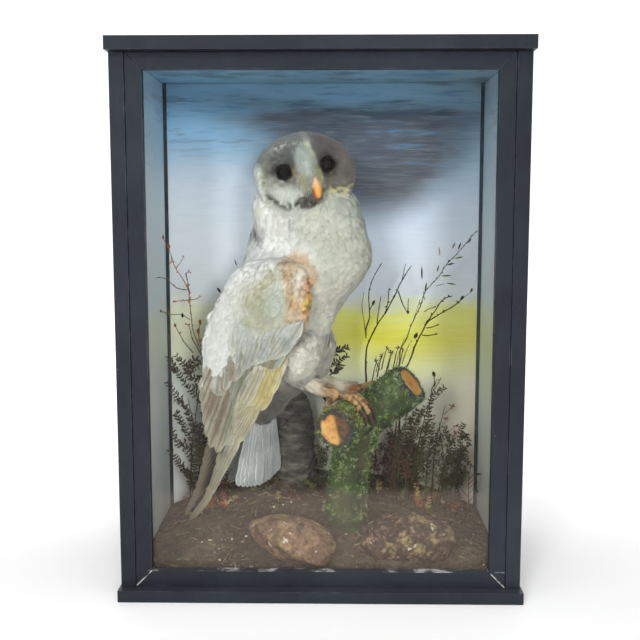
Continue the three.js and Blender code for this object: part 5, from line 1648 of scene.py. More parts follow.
def owl_color(P, lab):
    """The colour of skin and coat at points of the given parts."""
    n = len(P)
    out = np.tile(np.array(srgb(226, 225, 219)[:3]), (n, 1))
    s1, s2, s3 = fbm(P / 26, 2, 4), fbm(P / 9, 5, 3), vnoise(P / 3.0, 8)
    q = P - TRUNK(np.clip(P[:, 2], 125, 379))[:, :2] @ np.array([[1, 0, 0], [0, 1, 0]])
    q[:, 2] = 0
    front = (unit(q) @ FWD)
    side = (unit(q) @ RGT)
    # breast: greyer and yellower towards the bird's left, white behind the right shoulder; the white on the side
    # towards the light is partly painted light, the grey on the side turned from it partly painted shade
    br = smooth(-0.35, 0.75, front)
    out = mixc(out, srgb(244, 243, 238), smooth(0.1, 0.8, side))
    out = mixc(out, srgb(188, 187, 170), br * 0.9)
    out = mixc(out, srgb(200, 196, 168), smooth(0.3, -0.75, side) * smooth(-0.4, 0.4, front) * 0.8)
    out = mixc(out, srgb(170, 174, 160), br * smooth(0.0, 0.45, s1) * 0.65)
    out = mixc(out, srgb(212, 211, 200), br * smooth(0.05, 0.5, -s1) * 0.5)
    out = mixc(out, srgb(168, 168, 140), smooth(0.0, -0.8, side) * smooth(0.15, 0.5, s2) * smooth(300, 270, P[:, 2]) * 0.6)
    # greenish grey smudges on the throat and upper breast
    thr = bump(P[:, 2] - 342, 24) * smooth(0.1, 0.9, front)
    out = mixc(out, srgb(152, 160, 152), thr * smooth(0.0, 0.45, s2 + 0.4 * s1) * 0.8)
    low = smooth(250, 180, P[:, 2])
    out = mixc(out, srgb(204, 197, 178), low * br * 0.6)
    # the vent low on the belly is painted dark grey-brown: painted shade between wing and legs
    out = mixc(out, srgb(88, 78, 72), smooth(190, 168, P[:, 2]) * smooth(124, 136, P[:, 2]) * (lab == 0) * 0.85)
    out = mixc(out, srgb(222, 218, 204), smooth(292, 262, P[:, 2]) * smooth(190, 210, P[:, 2]) * (lab == 0) * 0.6)
    # right wing
    d = P - WRIST
    a, z, w = d @ WF, P[:, 2], d @ WR
    rw = ((lab == 2) | (lab == 0) & (z > 236) & (a > -70) & (a < 16)) & (w > -14)
    if rw.any():
        c = np.tile(np.array(srgb(228, 228, 222)[:3]), (n, 1))
        c = mixc(c, srgb(202, 199, 172), smooth(0.1, 0.6, s1 + 0.3 * s2) * 0.6 * smooth(-100, -60, a))
        c = mixc(c, srgb(158, 156, 122), smooth(-78, -40, a) * smooth(292, 262, z) * 0.85)
        # a band of yellow-green mottling down the middle of the wing
        xb = np.interp(z, [185, 205, 225, 245, 262, 285, 300], [-70, -66, -60, -56, -48, -34, -26])
        band = bump(a - xb, 13) * smooth(178, 200, z) * smooth(300, 282, z)
        c = mixc(c, srgb(164, 158, 104), band * smooth(-0.35, 0.35, s2) * 0.85)
        c = mixc(c, srgb(112, 104, 70), band * smooth(0.1, 0.5, s2 + 0.35 * s3) * 0.8)
        c = mixc(c, srgb(168, 116, 70), bump(a + 55, 9) * bump(z - 221, 8) * 0.85)
        # cold grey sheen of the greater coverts
        gc = smooth(62, 74, wing_q(a, z)) * smooth(-90, -64, a)
        c = mixc(c, srgb(188, 194, 190), gc * 0.8 * smooth(-90, -60, a))
        c = mixc(c, srgb(180, 190, 184), bump(a + 26, 12) * bump(z - 262, 18) * 0.7)
        # buff patch at the wrist
        patch = in_poly(a, z, [(-25, 300), (-15, 312), (-4, 309), (5, 298), (9, 282), (10, 266), (9, 250), (3, 236), (-3, 220), (-7, 220), (-8, 235), (-16, 242), (-15, 258), (-14, 276), (-19, 290)], 3.5)
        buff = mixc(np.tile(np.array(srgb(218, 196, 164)[:3]), (n, 1)), srgb(188, 156, 114), smooth(-0.1, 0.6, s2))
        buff = mixc(buff, srgb(150, 130, 104), smooth(258, 244, z) * smooth(6, -6, a) * 0.85)
        buff = mixc(buff, srgb(226, 222, 208), bump(a + 3, 6) * bump(z - 285, 12) * 0.85)
        edge = smooth(-1, 4, a) * smooth(238, 246, z) * smooth(300, 286, z)
        buff = mixc(buff, srgb(216, 158, 108), edge * 0.9)
        buff = mixc(buff, srgb(226, 190, 84), edge * bump(z - 264, 7) * 0.9)
        buff = mixc(buff, srgb(180, 122, 92), bump(z - 306, 4) * 0.35)
        buff = mixc(buff, srgb(84, 62, 44), np.maximum(edge, 0.5 * patch) * smooth(0.22, 0.4, vnoise(P / 2.3, 61)) * 0.8)
        buff = buff * 0.93
        c = c * (1 - patch[:, None]) + buff * patch[:, None]
        # under the bare quills the wing is painted brownish grey: painted shade
        line = np.interp(a, [-118, -106, -95, -78, -60, -44, -25, 0], [176, 180, 186, 203, 217, 224, 229, 234])
        c = mixc(c, srgb(146, 134, 116), smooth(2, -8, z - line) * 0.9)
        grow = (smooth(-14, -6, w) * np.where(lab == 0, smooth(15, 8, a) * smooth(236, 250, z), 1))[:, None]
        out = np.where(rw[:, None], out * (1 - grow) + c * grow, out)
    lw = lab == 3
    out[lw] = mixc(out[lw] * 0 + np.array(srgb(206, 192, 160)[:3]), srgb(160, 150, 134), smooth(-0.3, 0.5, s2[lw] + s1[lw]))
    # the back and nape seen from behind: pale buff washed with grey
    back = smooth(-0.2, -0.75, front) * (lab < 2)
    out = mixc(out, srgb(222, 208, 176), back * smooth(0.0, 0.5, s1 + 0.3 * s2) * smooth(0.75, 0.3, side) * 0.6)
    # head
    x, f, u = head_xfu(P)
    hd = lab == 1
    if hd.any():
        c = np.tile(np.array(srgb(230, 230, 225)[:3]), (n, 1))
        rho = disc_rho(x, u)
        # crown and nape: white at the bird's right, brownish grey over the left half, the half turned from the light:
        # partly painted shade, partly stain
        crown = mixc(c, srgb(122, 116, 112), smooth(-16, 14, x + 6 * s2) * 0.95)
        crown = mixc(crown, srgb(84, 80, 78), smooth(0.0, 0.45, s2 + 0.3 * s3) * smooth(-8, 20, x) * 0.7)
        crown = mixc(crown, srgb(196, 188, 154), smooth(0.2, 0.6, s2) * smooth(8, -8, x) * 0.35)
        crown = mixc(crown, srgb(112, 115, 110), smooth(8, -2, x) * smooth(12, 22, u) * smooth(-16, -5, f) * 0.95)
        # below the chin the coat is pale again right across
        crown = mixc(crown, srgb(206, 206, 194), smooth(-24, -32, u) * smooth(0, 10, f) * 0.85)
        c = crown
        inside = smooth(1.13, 1.02, rho) * smooth(-4, 4, f)
        disc = np.tile(np.array(srgb(206, 208, 198)[:3]), (n, 1))
        # bird's right dish: slate above, white cheek below
        up = smooth(0, 9, u - 0.05 * np.abs(x) + 2 * s2) * smooth(2, -4, x + smooth(20, 36, u) * -4)
        up = up * (1 - smooth(-38, -43, x + 0.2 * (u - 10)) * smooth(30, 12, u))
        disc = mixc(disc, srgb(116, 120, 114), up * 0.97)
        disc = mixc(disc, srgb(82, 86, 84), up * bump(np.hypot(x + 20, (u - 22) * 0.8), 15) * 0.65)
        disc = mixc(disc, srgb(150, 152, 144), up * smooth(0.1, 0.5, s3 + 0.5 * s2) * 0.35)
        disc = mixc(disc, srgb(150, 152, 140), bump(np.hypot(x + 36, (u + 1)), 7) * 0.7)
        # bird's left dish, turned from the light: brownish grey all over, partly painted shade and partly stain; cream
        # at the lower edge
        lf = smooth(3, 10, x - 0.0) * smooth(-19, -11, u + 0.1 * x)
        disc = mixc(disc, srgb(106, 100, 94), lf * 0.97)
        disc = mixc(disc, srgb(80, 74, 72), lf * smooth(-0.1, 0.5, s2) * 0.55)
        # about the eyes
        de = np.hypot(np.abs(x) - EYE_X, (u - EYE_U) * 1.05)
        disc = mixc(disc, srgb(66, 62, 57), smooth(15.5, 7.5, de + 4.0 * s3) * 0.75)
        disc = mixc(disc, srgb(28, 25, 23), smooth(9.4, 6.7, de + 2.4 * s3) * 0.92)
        disc = mixc(disc, srgb(150, 124, 74), bump(np.hypot(x + 10.5, u - 8.5), 4.2) * 0.85)
        disc = mixc(disc, srgb(94, 90, 78), bump(np.hypot(x + 13, (u + 3)), 5.5) * 0.75)
        # keel: pale grey green between a soft left border and a pale dotted right one
        xl = np.interp(u, [-12, 0, 4, 10, 20, 26, 36], [-3, -5, -7, -10.5, -10.5, -9, -3])
        xr = np.interp(u, [-12, -2, 3, 10, 20, 26, 37], [10, 12, 12, 9.5, 7.5, 5.5, 0])
        keel = smooth(xl - 2.5, xl + 2.5, x) * smooth(xr + 1.6, xr - 1.6, x) * smooth(-14, -8, u) * smooth(37, 28, u)
        kc = mixc(np.tile(np.array(srgb(184, 192, 182)[:3]), (n, 1)), srgb(146, 156, 148), smooth(-0.1, 0.45, s2 + 0.3 * s3) * 0.7)
        kc = mixc(kc, srgb(128, 134, 128), smooth(22, 34, u) * 0.75)
        disc = disc * (1 - keel[:, None]) + kc * keel[:, None]
        dots = smooth(-0.1, 0.3, vnoise(P / 2.2, 43))
        disc = mixc(disc, srgb(206, 204, 170), bump(x - xr, 2.0) * smooth(-8, 0, u) * (0.3 + 0.7 * dots) * 0.85)
        disc = mixc(disc, srgb(204, 196, 118), bump(x - xr + 1, 2.6) * smooth(-12, -4, u) * smooth(14, 6, u) * 0.8)
        disc = mixc(disc, srgb(196, 198, 140), bump(x + 6.0, 2.6) * smooth(-12, -4, u) * smooth(8, 0, u) * 0.75)
        # dark under the bill: partly painted shade of the bill, partly dark feathers
        disc = mixc(disc, srgb(70, 58, 58), smooth(1.15, 0.7, np.hypot((x + 0.5) / 13, (u + 21) / 7.5) + 0.45 * s3) * 0.92)
        disc = mixc(disc, srgb(150, 146, 132), smooth(1.2, 0.9, np.hypot((x + 0.5) / 13, (u + 21) / 8.5)) * smooth(0.12, 0.4, vnoise(P / 2.1, 83)) * 0.8)
        # lower rim: dark speckles at the bird's right, cream spots at its left
        un = np.interp(x, [-43, -40, -32, -24, -9, 5, 12], [-7, -11, -18, -23.5, -21.5, -25, -26])
        rimd = bump(u - un, 4.6) * smooth(8, 2, x) * smooth(-44, -40, x)
        disc = mixc(disc, srgb(52, 55, 46), rimd * smooth(-0.5, 0.1, vnoise(P / 2.4, 31)) * 0.95)
        uc = np.interp(x, [8, 20, 32, 43], [-21, -17, -19, -21])
        rimc = bump(u - uc, 5.5) * smooth(10, 16, x)
        disc = mixc(disc, srgb(206, 198, 142), rimc * smooth(-0.15, 0.15, vnoise(P / 2.8, 37)) * 0.95)
        disc = mixc(disc, srgb(80, 74, 64), rimc * smooth(0.1, 0.4, -vnoise(P / 2.8, 37)) * 0.6)
        c = c * (1 - inside[:, None]) + disc * inside[:, None]
        # outer rim of the bird's right dish: greenish yellow speckle inside a white edge
        ring = bump(rho - 0.93, 0.07) * smooth(-14, -26, x) * smooth(-8, 2, u) * smooth(6, 10, f) * smooth(26, 18, u)
        c = mixc(c, srgb(140, 144, 88), ring * smooth(-0.2, 0.3, vnoise(P / 2.4, 41)) * 0.9)
        ring2 = bump(rho - 1.12, 0.07) * smooth(0, 6, f) * smooth(-26, -8, u)
        c = mixc(c, srgb(228, 230, 226), ring2 * smooth(-2, -14, x) * (1 - 0.95 * smooth(12, 22, u)) * 0.9)
        # a pale speckled line along the top of the crown
        top_ = bump(rho - 1.03, 0.05) * smooth(24, 32, u) * smooth(14, 4, x) * smooth(0, 6, f)
        c = mixc(c, srgb(196, 199, 192), top_ * smooth(-0.1, 0.25, vnoise(P / 2.0, 47)) * 0.6)
        # the outer edge of the bird's left half is painted dark grey: painted shade
        out_side = smooth(4, 12, x) * smooth(0.9, 1.05, rho) * smooth(-12, -4, u)
        c = mixc(c, srgb(98, 93, 91), out_side * 0.85)
        out = np.where(hd[:, None], c, out)
    # the thighs: paler, and painted darker towards their lower ends: painted shade
    legs_ = lab >= 4
    th = (lab == 4) | (lab == 5)
    out[th] = mixc(out[th], srgb(222, 216, 202), 0.4 + 0 * s1[th])
    out[th] = mixc(out[th], srgb(112, 102, 94), (smooth(196, 172, P[:, 2]) * 0.8)[th])
    ft = lab >= 6
    if ft.any():
        toe = smooth(30, 24, np.linalg.norm(np.cross(P - LOG_END, LOG_AXIS), axis=1))
        toe = np.maximum(toe, np.where(lab == 7, smooth(20, 34, P[:, 0] + 4 * s2), smooth(-6, 7, P[:, 0] + 4 * s2)))
        c = np.tile(np.array(srgb(212, 202, 180)[:3]), (n, 1))
        c = mixc(c, srgb(150, 140, 118), smooth(0.0, 0.5, s2) * 0.6)
        c = mixc(c, srgb(168, 132, 84), toe * 0.95)
        c = mixc(c, srgb(82, 58, 40), toe * smooth(-0.1, 0.4, s2 + 0.6 * s3) * 0.9)
        c = mixc(c, srgb(214, 180, 128), toe * smooth(0.1, 0.5, -s3) * 0.6)
        c = mixc(c, srgb(198, 116, 62), toe * smooth(18, 26, P[:, 0]) * smooth(0.0, 0.5, s2) * 0.35)
        out = np.where(ft[:, None], c, out)
    return np.clip(out * (0.805 + 0.07 * s3 + 0.06 * s2)[:, None], 0.003, 0.97)


# unwrap of the skin's own shape: one rectangle of the map for each part
RECT = {0: (0.0, 0.0, 0.5, 0.5), 1: (0.5, 0.0, 0.5, 0.5), 2: (0.0, 0.5, 0.24, 0.48), 3: (0.25, 0.5, 0.24, 0.48), 4: (0.75, 0.75, 0.12, 0.22),
        5: (0.88, 0.75, 0.11, 0.22), 6: (0.75, 0.51, 0.12, 0.22), 7: (0.88, 0.51, 0.11, 0.22), 12: (0.5, 0.5, 0.12, 0.48), 13: (0.63, 0.5, 0.11, 0.48)}


def unwrap(P, N, lab):
    n = len(P)
    uv = np.zeros((n, 2))
    key = lab.copy()
    key[(lab == 2) & (N @ WR < 0)] = 12
    key[(lab == 3) & (N @ BACKWARD < 0)] = 13
    c = TRUNK(np.clip(P[:, 2], 125, 379))
    q = P[:, :2] - c[:, :2]
    uv_t = np.stack([np.arctan2(q @ RGT[:2], -(q @ FWD[:2])) / (2 * math.pi) + 0.5, (P[:, 2] - 118) / 262], -1)
    x, f, u = head_xfu(P)
    p = unit(np.stack([x / 49, f / 40, u / 41], -1))
    th = np.arccos(np.clip(p[:, 1], -1, 1)) / math.pi * 0.49
    an = np.arctan2(p[:, 2], p[:, 0])
    uv_h = np.stack([0.5 + th * np.cos(an), 0.5 + th * np.sin(an)], -1)
    d = P - WRIST
    uv_r = np.stack([(d @ WF + 128) / 150, (P[:, 2] - 100) / 220], -1)
    uv_l = np.stack([(P[:, 0] + 135) / 180, (P[:, 2] - 105) / 205], -1)
    for k in np.unique(key):
        m_ = key == k
        if k == 0:
            v = uv_t
        elif k == 1:
            v = uv_h
        elif k in (2, 12):
            v = uv_r
        elif k in (3, 13):
            v = uv_l
        elif k in (4, 5):
            cen = vec(-25, -25, 0) if k == 4 else vec(-10, 19, 0)
            g = P - cen
            v = np.stack([np.arctan2(g @ RGT, -(g @ FWD)) / (2 * math.pi) + 0.5, (P[:, 2] - 172) / 85], -1)
        else:
            g = P - LOG_END
            v = np.stack([((g @ LOG_AXIS) - (0 if k == 6 else 55)) / 62, np.arctan2(g @ UPZ, g @ ACROSS) / (2 * math.pi) + 0.5], -1)
            v = np.where((np.linalg.norm(np.cross(g, LOG_AXIS), axis=1) > 31)[:, None], np.stack([(P[:, 0] + 30) / 80 * 0.9, (P[:, 2] - 160) / 34 * 0.45 + 0.5], -1), v)
        r = RECT[int(k)]
        uv[m_] = np.clip(v[m_], 0.01, 0.99) * (r[2] - 0.01, r[3] - 0.01) + (r[0] + 0.005, r[1] + 0.005)
    return uv


SK_V, SK_F = [Vb], [Fb]
n0 = len(Vb)
for side in ("right", "left"):
    v, f = legs[side]
    SK_V.append(v)
    SK_F.append(f + n0)
    n0 += len(v)
lid_start = n0
SK_V.append(np.concatenate(LIDS.V))
SK_F.append(np.concatenate(LIDS.F) + n0)
SV, SF = np.concatenate(SK_V), np.concatenate(SK_F)
LAB, LD = label_of(SV)
body_n = len(Vb)
LAB[:body_n] = LD[:body_n, :6].argmin(1)
LAB[body_n:body_n + len(legs["right"][0])] = 6
LAB[body_n + len(legs["right"][0]):lid_start] = 7
LAB[lid_start:] = 1
# the skin under the coat is painted a little darker than the coat: painted shade
SKIN_COL = owl_color(SV, LAB) * 0.95
SKIN_COL[lid_start:] = np.array(srgb(24, 21, 20)[:3])
SKIN_N = normals_of(SV, SF)
# scutes on the toes
is_toe = (LAB >= 6) & (np.linalg.norm(np.cross(SV - LOG_END, LOG_AXIS), axis=1) < LOG_R + 11.5) & (np.arange(len(SV)) < lid_start)
g = SV - LOG_END
ang = np.arctan2(g @ UPZ, g @ ACROSS)
outer = np.einsum("ij,ij->i", SKIN_N, unit(g - np.outer(g @ LOG_AXIS, LOG_AXIS)))
scute = np.sqrt(np.abs(np.sin(ang * 13.5)))
SV = SV + SKIN_N * (is_toe * (0.85 * (scute - 0.6) * smooth(-0.3, 0.4, outer) + 0.25 * fbm(SV / 1.6, 3, 2)))[:, None]
groove = is_toe * smooth(0.5, 0.15, scute) * smooth(-0.3, 0.4, outer)
SKIN_COL = mixc(SKIN_COL, srgb(66, 44, 30), groove * 0.8)
face_lab = np.array([np.bincount(r, minlength=8).argmax() for r in LAB[SF]])
loop_v = SF.reshape(-1)
fn_ = unit(np.cross(SV[SF[:, 1]] - SV[SF[:, 0]], SV[SF[:, 2]] - SV[SF[:, 0]]))
skin_uv = unwrap(SV[loop_v], np.repeat(fn_, 4, 0), np.repeat(face_lab, 4))
# a face across a seam keeps to one side
q4 = skin_uv.reshape(-1, 4, 2)
for k in (0, 1):
    span = q4[:, :, k].max(1) - q4[:, :, k].min(1)
    bad = span > 0.08
    q4[bad, :, k] = np.where(q4[bad, :, k] > q4[bad, :, k].mean(1, keepdims=True), q4[bad, :, k], q4[bad, :, k].max(1, keepdims=True))
skin_uv = q4.reshape(-1, 2)

m = Mat("owl_skin")
c = m.attr("tint")
n1, n2 = m.noise(260, 5, 0.7), m.noise(60, 4, 0.6)
c2 = m.mix(m.math("MULTIPLY", m.range(n1, 0.5, 0.72), 0.3), c, (0.62, 0.55, 0.48, 1), "MULTIPLY")
m.surface(Base_Color=c2, Roughness=m.range(n2, 0.3, 0.7, 0.55, 0.8, "LINEAR"), Normal=m.bump(n1, 0.4, 0.0005))
m.put(m.b.inputs["Specular IOR Level"], 0.25)
m.put(m.b.inputs["Subsurface Weight"], 0.15)
m.put(m.b.inputs["Subsurface Radius"], (0.003, 0.0015, 0.001))
skin = mesh_object("owl_skin", SV, SF, m.m, uv=skin_uv, colors={"tint": SKIN_COL})
piece(skin, "plumage", "owl_head", "owl_neck", "owl_trunk", "owl_wing_right", "owl_wing_left", "owl_thigh_right", "owl_thigh_left",
      "owl_shank_right", "owl_shank_left", "owl_foot_right", "owl_foot_left")
print("skin done", round(time.time() - T0, 1), len(SF) * 2)

# ------------------------------------------------------------------ the owl: lie of the coat
BODY = Surface(Vb, Fb)
BILL_ROOT = in_head(2, 30, -2)
EYES = [in_head(sx * EYE_X, EYE_F, EYE_U) for sx in (-1, 1)]


def tangent(D, N):
    return unit(D - N * np.einsum("ij,ij->i", D, N)[:, None])


def lie(P, N, lab):
    """Direction in which the coat lies."""
    z = P[:, 2]
    c0, c1 = TRUNK(np.clip(z - 4, 125, 379)), TRUNK(np.clip(z + 4, 125, 379))
    ax = unit(np.stack([(c0 - c1)[:, 0], (c0 - c1)[:, 1], -8 + 0 * z], -1))
    D = ax + 0.12 * np.stack([vnoise(P / 16, 3), vnoise(P / 16, 4), 0 * z], -1)
    # head
    hd = (lab == 1)[:, None]
    x, f, u = head_xfu(P)
    away = unit(P - BILL_ROOT)
    rad = np.where((x < 0)[:, None], unit(P - EYES[0]), unit(P - EYES[1]))
    de = np.minimum(np.linalg.norm(P - EYES[0], axis=1), np.linalg.norm(P - EYES[1], axis=1))
    inside = (smooth(1.02, 0.92, disc_rho(x, u)) * smooth(4, 10, f))[:, None]
    k = bump(de, 20)[:, None]
    keelk = (bump(x, 6) * smooth(-4, 4, u))[:, None]
    dd = unit(rad * k + away * (1 - k) + 1.2 * keelk * HU + 0.0)
    crown = unit(-HF * 1.0 + away * 0.7 - UPZ * 0.35 * smooth(30, -10, u)[:, None] - UPZ * 0.5 * smooth(10, -30, f)[:, None])
    down = unit(ax * 1.0 + (P - HEAD_AT) * 0.004)
    under = smooth(-16, -34, u)[:, None]
    hD = dd * inside + (1 - inside) * (crown * (1 - under) + down * under)
    D = np.where(hd, hD, D)
    # wings
    a = (P - WRIST) @ WF
    back = smooth(20, -60, a)[:, None]
    wD = -UPZ * 1.0 - WF * (0.18 + 0.5 * back)
    D = np.where((lab == 2)[:, None], wD, D)
    lD = -UPZ + vec(-0.5, -0.1, 0)
    D = np.where((lab == 3)[:, None], lD, D)
    for k_, s in ((4, "right"), (5, "left")):
        t = vec(*LEGS[s]["thigh"][2]) - vec(*LEGS[s]["thigh"][0])
        D = np.where((lab == k_)[:, None], unit(t) + 0.35 * unit(P - np.mean(LEGS[s]["thigh"], 0)), D)
    for k_, s in ((6, "right"), (7, "left")):
        t = vec(*LEGS[s]["shank"][2]) - vec(*LEGS[s]["shank"][0])
        D = np.where((lab == k_)[:, None], np.broadcast_to(unit(t), D.shape), D)
    T = tangent(D, N)
    # locks turn a little together
    S = np.cross(N, T)
    ang = 0.30 * vnoise(P / 11, 91) + 0.16 * rng.normal(size=len(P))
    ang = np.where(lab == 1, 0.4 * ang, np.where((z < 235) & (lab != 2) & (lab < 6), 1.7 * ang, ang))
    return unit(T * np.cos(ang)[:, None] + S * np.sin(ang)[:, None])


# a soft feather: a vane of short rows and a fringe of loose barbs
def vane_template(rows=5, barbs=9, tips=9):
    t = np.linspace(0, 0.86, rows)
    w = np.array([0.22, 0.62, 0.80, 0.78, 0.42]) if rows == 5 else np.interp(t, [0, 0.2, 0.45, 0.7, 0.86], [0.22, 0.62, 0.8, 0.78, 0.42])
    V, F = [], []
    for i in range(rows):
        V += [(t[i], -w[i], 0.0), (t[i], 0.0, 1.0), (t[i], w[i], 0.0)]
    for i in range(rows - 1):
        a = 3 * i
        for k in (0, 1):
            F += [[a + k, a + k + 1, a + k + 4], [a + k, a + k + 4, a + k + 3]]
    r = np.random.default_rng(5)
    for s in (-1, 1):
        for j in range(barbs):
            b = 0.1 + 0.72 * j / (barbs - 1)
            wb = float(np.interp(b, t, w))
            b2 = b + 0.085
            wb2 = float(np.interp(b2, t, w))
            reach = 0.34 + 0.22 * r.random()
            n_ = len(V)
            V += [(b, s * wb * 0.9, 0.1), (b2, s * wb2 * 0.9, 0.1), (b + 0.2 + 0.05 * r.random(), s * (wb + reach), -0.15 + 0.35 * r.random())]
            F += [[n_, n_ + 1, n_ + 2] if s > 0 else [n_ + 1, n_, n_ + 2]]
    for j in range(tips):
        s = -1 + 2 * (j + 0.5) / tips
        n_ = len(V)
        V += [(0.80, (s - 0.15) * 0.46, 0.25), (0.80, (s + 0.15) * 0.46, 0.25), (0.97 + 0.14 * r.random() - 0.16 * s * s, s * 0.66 + 0.1 * (r.random() - 0.5), -0.3 + 0.6 * r.random())]
        F += [[n_, n_ + 2, n_ + 1]]
    return np.array(V), np.array(F)


SOFT = vane_template()
FINE = vane_template(4, 4, 3)


def feathers(P, N, D, L, W, lift, camber, template, surf=None, hug=1.0, lab=None, shade=None, bend=0.0):
    """Lays a feather at every root. Returns V (n*k, 3), F, tint and map coordinates."""
    n = len(P)
    TV, TF = template
    k = len(TV)
    S = unit(np.cross(D, N))
    tip = P + D * L[:, None]
    if surf is not None:
        Q, QN = surf.nearest(tip)
        # the tip lies over the surface there, at its lift
        far = np.linalg.norm(Q - tip, axis=1)
        ok = (far < 0.75 * L)[:, None]
        tip = np.where(ok, Q + QN * lift[:, None], tip + N * lift[:, None])
        QN = np.where(ok, QN, N)
        mid, MN = surf.nearest(P + D * (L * 0.5)[:, None])
        ok2 = (np.linalg.norm(mid - (P + D * (L * 0.5)[:, None]), axis=1) < 0.5 * L)[:, None]
        mid = np.where(ok2, mid + MN * (lift * 0.85)[:, None], (P + tip) / 2 + N * (lift * 0.4)[:, None])
    else:
        tip = tip + N * lift[:, None]
        mid = (P + tip) / 2 + N * (lift * 0.3)[:, None]
        QN = N
    ctrl = 2 * mid - 0.5 * (P + tip)
    t = TV[:, 0][None, :, None]
    C = (1 - t) ** 2 * P[:, None] + 2 * t * (1 - t) * ctrl[:, None] + t * t * tip[:, None]
    Nn = unit(N[:, None] * (1 - t) + QN[:, None] * t)
    jig = 1 + 0.1 * (rng.random((n, k)) - 0.5)
    across = (TV[:, 1][None] * jig * W[:, None] / 2)[..., None]
    rise = (TV[:, 2][None] * camber[:, None])[..., None]
    drop = (-0.25 * camber[:, None] * TV[:, 1][None] ** 2)[..., None]
    Vv = C + S[:, None] * across + Nn * (rise + drop)
    if bend:
        side_ = (rng.normal(size=n) * bend)[:, None] * TV[:, 0][None] ** 2 * L[:, None]
        Vv = Vv + S[:, None] * side_[..., None]
    Fv = (TF[None] + (np.arange(n) * k)[:, None, None]).reshape(-1, 3)
    # colour: the field where each part of the vane lies
    cols = []
    for tt in (0.25, 0.65, 1.0):
        X = (1 - tt) ** 2 * P + 2 * tt * (1 - tt) * ctrl + tt * tt * tip
        cols.append(owl_color(X, lab))
    tv = TV[:, 0]
    w0 = np.clip(1 - np.abs(tv - 0.25) / 0.4, 0, 1) * (tv >= 0.25) + (tv < 0.25)
    w2 = np.clip((tv - 0.65) / 0.35, 0, 1)
    w1 = np.clip(1 - w0 - w2, 0, 1)
    tot = (w0 + w1 + w2)
    C3 = (cols[0][:, None] * (w0 / tot)[None, :, None] + cols[1][:, None] * (w1 / tot)[None, :, None] + cols[2][:, None] * (w2 / tot)[None, :, None])
    loose = (smooth(262, 226, P[:, 2]) * (lab != 1) * (lab != 2) * (lab < 6))[:, None, None]
    each = (1 + (0.18 + 0.34 * loose) * (rng.random((n, 1, 1)) - 0.5))
    if shade is None:
        shade = 0.88 + 0.12 * smooth(0.2, 0.9, tv)
        shade = shade * (1 - 0.05 * (TV[:, 2] == 1.0) * (tv < 0.8))
    # the roots of the loose lower feathers are painted darker: painted shade between the tufts
    deep = 1 - 0.3 * loose * (1 - smooth(0.25, 0.85, tv))[None, :, None]
    C3 = np.clip(C3 * each * shade[None, :, None] * deep, 0, 0.98)
    uv0 = unwrap(P, N, lab)
    uv = uv0[:, None] + np.stack([TV[:, 1] * 0.0011, (TV[:, 0] - 0.5) * 0.0026], -1)[None]
    return Vv.reshape(-1, 3), Fv, C3.reshape(-1, 3), uv.reshape(-1, 2)


m = Mat("plumage_soft")
c = m.attr("tint")
fine = m.noise(900, 3, 0.7)
big = m.noise(70, 4, 0.6)
c2 = m.mix(m.math("MULTIPLY", m.range(fine, 0.45, 0.7), 0.22), c, (0.72, 0.70, 0.66, 1), "MULTIPLY")
c2 = m.mix(m.math("MULTIPLY", m.range(big, 0.5, 0.72), 0.18), c2, (0.78, 0.77, 0.72, 1), "MULTIPLY")
m.surface(Base_Color=c2, Roughness=0.85, Normal=m.bump(fine, 0.25, 0.0003))
m.put(m.b.inputs["Specular IOR Level"], 0.12)
m.put(m.b.inputs["Sheen Weight"], 0.25)
m.put(m.b.inputs["Sheen Roughness"], 0.6)
PLUMAGE = m.m


def lay(name, surf, want, label_fn, spacing, length, width, lift, camber, template=SOFT, hug=1.0, seeds=9, over=8, bend=0.05, dens=None, where=None):
    """A coat over the wanted part of a surface. The sizes are functions of (P, lab)."""
    count = int(over * 190000 / spacing**2 * 0.12)
    P, N = surf.sample(rng, count, where)
    lab = label_fn(P)
    ok = want(P, N, lab)
    P, N, lab = P[ok], N[ok], lab[ok]
    sp = np.full(len(P), spacing) if dens is None else spacing * dens(P, lab)
    i = spread(P, sp)
    P, N, lab = P[i], N[i], lab[i]
    n = len(P)
    D = lie(P, N, lab)
    L = length(P, lab) * rng.uniform(0.85, 1.15, n)
    W = width(P, lab) * rng.uniform(0.85, 1.15, n)
    h = lift(P, lab) * rng.uniform(0.75, 1.2, n)
    cam_ = camber(P, lab) * rng.uniform(0.7, 1.3, n)
    made = 0
    # in bands from top to bottom
    order = np.argsort(-P[:, 2], kind="stable")
    chunks = max(1, math.ceil(n * len(template[1]) / 190000))
    for j, idx in enumerate(np.array_split(order, chunks)):
        V, F, C, uv = feathers(P[idx], N[idx], D[idx], L[idx], W[idx], h[idx], cam_[idx], template, surf, hug, lab[idx], bend=bend)
        ob = mesh_object(f"{name}_{j + 1}" if chunks > 1 else name, V, F, PLUMAGE, uv=uv, colors={"tint": C})
        piece(ob, "plumage")
        made += len(F)
    print(name, n, "feathers", made, "triangles", chunks, "pieces", round(time.time() - T0, 1))
    return P


KV = BVHTree.FromPolygons([tuple(v) for v in Vb], [tuple(t) for t in BODY.T.tolist()])
VLAB = LAB[:body_n]


def body_label(P):
    out = np.zeros(len(P), int)
    for i, p in enumerate(P):
        co, no, index, _ = KV.find_nearest(Vector(p))
        out[i] = VLAB[BODY.T[index][0]]
    return out


def coords(P):
    x, f, u = head_xfu(P)
    d = P - WRIST
    return x, f, u, d @ WF, d @ WR


def is_disc(P, lab):
    x, f, u, a, w = coords(P)
    return (lab == 1) & (disc_rho(x, u) < 1.0) & (f > 5)


def near_ruff(P, lab):
    x, f, u, a, w = coords(P)
    rho = disc_rho(x, u)
    return (lab == 1) & (np.abs(rho - 1.03) < 0.1) & (f > 0)


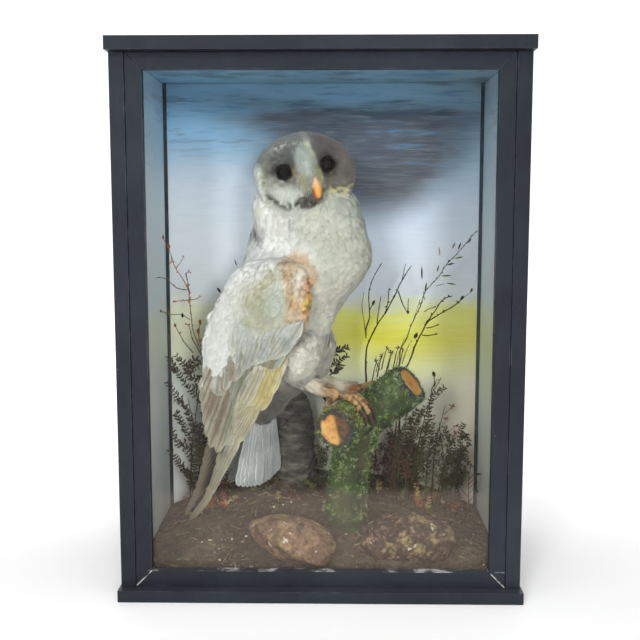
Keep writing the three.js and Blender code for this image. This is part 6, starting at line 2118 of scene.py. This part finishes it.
def off_eye(P, r):
    return (np.linalg.norm(P - EYES[0], axis=1) > r) & (np.linalg.norm(P - EYES[1], axis=1) > r)


def off_bill(P):
    x, f, u, a, w = coords(P)
    return ~((np.abs(x - 2.8) < 3.8) & (u < -4) & (u > -14) & (f > 20))


def soft_edge(a):
    """Height on the right wing below which the quills lie bare."""
    return np.interp(a, [-118, -106, -95, -78, -60, -44, -25, 0, 10], [176, 180, 186, 203, 217, 224, 229, 234, 238]) + 3 * vnoise(np.stack([a / 5, 0 * a, 0 * a], -1), 5)


# body and head outside the disc
def want_body(P, N, lab):
    x, f, u, a, w = coords(P)
    z = P[:, 2]
    head = (lab == 1) & ~is_disc(P, lab)
    trunk = (lab == 0) & (z > 132)
    wing = (lab == 2) & ((z > soft_edge(a)) | (w < -12) & (z > 180))
    left = (lab == 3) & (z > 205)
    thigh = (lab == 4) | (lab == 5)
    return head | trunk | wing | left | thigh


def size_len(P, lab):
    x, f, u, a, w = coords(P)
    L = np.where(lab == 1, lerp(7.0, 12.0, smooth(1.0, 1.9, disc_rho(x, u)) * smooth(20, -40, u)), 17.0)
    L = np.where(lab == 1, np.maximum(L, lerp(7, 13, smooth(0, -40, f))), L)
    L = np.where((lab == 2) | (lab == 3), lerp(8.0, 15.0, smooth(-5, 60, wing_q(a, P[:, 2]))), L)
    L = np.where((lab == 4) | (lab == 5) | (lab == 0) & (P[:, 2] < 235), 20.0, L)
    return np.where((lab == 0) & (P[:, 2] > 330), 14.0, L)


def size_wid(P, lab):
    return size_len(P, lab) * np.where(lab == 1, 0.46, 0.4)


def size_lift(P, lab):
    x, f, u, a, w = coords(P)
    h = np.where(lab == 1, 2.2, 2.7)
    h = np.where((lab == 2) | (lab == 3), 1.9, h)
    return np.where((lab == 4) | (lab == 5) | (lab == 0) & (P[:, 2] < 235), 4.6, h)


lay("coat_body", BODY, want_body, body_label, 2.2, size_len, size_wid, size_lift, lambda P, lab: 0.06 * size_wid(P, lab), over=15, bend=0.09,
    dens=lambda P, lab: np.where(lab == 1, 0.84, 1.0))
# the facial disc: short, stiff and hair-like
lay("coat_disc", BODY, lambda P, N, lab: is_disc(P, lab) & off_eye(P, EYE_R + 1.2) & off_bill(P), body_label, 1.15,
    lambda P, lab: lerp(2.6, 5.2, smooth(7, 20, np.minimum(np.linalg.norm(P - EYES[0], axis=1), np.linalg.norm(P - EYES[1], axis=1)))),
    lambda P, lab: np.full(len(P), 1.15), lambda P, lab: np.full(len(P), 1.15), lambda P, lab: np.full(len(P), 0.12), template=FINE, over=8, bend=0.12,
    where=lambda c: (np.linalg.norm(c - in_head(0, 22, 0), axis=1) < 52) * 1.0 + 1e-9)
# the ruff round it: small scale-like feathers that stand up
lay("coat_ruff", BODY, lambda P, N, lab: near_ruff(P, lab), body_label, 1.9, lambda P, lab: np.full(len(P), 5.6),
    lambda P, lab: np.full(len(P), 2.9), lambda P, lab: np.full(len(P), 2.1), lambda P, lab: np.full(len(P), 0.35), over=6,
    where=lambda c: (np.linalg.norm(c - in_head(0, 12, 0), axis=1) < 58) * 1.0 + 1e-9)
# shanks, down to the toes
LEGS_S = Surface(np.concatenate([legs[s][0] for s in ("right", "left")]), np.concatenate([legs["right"][1], legs["left"][1] + len(legs["right"][0])]))


def leg_label(P):
    return np.where((P - LOG_END) @ LOG_AXIS < 58, 6, 7)


def on_shank(P, N, lab):
    return (P[:, 0] < np.where(lab == 6, 6, 30)) & (P[:, 2] < 196)


lay("coat_shanks", LEGS_S, on_shank, leg_label, 1.5, lambda P, lab: np.full(len(P), 8.5), lambda P, lab: np.full(len(P), 2.3),
    lambda P, lab: np.full(len(P), 2.3), lambda P, lab: np.full(len(P), 0.2), template=FINE, over=20, bend=0.1)

# ------------------------------------------------------------------ the owl: flight feathers and the rows of coverts
class Quills:
    """Long feathers as closed, cambered vanes with a raised shaft and a split, slightly ragged edge."""

    def __init__(self):
        self.V, self.F, self.C, self.n, self.seed = [], [], [], 0, 100

    def add(self, place, path, left, right, off, camber, thick, color, rows=30, cols=11, blunt=0.12, point=0.0, ragged=0.05, base=0.22, shaft=0.35, droop=0.0):
        """path: 2-D points in the wing's own plane. left, right: half widths. off: how far out of the plane."""
        self.seed += 1
        r = np.random.default_rng(self.seed)
        t = np.linspace(0, 1, rows)
        C2, _ = curve([vec(p[0], p[1], 0) for p in path], rows)
        C2 = C2[:, :2]
        d = unit(np.gradient(C2, axis=0))
        nrm = np.stack([-d[:, 1], d[:, 0]], -1)
        w = (base + (1 - base) * smooth(0, 0.28, t)) * (1 - point * smooth(0.45, 1, t)) * np.sqrt(np.clip(1 - np.clip((t - 1 + blunt) / blunt, 0, 1) ** 2, 0.0, 1))
        s = np.linspace(-1, 1, cols)
        ss = np.sign(s) * np.abs(s) ** 0.85
        rag = 1 + ragged * vnoise(np.stack([t * 26, 0 * t + self.seed, 0 * t], -1), 3)[:, None] * (np.abs(ss) > 0.75)
        for _ in range(2):  # a split or two in the web
            at = r.uniform(0.35, 0.92)
            sd = r.choice([-1, 1])
            rag = rag * (1 - 0.38 * (np.exp(-((t - at) / 0.012) ** 2))[:, None] * ((ss * sd) > 0.55))
        W = np.where(ss < 0, left, right)[None] * ss[None] * w[:, None] * rag
        A = C2[:, None] + nrm[:, None] * W[..., None]
        prof = camber * (1 - ss**2)[None] * (0.4 + 0.6 * w[:, None]) + 0.0
        rach = shaft * np.exp(-((ss / 0.07) ** 2))[None] * (1 - 0.6 * t[:, None])
        barb = 0.06 * np.sin(t[:, None] * rows * 2.4 - np.abs(ss)[None] * 5.0)
        wave_ = 0.5 * vnoise(np.stack([t * 4, 0 * t + self.seed, 0 * t], -1), 12)[:, None] * np.abs(ss)[None]
        barb = barb + wave_
        offs = np.broadcast_to(off(t) if callable(off) else off, t.shape)[:, None] + prof - droop * (t**2)[:, None]
        top = place(A[..., 0].ravel(), A[..., 1].ravel(), (offs + rach + barb).ravel())
        und = place(A[..., 0].ravel(), A[..., 1].ravel(), (offs - thick * (1 - 0.55 * np.abs(ss)[None] ** 2) - 0.35 * rach).ravel())
        n = rows * cols
        F1 = grid_faces(rows, cols)
        F2 = F1[:, ::-1] + n
        # closes the rim
        loop = np.concatenate([np.arange(cols), np.arange(1, rows) * cols + cols - 1, (rows - 1) * cols + np.arange(cols - 2, -1, -1), np.arange(rows - 2, 0, -1) * cols])
        nx_ = np.roll(loop, -1)
        F3 = np.stack([loop, loop + n, nx_ + n, nx_], -1)
        P = np.concatenate([top, und])
        T = np.repeat(t, cols)
        Sx = np.tile(ss, rows)
        col = color(T, Sx, top)
        self.V.append(P)
        self.F += [np.concatenate([F1, F2, F3]) + self.n]
        # the underside takes the top colour at 0.85: painted shade
        self.C.append(np.concatenate([col, col * 0.85]))
        self.n += 2 * n

    def build(self, name, material):
        return mesh_object(name, np.concatenate(self.V), np.concatenate(self.F), material, colors={"tint": np.concatenate(self.C)})


def vane_color(base, edge, shaftc, stripe=None, bars=0.0, barc=None, seed=0, lines=0.25, tipc=None, basec=None):
    base, edge, shaftc = (np.array(srgb(*c)[:3]) for c in (base, edge, shaftc))

    def fn(T, S, P):
        n = len(T)
        c = np.tile(base, (n, 1))
        a = np.abs(S)
        if basec is not None:
            c = mixc(c, srgb(*basec), smooth(0.5, 0.1, T))
        fine = vnoise(np.stack([T * 7, S * 9 + seed, 0 * T + seed], -1), 5)
        c = c * (1 + lines * 0.35 * fine)[:, None]
        if stripe is not None:
            c = mixc(c, srgb(*stripe), bump(S - 0.12, 0.42) * (0.55 + 0.45 * smooth(-0.4, 0.4, fine)))
        if bars:
            b = np.sin(T * 6.28 * 4.2 + seed) ** 2
            c = mixc(c, srgb(*(barc or (140, 122, 104))), bars * smooth(0.62, 0.9, b) * (0.5 + 0.5 * smooth(-0.3, 0.3, fine)))
        # thin dark lines where webs part
        ln = np.sin(S * 17 + 2.1 * seed + 3 * vnoise(np.stack([T * 3, S * 0, 0 * T + seed], -1), 6))
        c = mixc(c, srgb(118, 108, 92), lines * smooth(0.82, 0.97, ln))
        c = mixc(c, edge, smooth(0.72, 0.95, a) * 0.5)
        if tipc is not None:
            c = mixc(c, srgb(*tipc), smooth(0.8, 0.98, T) * 0.8)
        c = mixc(c, shaftc, smooth(0.085, 0.03, a) * 0.9)
        # the whole vane darker, to about 0.6, and a little blotchy
        vane_darkening = 0.6 + 0.1 * vnoise(P / 14, 19) + 0.06 * vnoise(P / 4, 23)
        return np.clip(c * vane_darkening[:, None], 0.003, 0.95)

    return fn


def edge_of(P, n=60):
    P = np.array(P, float)
    s = np.concatenate([[0], np.cumsum(np.linalg.norm(np.diff(P, axis=0), axis=1))])
    x = np.linspace(0, s[-1], n)
    return np.stack([np.interp(x, s, P[:, k]) for k in (0, 1)], -1)


m = Mat("flight_vane")
c = m.attr("tint")
web = m.noise(1100, 2, 0.6)
mot = m.noise(130, 4, 0.65)
c2 = m.mix(m.math("MULTIPLY", m.range(web, 0.45, 0.7), 0.18), c, (0.7, 0.68, 0.62, 1), "MULTIPLY")
c2 = m.mix(m.math("MULTIPLY", m.range(mot, 0.5, 0.72), 0.22), c2, (0.72, 0.68, 0.6, 1), "MULTIPLY")
m.surface(Base_Color=c2, Roughness=0.62, Normal=m.bump(web, 0.3, 0.0003))
m.put(m.b.inputs["Specular IOR Level"], 0.22)
m.put(m.b.inputs["Sheen Weight"], 0.1)
VANE = m.m

# right primaries: eight blades fanned between the two edges of the folded hand
R_EDGE = edge_of([(-22, 214), (-34, 187), (-44, 163), (-53, 147), (-75, 115), (-98, 82), (-118, 54), (-139, 29)])
L_EDGE = edge_of([(-40, 214), (-56, 188), (-72, 160), (-90, 131), (-104, 108), (-115, 84), (-122, 65), (-133, 46)])
Q = Quills()
K = 9
for k in range(K):
    f = (k + 0.35) / K
    e = [1.0, 0.985, 0.93, 0.87, 0.81, 0.75, 0.69, 0.63, 0.57][k]
    full = R_EDGE * (1 - f) + L_EDGE * f
    path = full[np.linspace(2, 59 * e, 8).astype(int)]
    path = path + np.array([-1.0, 0.4]) * (3.4 if k == 0 else 1.6)
    base = [(196, 190, 164), (206, 200, 176), (210, 206, 184), (204, 199, 176), (212, 206, 186), (200, 194, 170), (206, 201, 180), (198, 193, 170), (204, 199, 178)][k]
    Q.add(primary_at, path, 4.8 if k else 5.4, 5.4 if k else 3.2, lambda t, k=k: -1.7 + 0.34 * k + 0.3 * np.sin(3 * t) + 10.5 * smooth(0.0, 0.1, t) * smooth(0.85, 0.4, t), 0.9, 0.7,
          vane_color(base, (228, 224, 206), (172, 156, 124), bars=0.2, barc=(150, 138, 112), seed=k, lines=0.7, basec=(186, 172, 108) if k < 5 else None, tipc=(176, 164, 138)),
          rows=44, blunt=0.09, point=0.42, ragged=0.05)
piece(Q.build("primaries_right", VANE), "flight_feather", "owl_primaries_right")


def right_top(a, z, off=0.0):
    return wing_at(a, z, np.maximum(1.1, wing_thick(a, z) - 2.0) + off)


# secondaries, then the greater coverts over them; the soft coat lies over the roots of those
Q = Quills()
TIPS = edge_of([(-47, 184), (-57, 166), (-70, 147), (-82, 131), (-92, 118), (-101, 110), (-107, 113), (-111, 120), (-114, 130), (-116, 142), (-117.5, 156), (-118, 170)], 15)
BASES = edge_of([(-14, 228), (-50, 230), (-96, 226)], 15)
for k in range(15):
    b, t_ = BASES[k], TIPS[k]
    mid = (b + t_) / 2 + np.array([3.2, 1.6]) + rng.normal(size=2) * 0.5
    outer_ = k >= 9
    base = [(186, 190, 172), (174, 180, 162), (192, 192, 174)][k % 3] if not outer_ else [(214, 208, 192), (176, 160, 142)][k % 2]
    col = vane_color(base, (214, 214, 198) if not outer_ else (222, 216, 200), (142, 130, 104), stripe=((122, 98, 84) if k < 13 else (204, 196, 176)) if outer_ else ((140, 142, 122) if k % 2 else (158, 158, 138)),
                     bars=0.22 if not outer_ else 0.1, barc=(134, 128, 108), seed=k + 20, lines=0.6, tipc=(206, 198, 172))
    Q.add(right_top, [b, mid, t_], 6.9, 6.9, lambda t, k=k: 0.25 + 0.1 * k + 0.4 * t - (3.6 * smooth(0.6, 0.25, t) if k >= 8 else 0), 0.7, 0.8, col, rows=34, blunt=0.14, ragged=0.07, shaft=0.18)
for k in range(15):
    f = k / 14
    b = np.array([lerp(2, -94, f), np.interp(lerp(2, -94, f), [-118, -95, -78, -60, -44, -25, 0, 10], [190, 194, 208, 222, 232, 238, 243, 246]) + 6])
    d = unit(np.array([lerp(-0.60, -0.12, f), lerp(-0.82, -0.99, f)]))
    L = lerp(42, 34, f) * rng.uniform(0.9, 1.1)
    base = [(196, 202, 196), (186, 193, 188), (203, 204, 192)][k % 3] if k < 10 else [(220, 218, 208), (196, 186, 168)][k % 2]
    col = vane_color(base, (216, 217, 208), (166, 162, 144), stripe=(160, 162, 146) if k % 3 == 0 else ((150, 128, 110) if k >= 11 else None), seed=k + 50, lines=0.5,
                     tipc=(210, 204, 180), basec=(200, 203, 194))
    Q.add(right_top, [b, b + d * L * 0.5 + np.array([1.8, 0.8]), b + d * L], 6.8, 6.8, lambda t, k=k: 1.3 + 0.07 * k + 0.5 * t - 3.0 * smooth(0.42, 0.05, t), 0.6, 0.6, col, rows=24, blunt=0.26, ragged=0.09, shaft=0.14)
# primary coverts over the root of the hand, stained yellow
for k in range(8):
    f = k / 7
    b = np.array([lerp(-16, -38, f), lerp(218, 214, f)])
    e_ = np.array([lerp(-44, -64, f), lerp(160, 166, f)]) + rng.normal(size=2) * 1.5
    col = vane_color((204, 194, 142) if k < 5 else (206, 204, 184), (216, 210, 184), (176, 156, 106), stripe=(190, 170, 98) if k < 5 else (186, 184, 160), seed=k + 120, lines=0.5, basec=(212, 206, 190),
                     tipc=(202, 196, 160))
    Q.add(lambda a, z, off=0.0: primary_at(a, z, 4.2 + 2.0 * smooth(170, 225, z) + off), [b, (b + e_) / 2 + np.array([2.0, 1.0]), e_], 5.4, 5.4,
          lambda t, k=k: 7.0 + 0.2 * k - 6.0 * smooth(0.3, 0.0, t), 0.7, 0.6, col, rows=22, blunt=0.3, ragged=0.1, shaft=0.14)
piece(Q.build("secondaries_and_coverts_right", VANE), "flight_feather")

# left wing
Q = Quills()
LR = edge_of([(-62, 176), (-86, 138), (-116, 100), (-146, 67), (-174, 33)])
LL = edge_of([(-84, 178), (-112, 150), (-138, 120), (-157, 86), (-172, 52)])
for k in range(8):
    f = (k + 0.4) / 8
    e = [1.0, 0.97, 0.93, 0.88, 0.83, 0.78, 0.73, 0.68][k]
    full = LR * (1 - f) + LL * f
    path = full[np.linspace(1, 59 * e, 8).astype(int)] + np.array([-1.2, 0.6])
    Q.add(lambda a, z, off=0.0: left_at(a, z, -4.5 + off), path, 4.6, 4.8, lambda t, k=k: 1.2 - 0.38 * k, 0.7, 0.7,
          vane_color((128, 112, 98) if k < 5 else (150, 134, 116), (214, 204, 184), (176, 160, 136), bars=0.4, barc=(96, 82, 72), seed=k + 160, lines=0.4, tipc=(198, 186, 160)),
          rows=40, blunt=0.1, point=0.4)
TL = edge_of([(-30, 202), (-48, 184), (-74, 158), (-96, 138), (-114, 120), (-124, 130), (-128, 146), (-128, 168)], 12)
BL = edge_of([(-20, 262), (-60, 268), (-108, 252)], 12)
for sgn, lay_ in ((1, 0), (-1, 1)):
    for k in range(12):
        b, t_ = BL[k], TL[k]
        Q.add(lambda a, z, off=0.0, sgn=sgn: left_at(a, z, sgn * (1.6 + np.maximum(0, left_thick(a, z) - 2.4) * 0.7) + off * sgn), [b, (b + t_) / 2 + np.array([2, 1]), t_], 7, 7,
              lambda t, k=k: 0.2 + 0.22 * k, 1.0, 0.7, vane_color((206, 190, 156) if lay_ == 0 else (222, 218, 206), (226, 218, 198), (170, 150, 120), bars=0.35 if lay_ == 0 else 0.1, barc=(142, 122, 96), seed=k + 190),
              rows=26, blunt=0.16)
for k in range(13):
    f = k / 12
    b = np.array([lerp(-8, -106, f), lerp(276, 270, f)])
    d = unit(np.array([lerp(-0.45, -0.12, f), -0.93]))
    Q.add(lambda a, z, off=0.0: left_at(a, z, 2.2 + np.maximum(0, left_thick(a, z) - 2.4) * 0.8 + off), [b, b + d * 24 + np.array([1, 0.5]), b + d * 48], 6, 6,
          lambda t, k=k: 2.6 + 0.12 * k, 1.0, 0.6, vane_color((212, 190, 146), (222, 212, 190), (160, 140, 112), bars=0.25, barc=(140, 126, 112), seed=k + 220), rows=20, blunt=0.22)
piece(Q.build("flight_left", VANE), "flight_feather", "owl_primaries_left")


# tail: twelve feathers in a shallow fan
def tail_at(s, z, off=0.0):
    P = vec(-60, 27, 0) + np.multiply.outer(s, RGT) + np.multiply.outer(z, UPZ)
    return P + np.multiply.outer(-0.06 * (150 - z) - 0.0016 * s * s + off, FWD)


Q = Quills()
for k in range(12):
    f = (k - 5.5) / 5.5
    b = np.array([f * 9, 156.0])
    e_ = np.array([f * 34.5, 65.5 + 6.5 * abs(f) ** 2])
    mid = (b + e_) / 2 + np.array([f * 1.2, 0])
    order = abs(k - 5.5)
    Q.add(tail_at, [b, mid, e_], 7.6, 7.6, lambda t, order=order: 1.2 - 0.22 * order, 0.14, 0.45,
          vane_color((240, 246, 243) if k % 2 else (246, 250, 246), (250, 252, 250), (232, 234, 226), bars=0.12, barc=(214, 218, 212), seed=k + 250, lines=0.14), rows=34, blunt=0.14, base=0.6, shaft=0.05, ragged=0.07)
piece(Q.build("tail_fan", VANE), "flight_feather", "owl_tail")
print("flight feathers", round(time.time() - T0, 1))

# ------------------------------------------------------------------ eyes, bill, claws
m = Mat("eye_dark_glass")
s = m.coords((1, 1, 1))
m.surface(Base_Color=m.mix(m.range(m.noise(90, 4), 0.4, 0.65), srgb(6, 5, 5), srgb(17, 12, 10)), Roughness=0.12)
m.put(m.b.inputs["Specular IOR Level"], 0.1)
m.put(m.b.inputs["Coat Weight"], 0.22)
m.put(m.b.inputs["Coat Roughness"], 0.05)
EYE_GLASS = m.m
for side, sx in (("right", -1), ("left", 1)):
    c0 = in_head(sx * EYE_X, EYE_F, EYE_U)

    def eye_fn(U, c0=c0, sx=sx):
        look = unit(HF + 0.16 * sx * HX)
        d = np.clip(U @ look, -1, 1)
        # the cornea stands a little proud of the ball
        return c0 + U * (EYE_R * (1 - 0.012 + 0.02 * smooth(0.62, 0.95, d)))[:, None]

    V_, F_ = ball_mesh(eye_fn, 72, 48)
    piece(mesh_object(f"eye_{side}", V_, clean_faces(F_), EYE_GLASS), "eye_glass", f"owl_eye_{side}")

BILL = Path([in_head(3.9, 23, 2), in_head(4.2, 29, -3.5), in_head(4.3, 35.6, -11), in_head(3.9, 34.6, -20.5)])
u = np.linspace(0, 1, 70)
ph = np.arange(48) / 48 * 2 * math.pi
e1, e2 = BILL.frame(u, HX)
r = table([[0, 3.4, 3.4], [0.35, 4.3, 4.1], [0.55, 4.1, 3.8], [0.75, 3.0, 2.8], [0.9, 1.7, 1.6], [1, 0.4, 0.4]])(u)
C = BILL.at(u)
front = np.einsum("ij,j->i", e2, HF)
sgn = 1 if front.mean() > 0 else -1
co, si = np.cos(ph), np.sin(ph) * sgn
keelr = 1 + 0.16 * np.maximum(0, si) ** 8 - 0.08 * np.maximum(0, -si)
X = r[:, :1] * (np.sign(co) * np.abs(co) ** 1.12)[None]
Y = r[:, 1:2] * (si * keelr)[None]
rough_ = 0.05 * fbm(np.stack([u[:, None] * 30 + 0 * ph[None], ph[None] * 2 + 0 * u[:, None], 0 * X], -1), 4, 3)
V_ = C[:, None] + (X * (1 + rough_))[..., None] * e1[:, None] + (Y * (1 + rough_))[..., None] * (e2 * sgn)[:, None]
n = 70 * 48
V_ = np.concatenate([V_.reshape(-1, 3), C[:1], C[-1:]])
ring = np.arange(48)
nxt = (ring + 1) % 48
F_ = [grid_faces(70, 48, True), np.concatenate([np.stack([ring * 0 + n, nxt, ring], -1), np.stack([ring * 0 + n + 1, 69 * 48 + ring, 69 * 48 + nxt], -1)])]
uu = np.repeat(u, 48)
pp = np.tile(si, 70)
cc = np.tile(co, 70)
bc = np.tile(np.array(srgb(214, 142, 66)[:3]), (n, 1))
bc = mixc(bc, srgb(206, 170, 146), smooth(0.62, 0.46, uu) * 0.95)
bc = mixc(bc, srgb(206, 196, 128), smooth(0.5, 0.2, uu) * smooth(0.5, 0.9, cc) * 0.7)
bc = mixc(bc, srgb(96, 42, 34), smooth(0.8, 0.92, uu) * 0.95)
bc = mixc(bc, srgb(226, 170, 92), bump(uu - 0.55, 0.16) * smooth(0.6, 1, pp) * 0.6)
bc = mixc(bc, srgb(84, 50, 40), bump(np.hypot((uu - 0.27) / 0.035, (np.abs(cc) - 0.8) / 0.18), 1.0) * smooth(0.1, 0.4, pp) * 0.9)
bc = np.concatenate([bc, bc[:1], bc[-1:]])
B1 = Heap()
B1.add(V_, F_[0], None)
lower = Path([in_head(2, 27, -8), in_head(2, 32.5, -13), in_head(2, 33.0, -18.5)])
ul = np.linspace(0, 1, 24)
g1, g2 = lower.frame(ul, HX)
rl = table([[0, 3.0, 1.4], [0.6, 2.4, 1.3], [1, 0.7, 0.6]])(ul)
VL = lower.at(ul)[:, None] + rl[:, None, :1] * np.cos(ph)[None, :, None] * g1[:, None] + rl[:, None, 1:2] * np.sin(ph)[None, :, None] * g2[:, None]
m = Mat("bill_horn")
c = m.attr("tint")
n1 = m.noise(1.0, 5, 0.65, m.coords((900, 900, 240)))
m.surface(Base_Color=m.mix(m.math("MULTIPLY", m.range(n1, 0.5, 0.7), 0.3), c, (0.66, 0.5, 0.4, 1), "MULTIPLY"), Roughness=0.38, Normal=m.bump(n1, 0.2, 0.0003))
m.put(m.b.inputs["Subsurface Weight"], 0.2)
m.put(m.b.inputs["Subsurface Radius"], (0.002, 0.0008, 0.0004))
nl = 24 * 48
Vall = np.concatenate([V_, VL.reshape(-1, 3)])
Fall = [np.concatenate([F_[0], grid_faces(24, 48, True) + n + 2]), F_[1]]
lc = np.tile(np.array(srgb(150, 84, 56)[:3]), (nl, 1))
piece(mesh_object("bill_horn", Vall, Fall, m.m, colors={"tint": np.concatenate([bc, lc])}), "beak", "owl_bill")

CL = Heap()
for side in ("right", "left"):
    for t_ in LEGS[side]["toes"]:
        p = Path(claw_path(side, t_))
        uu = np.linspace(0, 1, 26)
        V_, F_ = tube(p.at(uu), table([[0, 2.25], [0.3, 1.95], [0.6, 1.4], [0.85, 0.8], [1, 0.3]])(uu)[:, 0], 18)
        col = mixc(np.tile(np.array(srgb(66, 44, 34)[:3]), (len(V_), 1)), srgb(26, 20, 18), np.concatenate([np.repeat(uu, 18), [0, 1]]))
        CL.add(V_, F_, col)
m = Mat("claw_horn")
c = m.attr("tint")
n1 = m.noise(600, 4, 0.6)
m.surface(Base_Color=m.mix(m.math("MULTIPLY", m.range(n1, 0.45, 0.7), 0.4), c, (1.5, 1.35, 1.2, 1), "MULTIPLY"), Roughness=0.3, Normal=m.bump(n1, 0.15, 0.0002))
piece(CL.build("claws", m.m), "claw", *[f"owl_claw_{s}_{t}" for s in ("right", "left") for t in ("inner", "middle", "outer", "hind")])

# stiff hairs about the bill and chin, and down over its root
P, N = BODY.sample(rng, 16000, lambda c: (np.linalg.norm(c - in_head(2, 30, -3), axis=1) < 17) * 1.0 + 1e-9)
x, f, u = head_xfu(P)
ok = (f > 18) & (np.hypot((x - 2.5), (u + 2)) < 13) & ((np.abs(x - 2.8) > 2.6) | (u > -4))
P, N, x, u = P[ok][:1500], N[ok][:1500], x[ok][:1500], u[ok][:1500]
n = len(P)
d = unit(HF * 0.45 - np.outer(rng.uniform(0.6, 1.2, n), HU) + np.outer(np.sign(x - 2.5) * rng.uniform(-0.1, 0.5, n), HX))
L = rng.uniform(3.0, 6.2, n)
t = np.linspace(0, 1, 4)
ref = unit(np.cross(d, N))
UVB = unwrap(P, N, np.ones(n, int))
HV, HFc, HC, HU_ = [], [], [], []
for j, tt in enumerate(t):
    c = P - N * 0.3 + d * (L * tt)[:, None] - HU * (0.2 * L * tt * tt)[:, None]
    w = lerp(0.17, 0.03, tt)
    for s_ in range(3):
        an = s_ * 2 * math.pi / 3
        HV.append(c + w * (math.cos(an) * ref + math.sin(an) * np.cross(d, ref)))
        HU_.append(UVB + np.array([math.cos(an) * 0.0008, (tt - 0.5) * 0.0026]))
HV = np.stack(HV, 1)
for j in range(3):
    for s_ in range(3):
        a_, b_ = j * 3 + s_, j * 3 + (s_ + 1) % 3
        HFc.append([a_, b_, b_ + 3, a_ + 3])
HFc = (np.array(HFc)[None] + (np.arange(n) * 12)[:, None, None]).reshape(-1, 4)
field = owl_color(P, np.ones(n, int))
pale_ = rng.random(n) < 0.5
colr = np.where((pale_ & (u > -8))[:, None], np.array(srgb(204, 200, 170)[:3]) * 0.85, field * rng.uniform(0.55, 1.0, (n, 1)))
# below the bill the darker bristles carry on the partly painted shade under it
colr = np.where((u <= -8)[:, None] & ~pale_[:, None], np.array(srgb(74, 60, 56)[:3]), colr)
ob = mesh_object("face_bristles", HV.reshape(-1, 3), HFc, PLUMAGE, uv=np.stack(HU_, 1).reshape(-1, 2), colors={"tint": np.repeat(colr, 12, 0)})
piece(ob, "plumage")
print("owl done", round(time.time() - T0, 1))

# ------------------------------------------------------------------ studio
def area(name, at, look, size, power, color=(1, 1, 1)):
    d = bpy.data.lights.new(name, "AREA")
    d.shape = "RECTANGLE"
    d.size, d.size_y = size
    d.energy = power
    d.color = color
    o = bpy.data.objects.new(name, d)
    SCENE.collection.objects.link(o)
    o.location = at
    o.rotation_mode = "QUATERNION"
    o.rotation_quaternion = (Vector(look) - Vector(at)).to_track_quat("-Z", "Y")
    return o


key = area("key", (-0.66, -2.3, 0.78), (0, 0, 0.25), (0.5, 0.5), 25.5)
key.visible_glossy = False
# a soft spot kept on the case
d = bpy.data.lights.new("front_spot", "SPOT")
d.energy = 95
d.spot_size = math.radians(24)
d.spot_blend = 0.7
d.shadow_soft_size = 0.2
front = bpy.data.objects.new("front_spot", d)
SCENE.collection.objects.link(front)
front.location = (0.42, -2.1, 0.62)
front.rotation_mode = "QUATERNION"
front.rotation_quaternion = (Vector((-0.01, 0, 0.25)) - front.location).to_track_quat("-Z", "Y")
front.visible_glossy = False
area("catch", (-0.5, -1.9, 1.3), (0, 0, 0.3), (0.5, 0.5), 6)
area("top", (0, -0.9, 2.2), (0, -0.35, 0), (2.0, 1.2), 15)

world = bpy.data.worlds.new("studio")
SCENE.world = world
world.use_nodes = True
world.node_tree.nodes["Background"].inputs[0].default_value = (1, 1, 1, 1)
world.node_tree.nodes["Background"].inputs[1].default_value = 0.5

# floor that sweeps up behind
t = np.linspace(0, 1, 40)
ys = np.concatenate([[-4.0], [2.8], 2.8 + 0.8 * np.sin(t * math.pi / 2), [3.6]])
zs = np.concatenate([[0], [0], 0.8 - 0.8 * np.cos(t * math.pi / 2), [5.0]])
V_ = np.array([[x, y, z] for y, z in zip(ys, zs) for x in (-6.0, 6.0)])
V_[:, 2] -= 0.0002
n = len(ys)
F_ = np.array([[2 * i, 2 * i + 1, 2 * i + 3, 2 * i + 2] for i in range(n - 1)])
m = Mat("studio_white")
# the backdrop glows evenly
Y_ = m.xyz()[1]
far = m.math("ADD", m.math("MULTIPLY", m.range(Y_, -0.1, 0.5), 0.5), m.math("MULTIPLY", m.range(Y_, 0.5, 2.6), 0.5))
m.surface(Base_Color=(0.93, 0.93, 0.935, 1), Roughness=0.9)
m.put(m.b.inputs["Emission Color"], (1, 1, 1, 1))
m.put(m.b.inputs["Base Color"], m.mix(m.range(Y_, 1.0, 3.0), (0.94, 0.94, 0.94, 1), (0.3, 0.3, 0.3, 1)))
m.put(m.b.inputs["Emission Strength"], m.math("ADD", m.math("MULTIPLY", far, 0.9), 0.06))
m.put(m.b.inputs["Specular IOR Level"], 0.1)
floor = mesh_object("floor", V_, F_, m.m, scale=1.0)

SCENE.view_settings.view_transform = "Standard"
SCENE.view_settings.look = "None"
SCENE.view_settings.exposure = 0.0

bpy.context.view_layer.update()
print("built in", round(time.time() - T0, 1), "s")
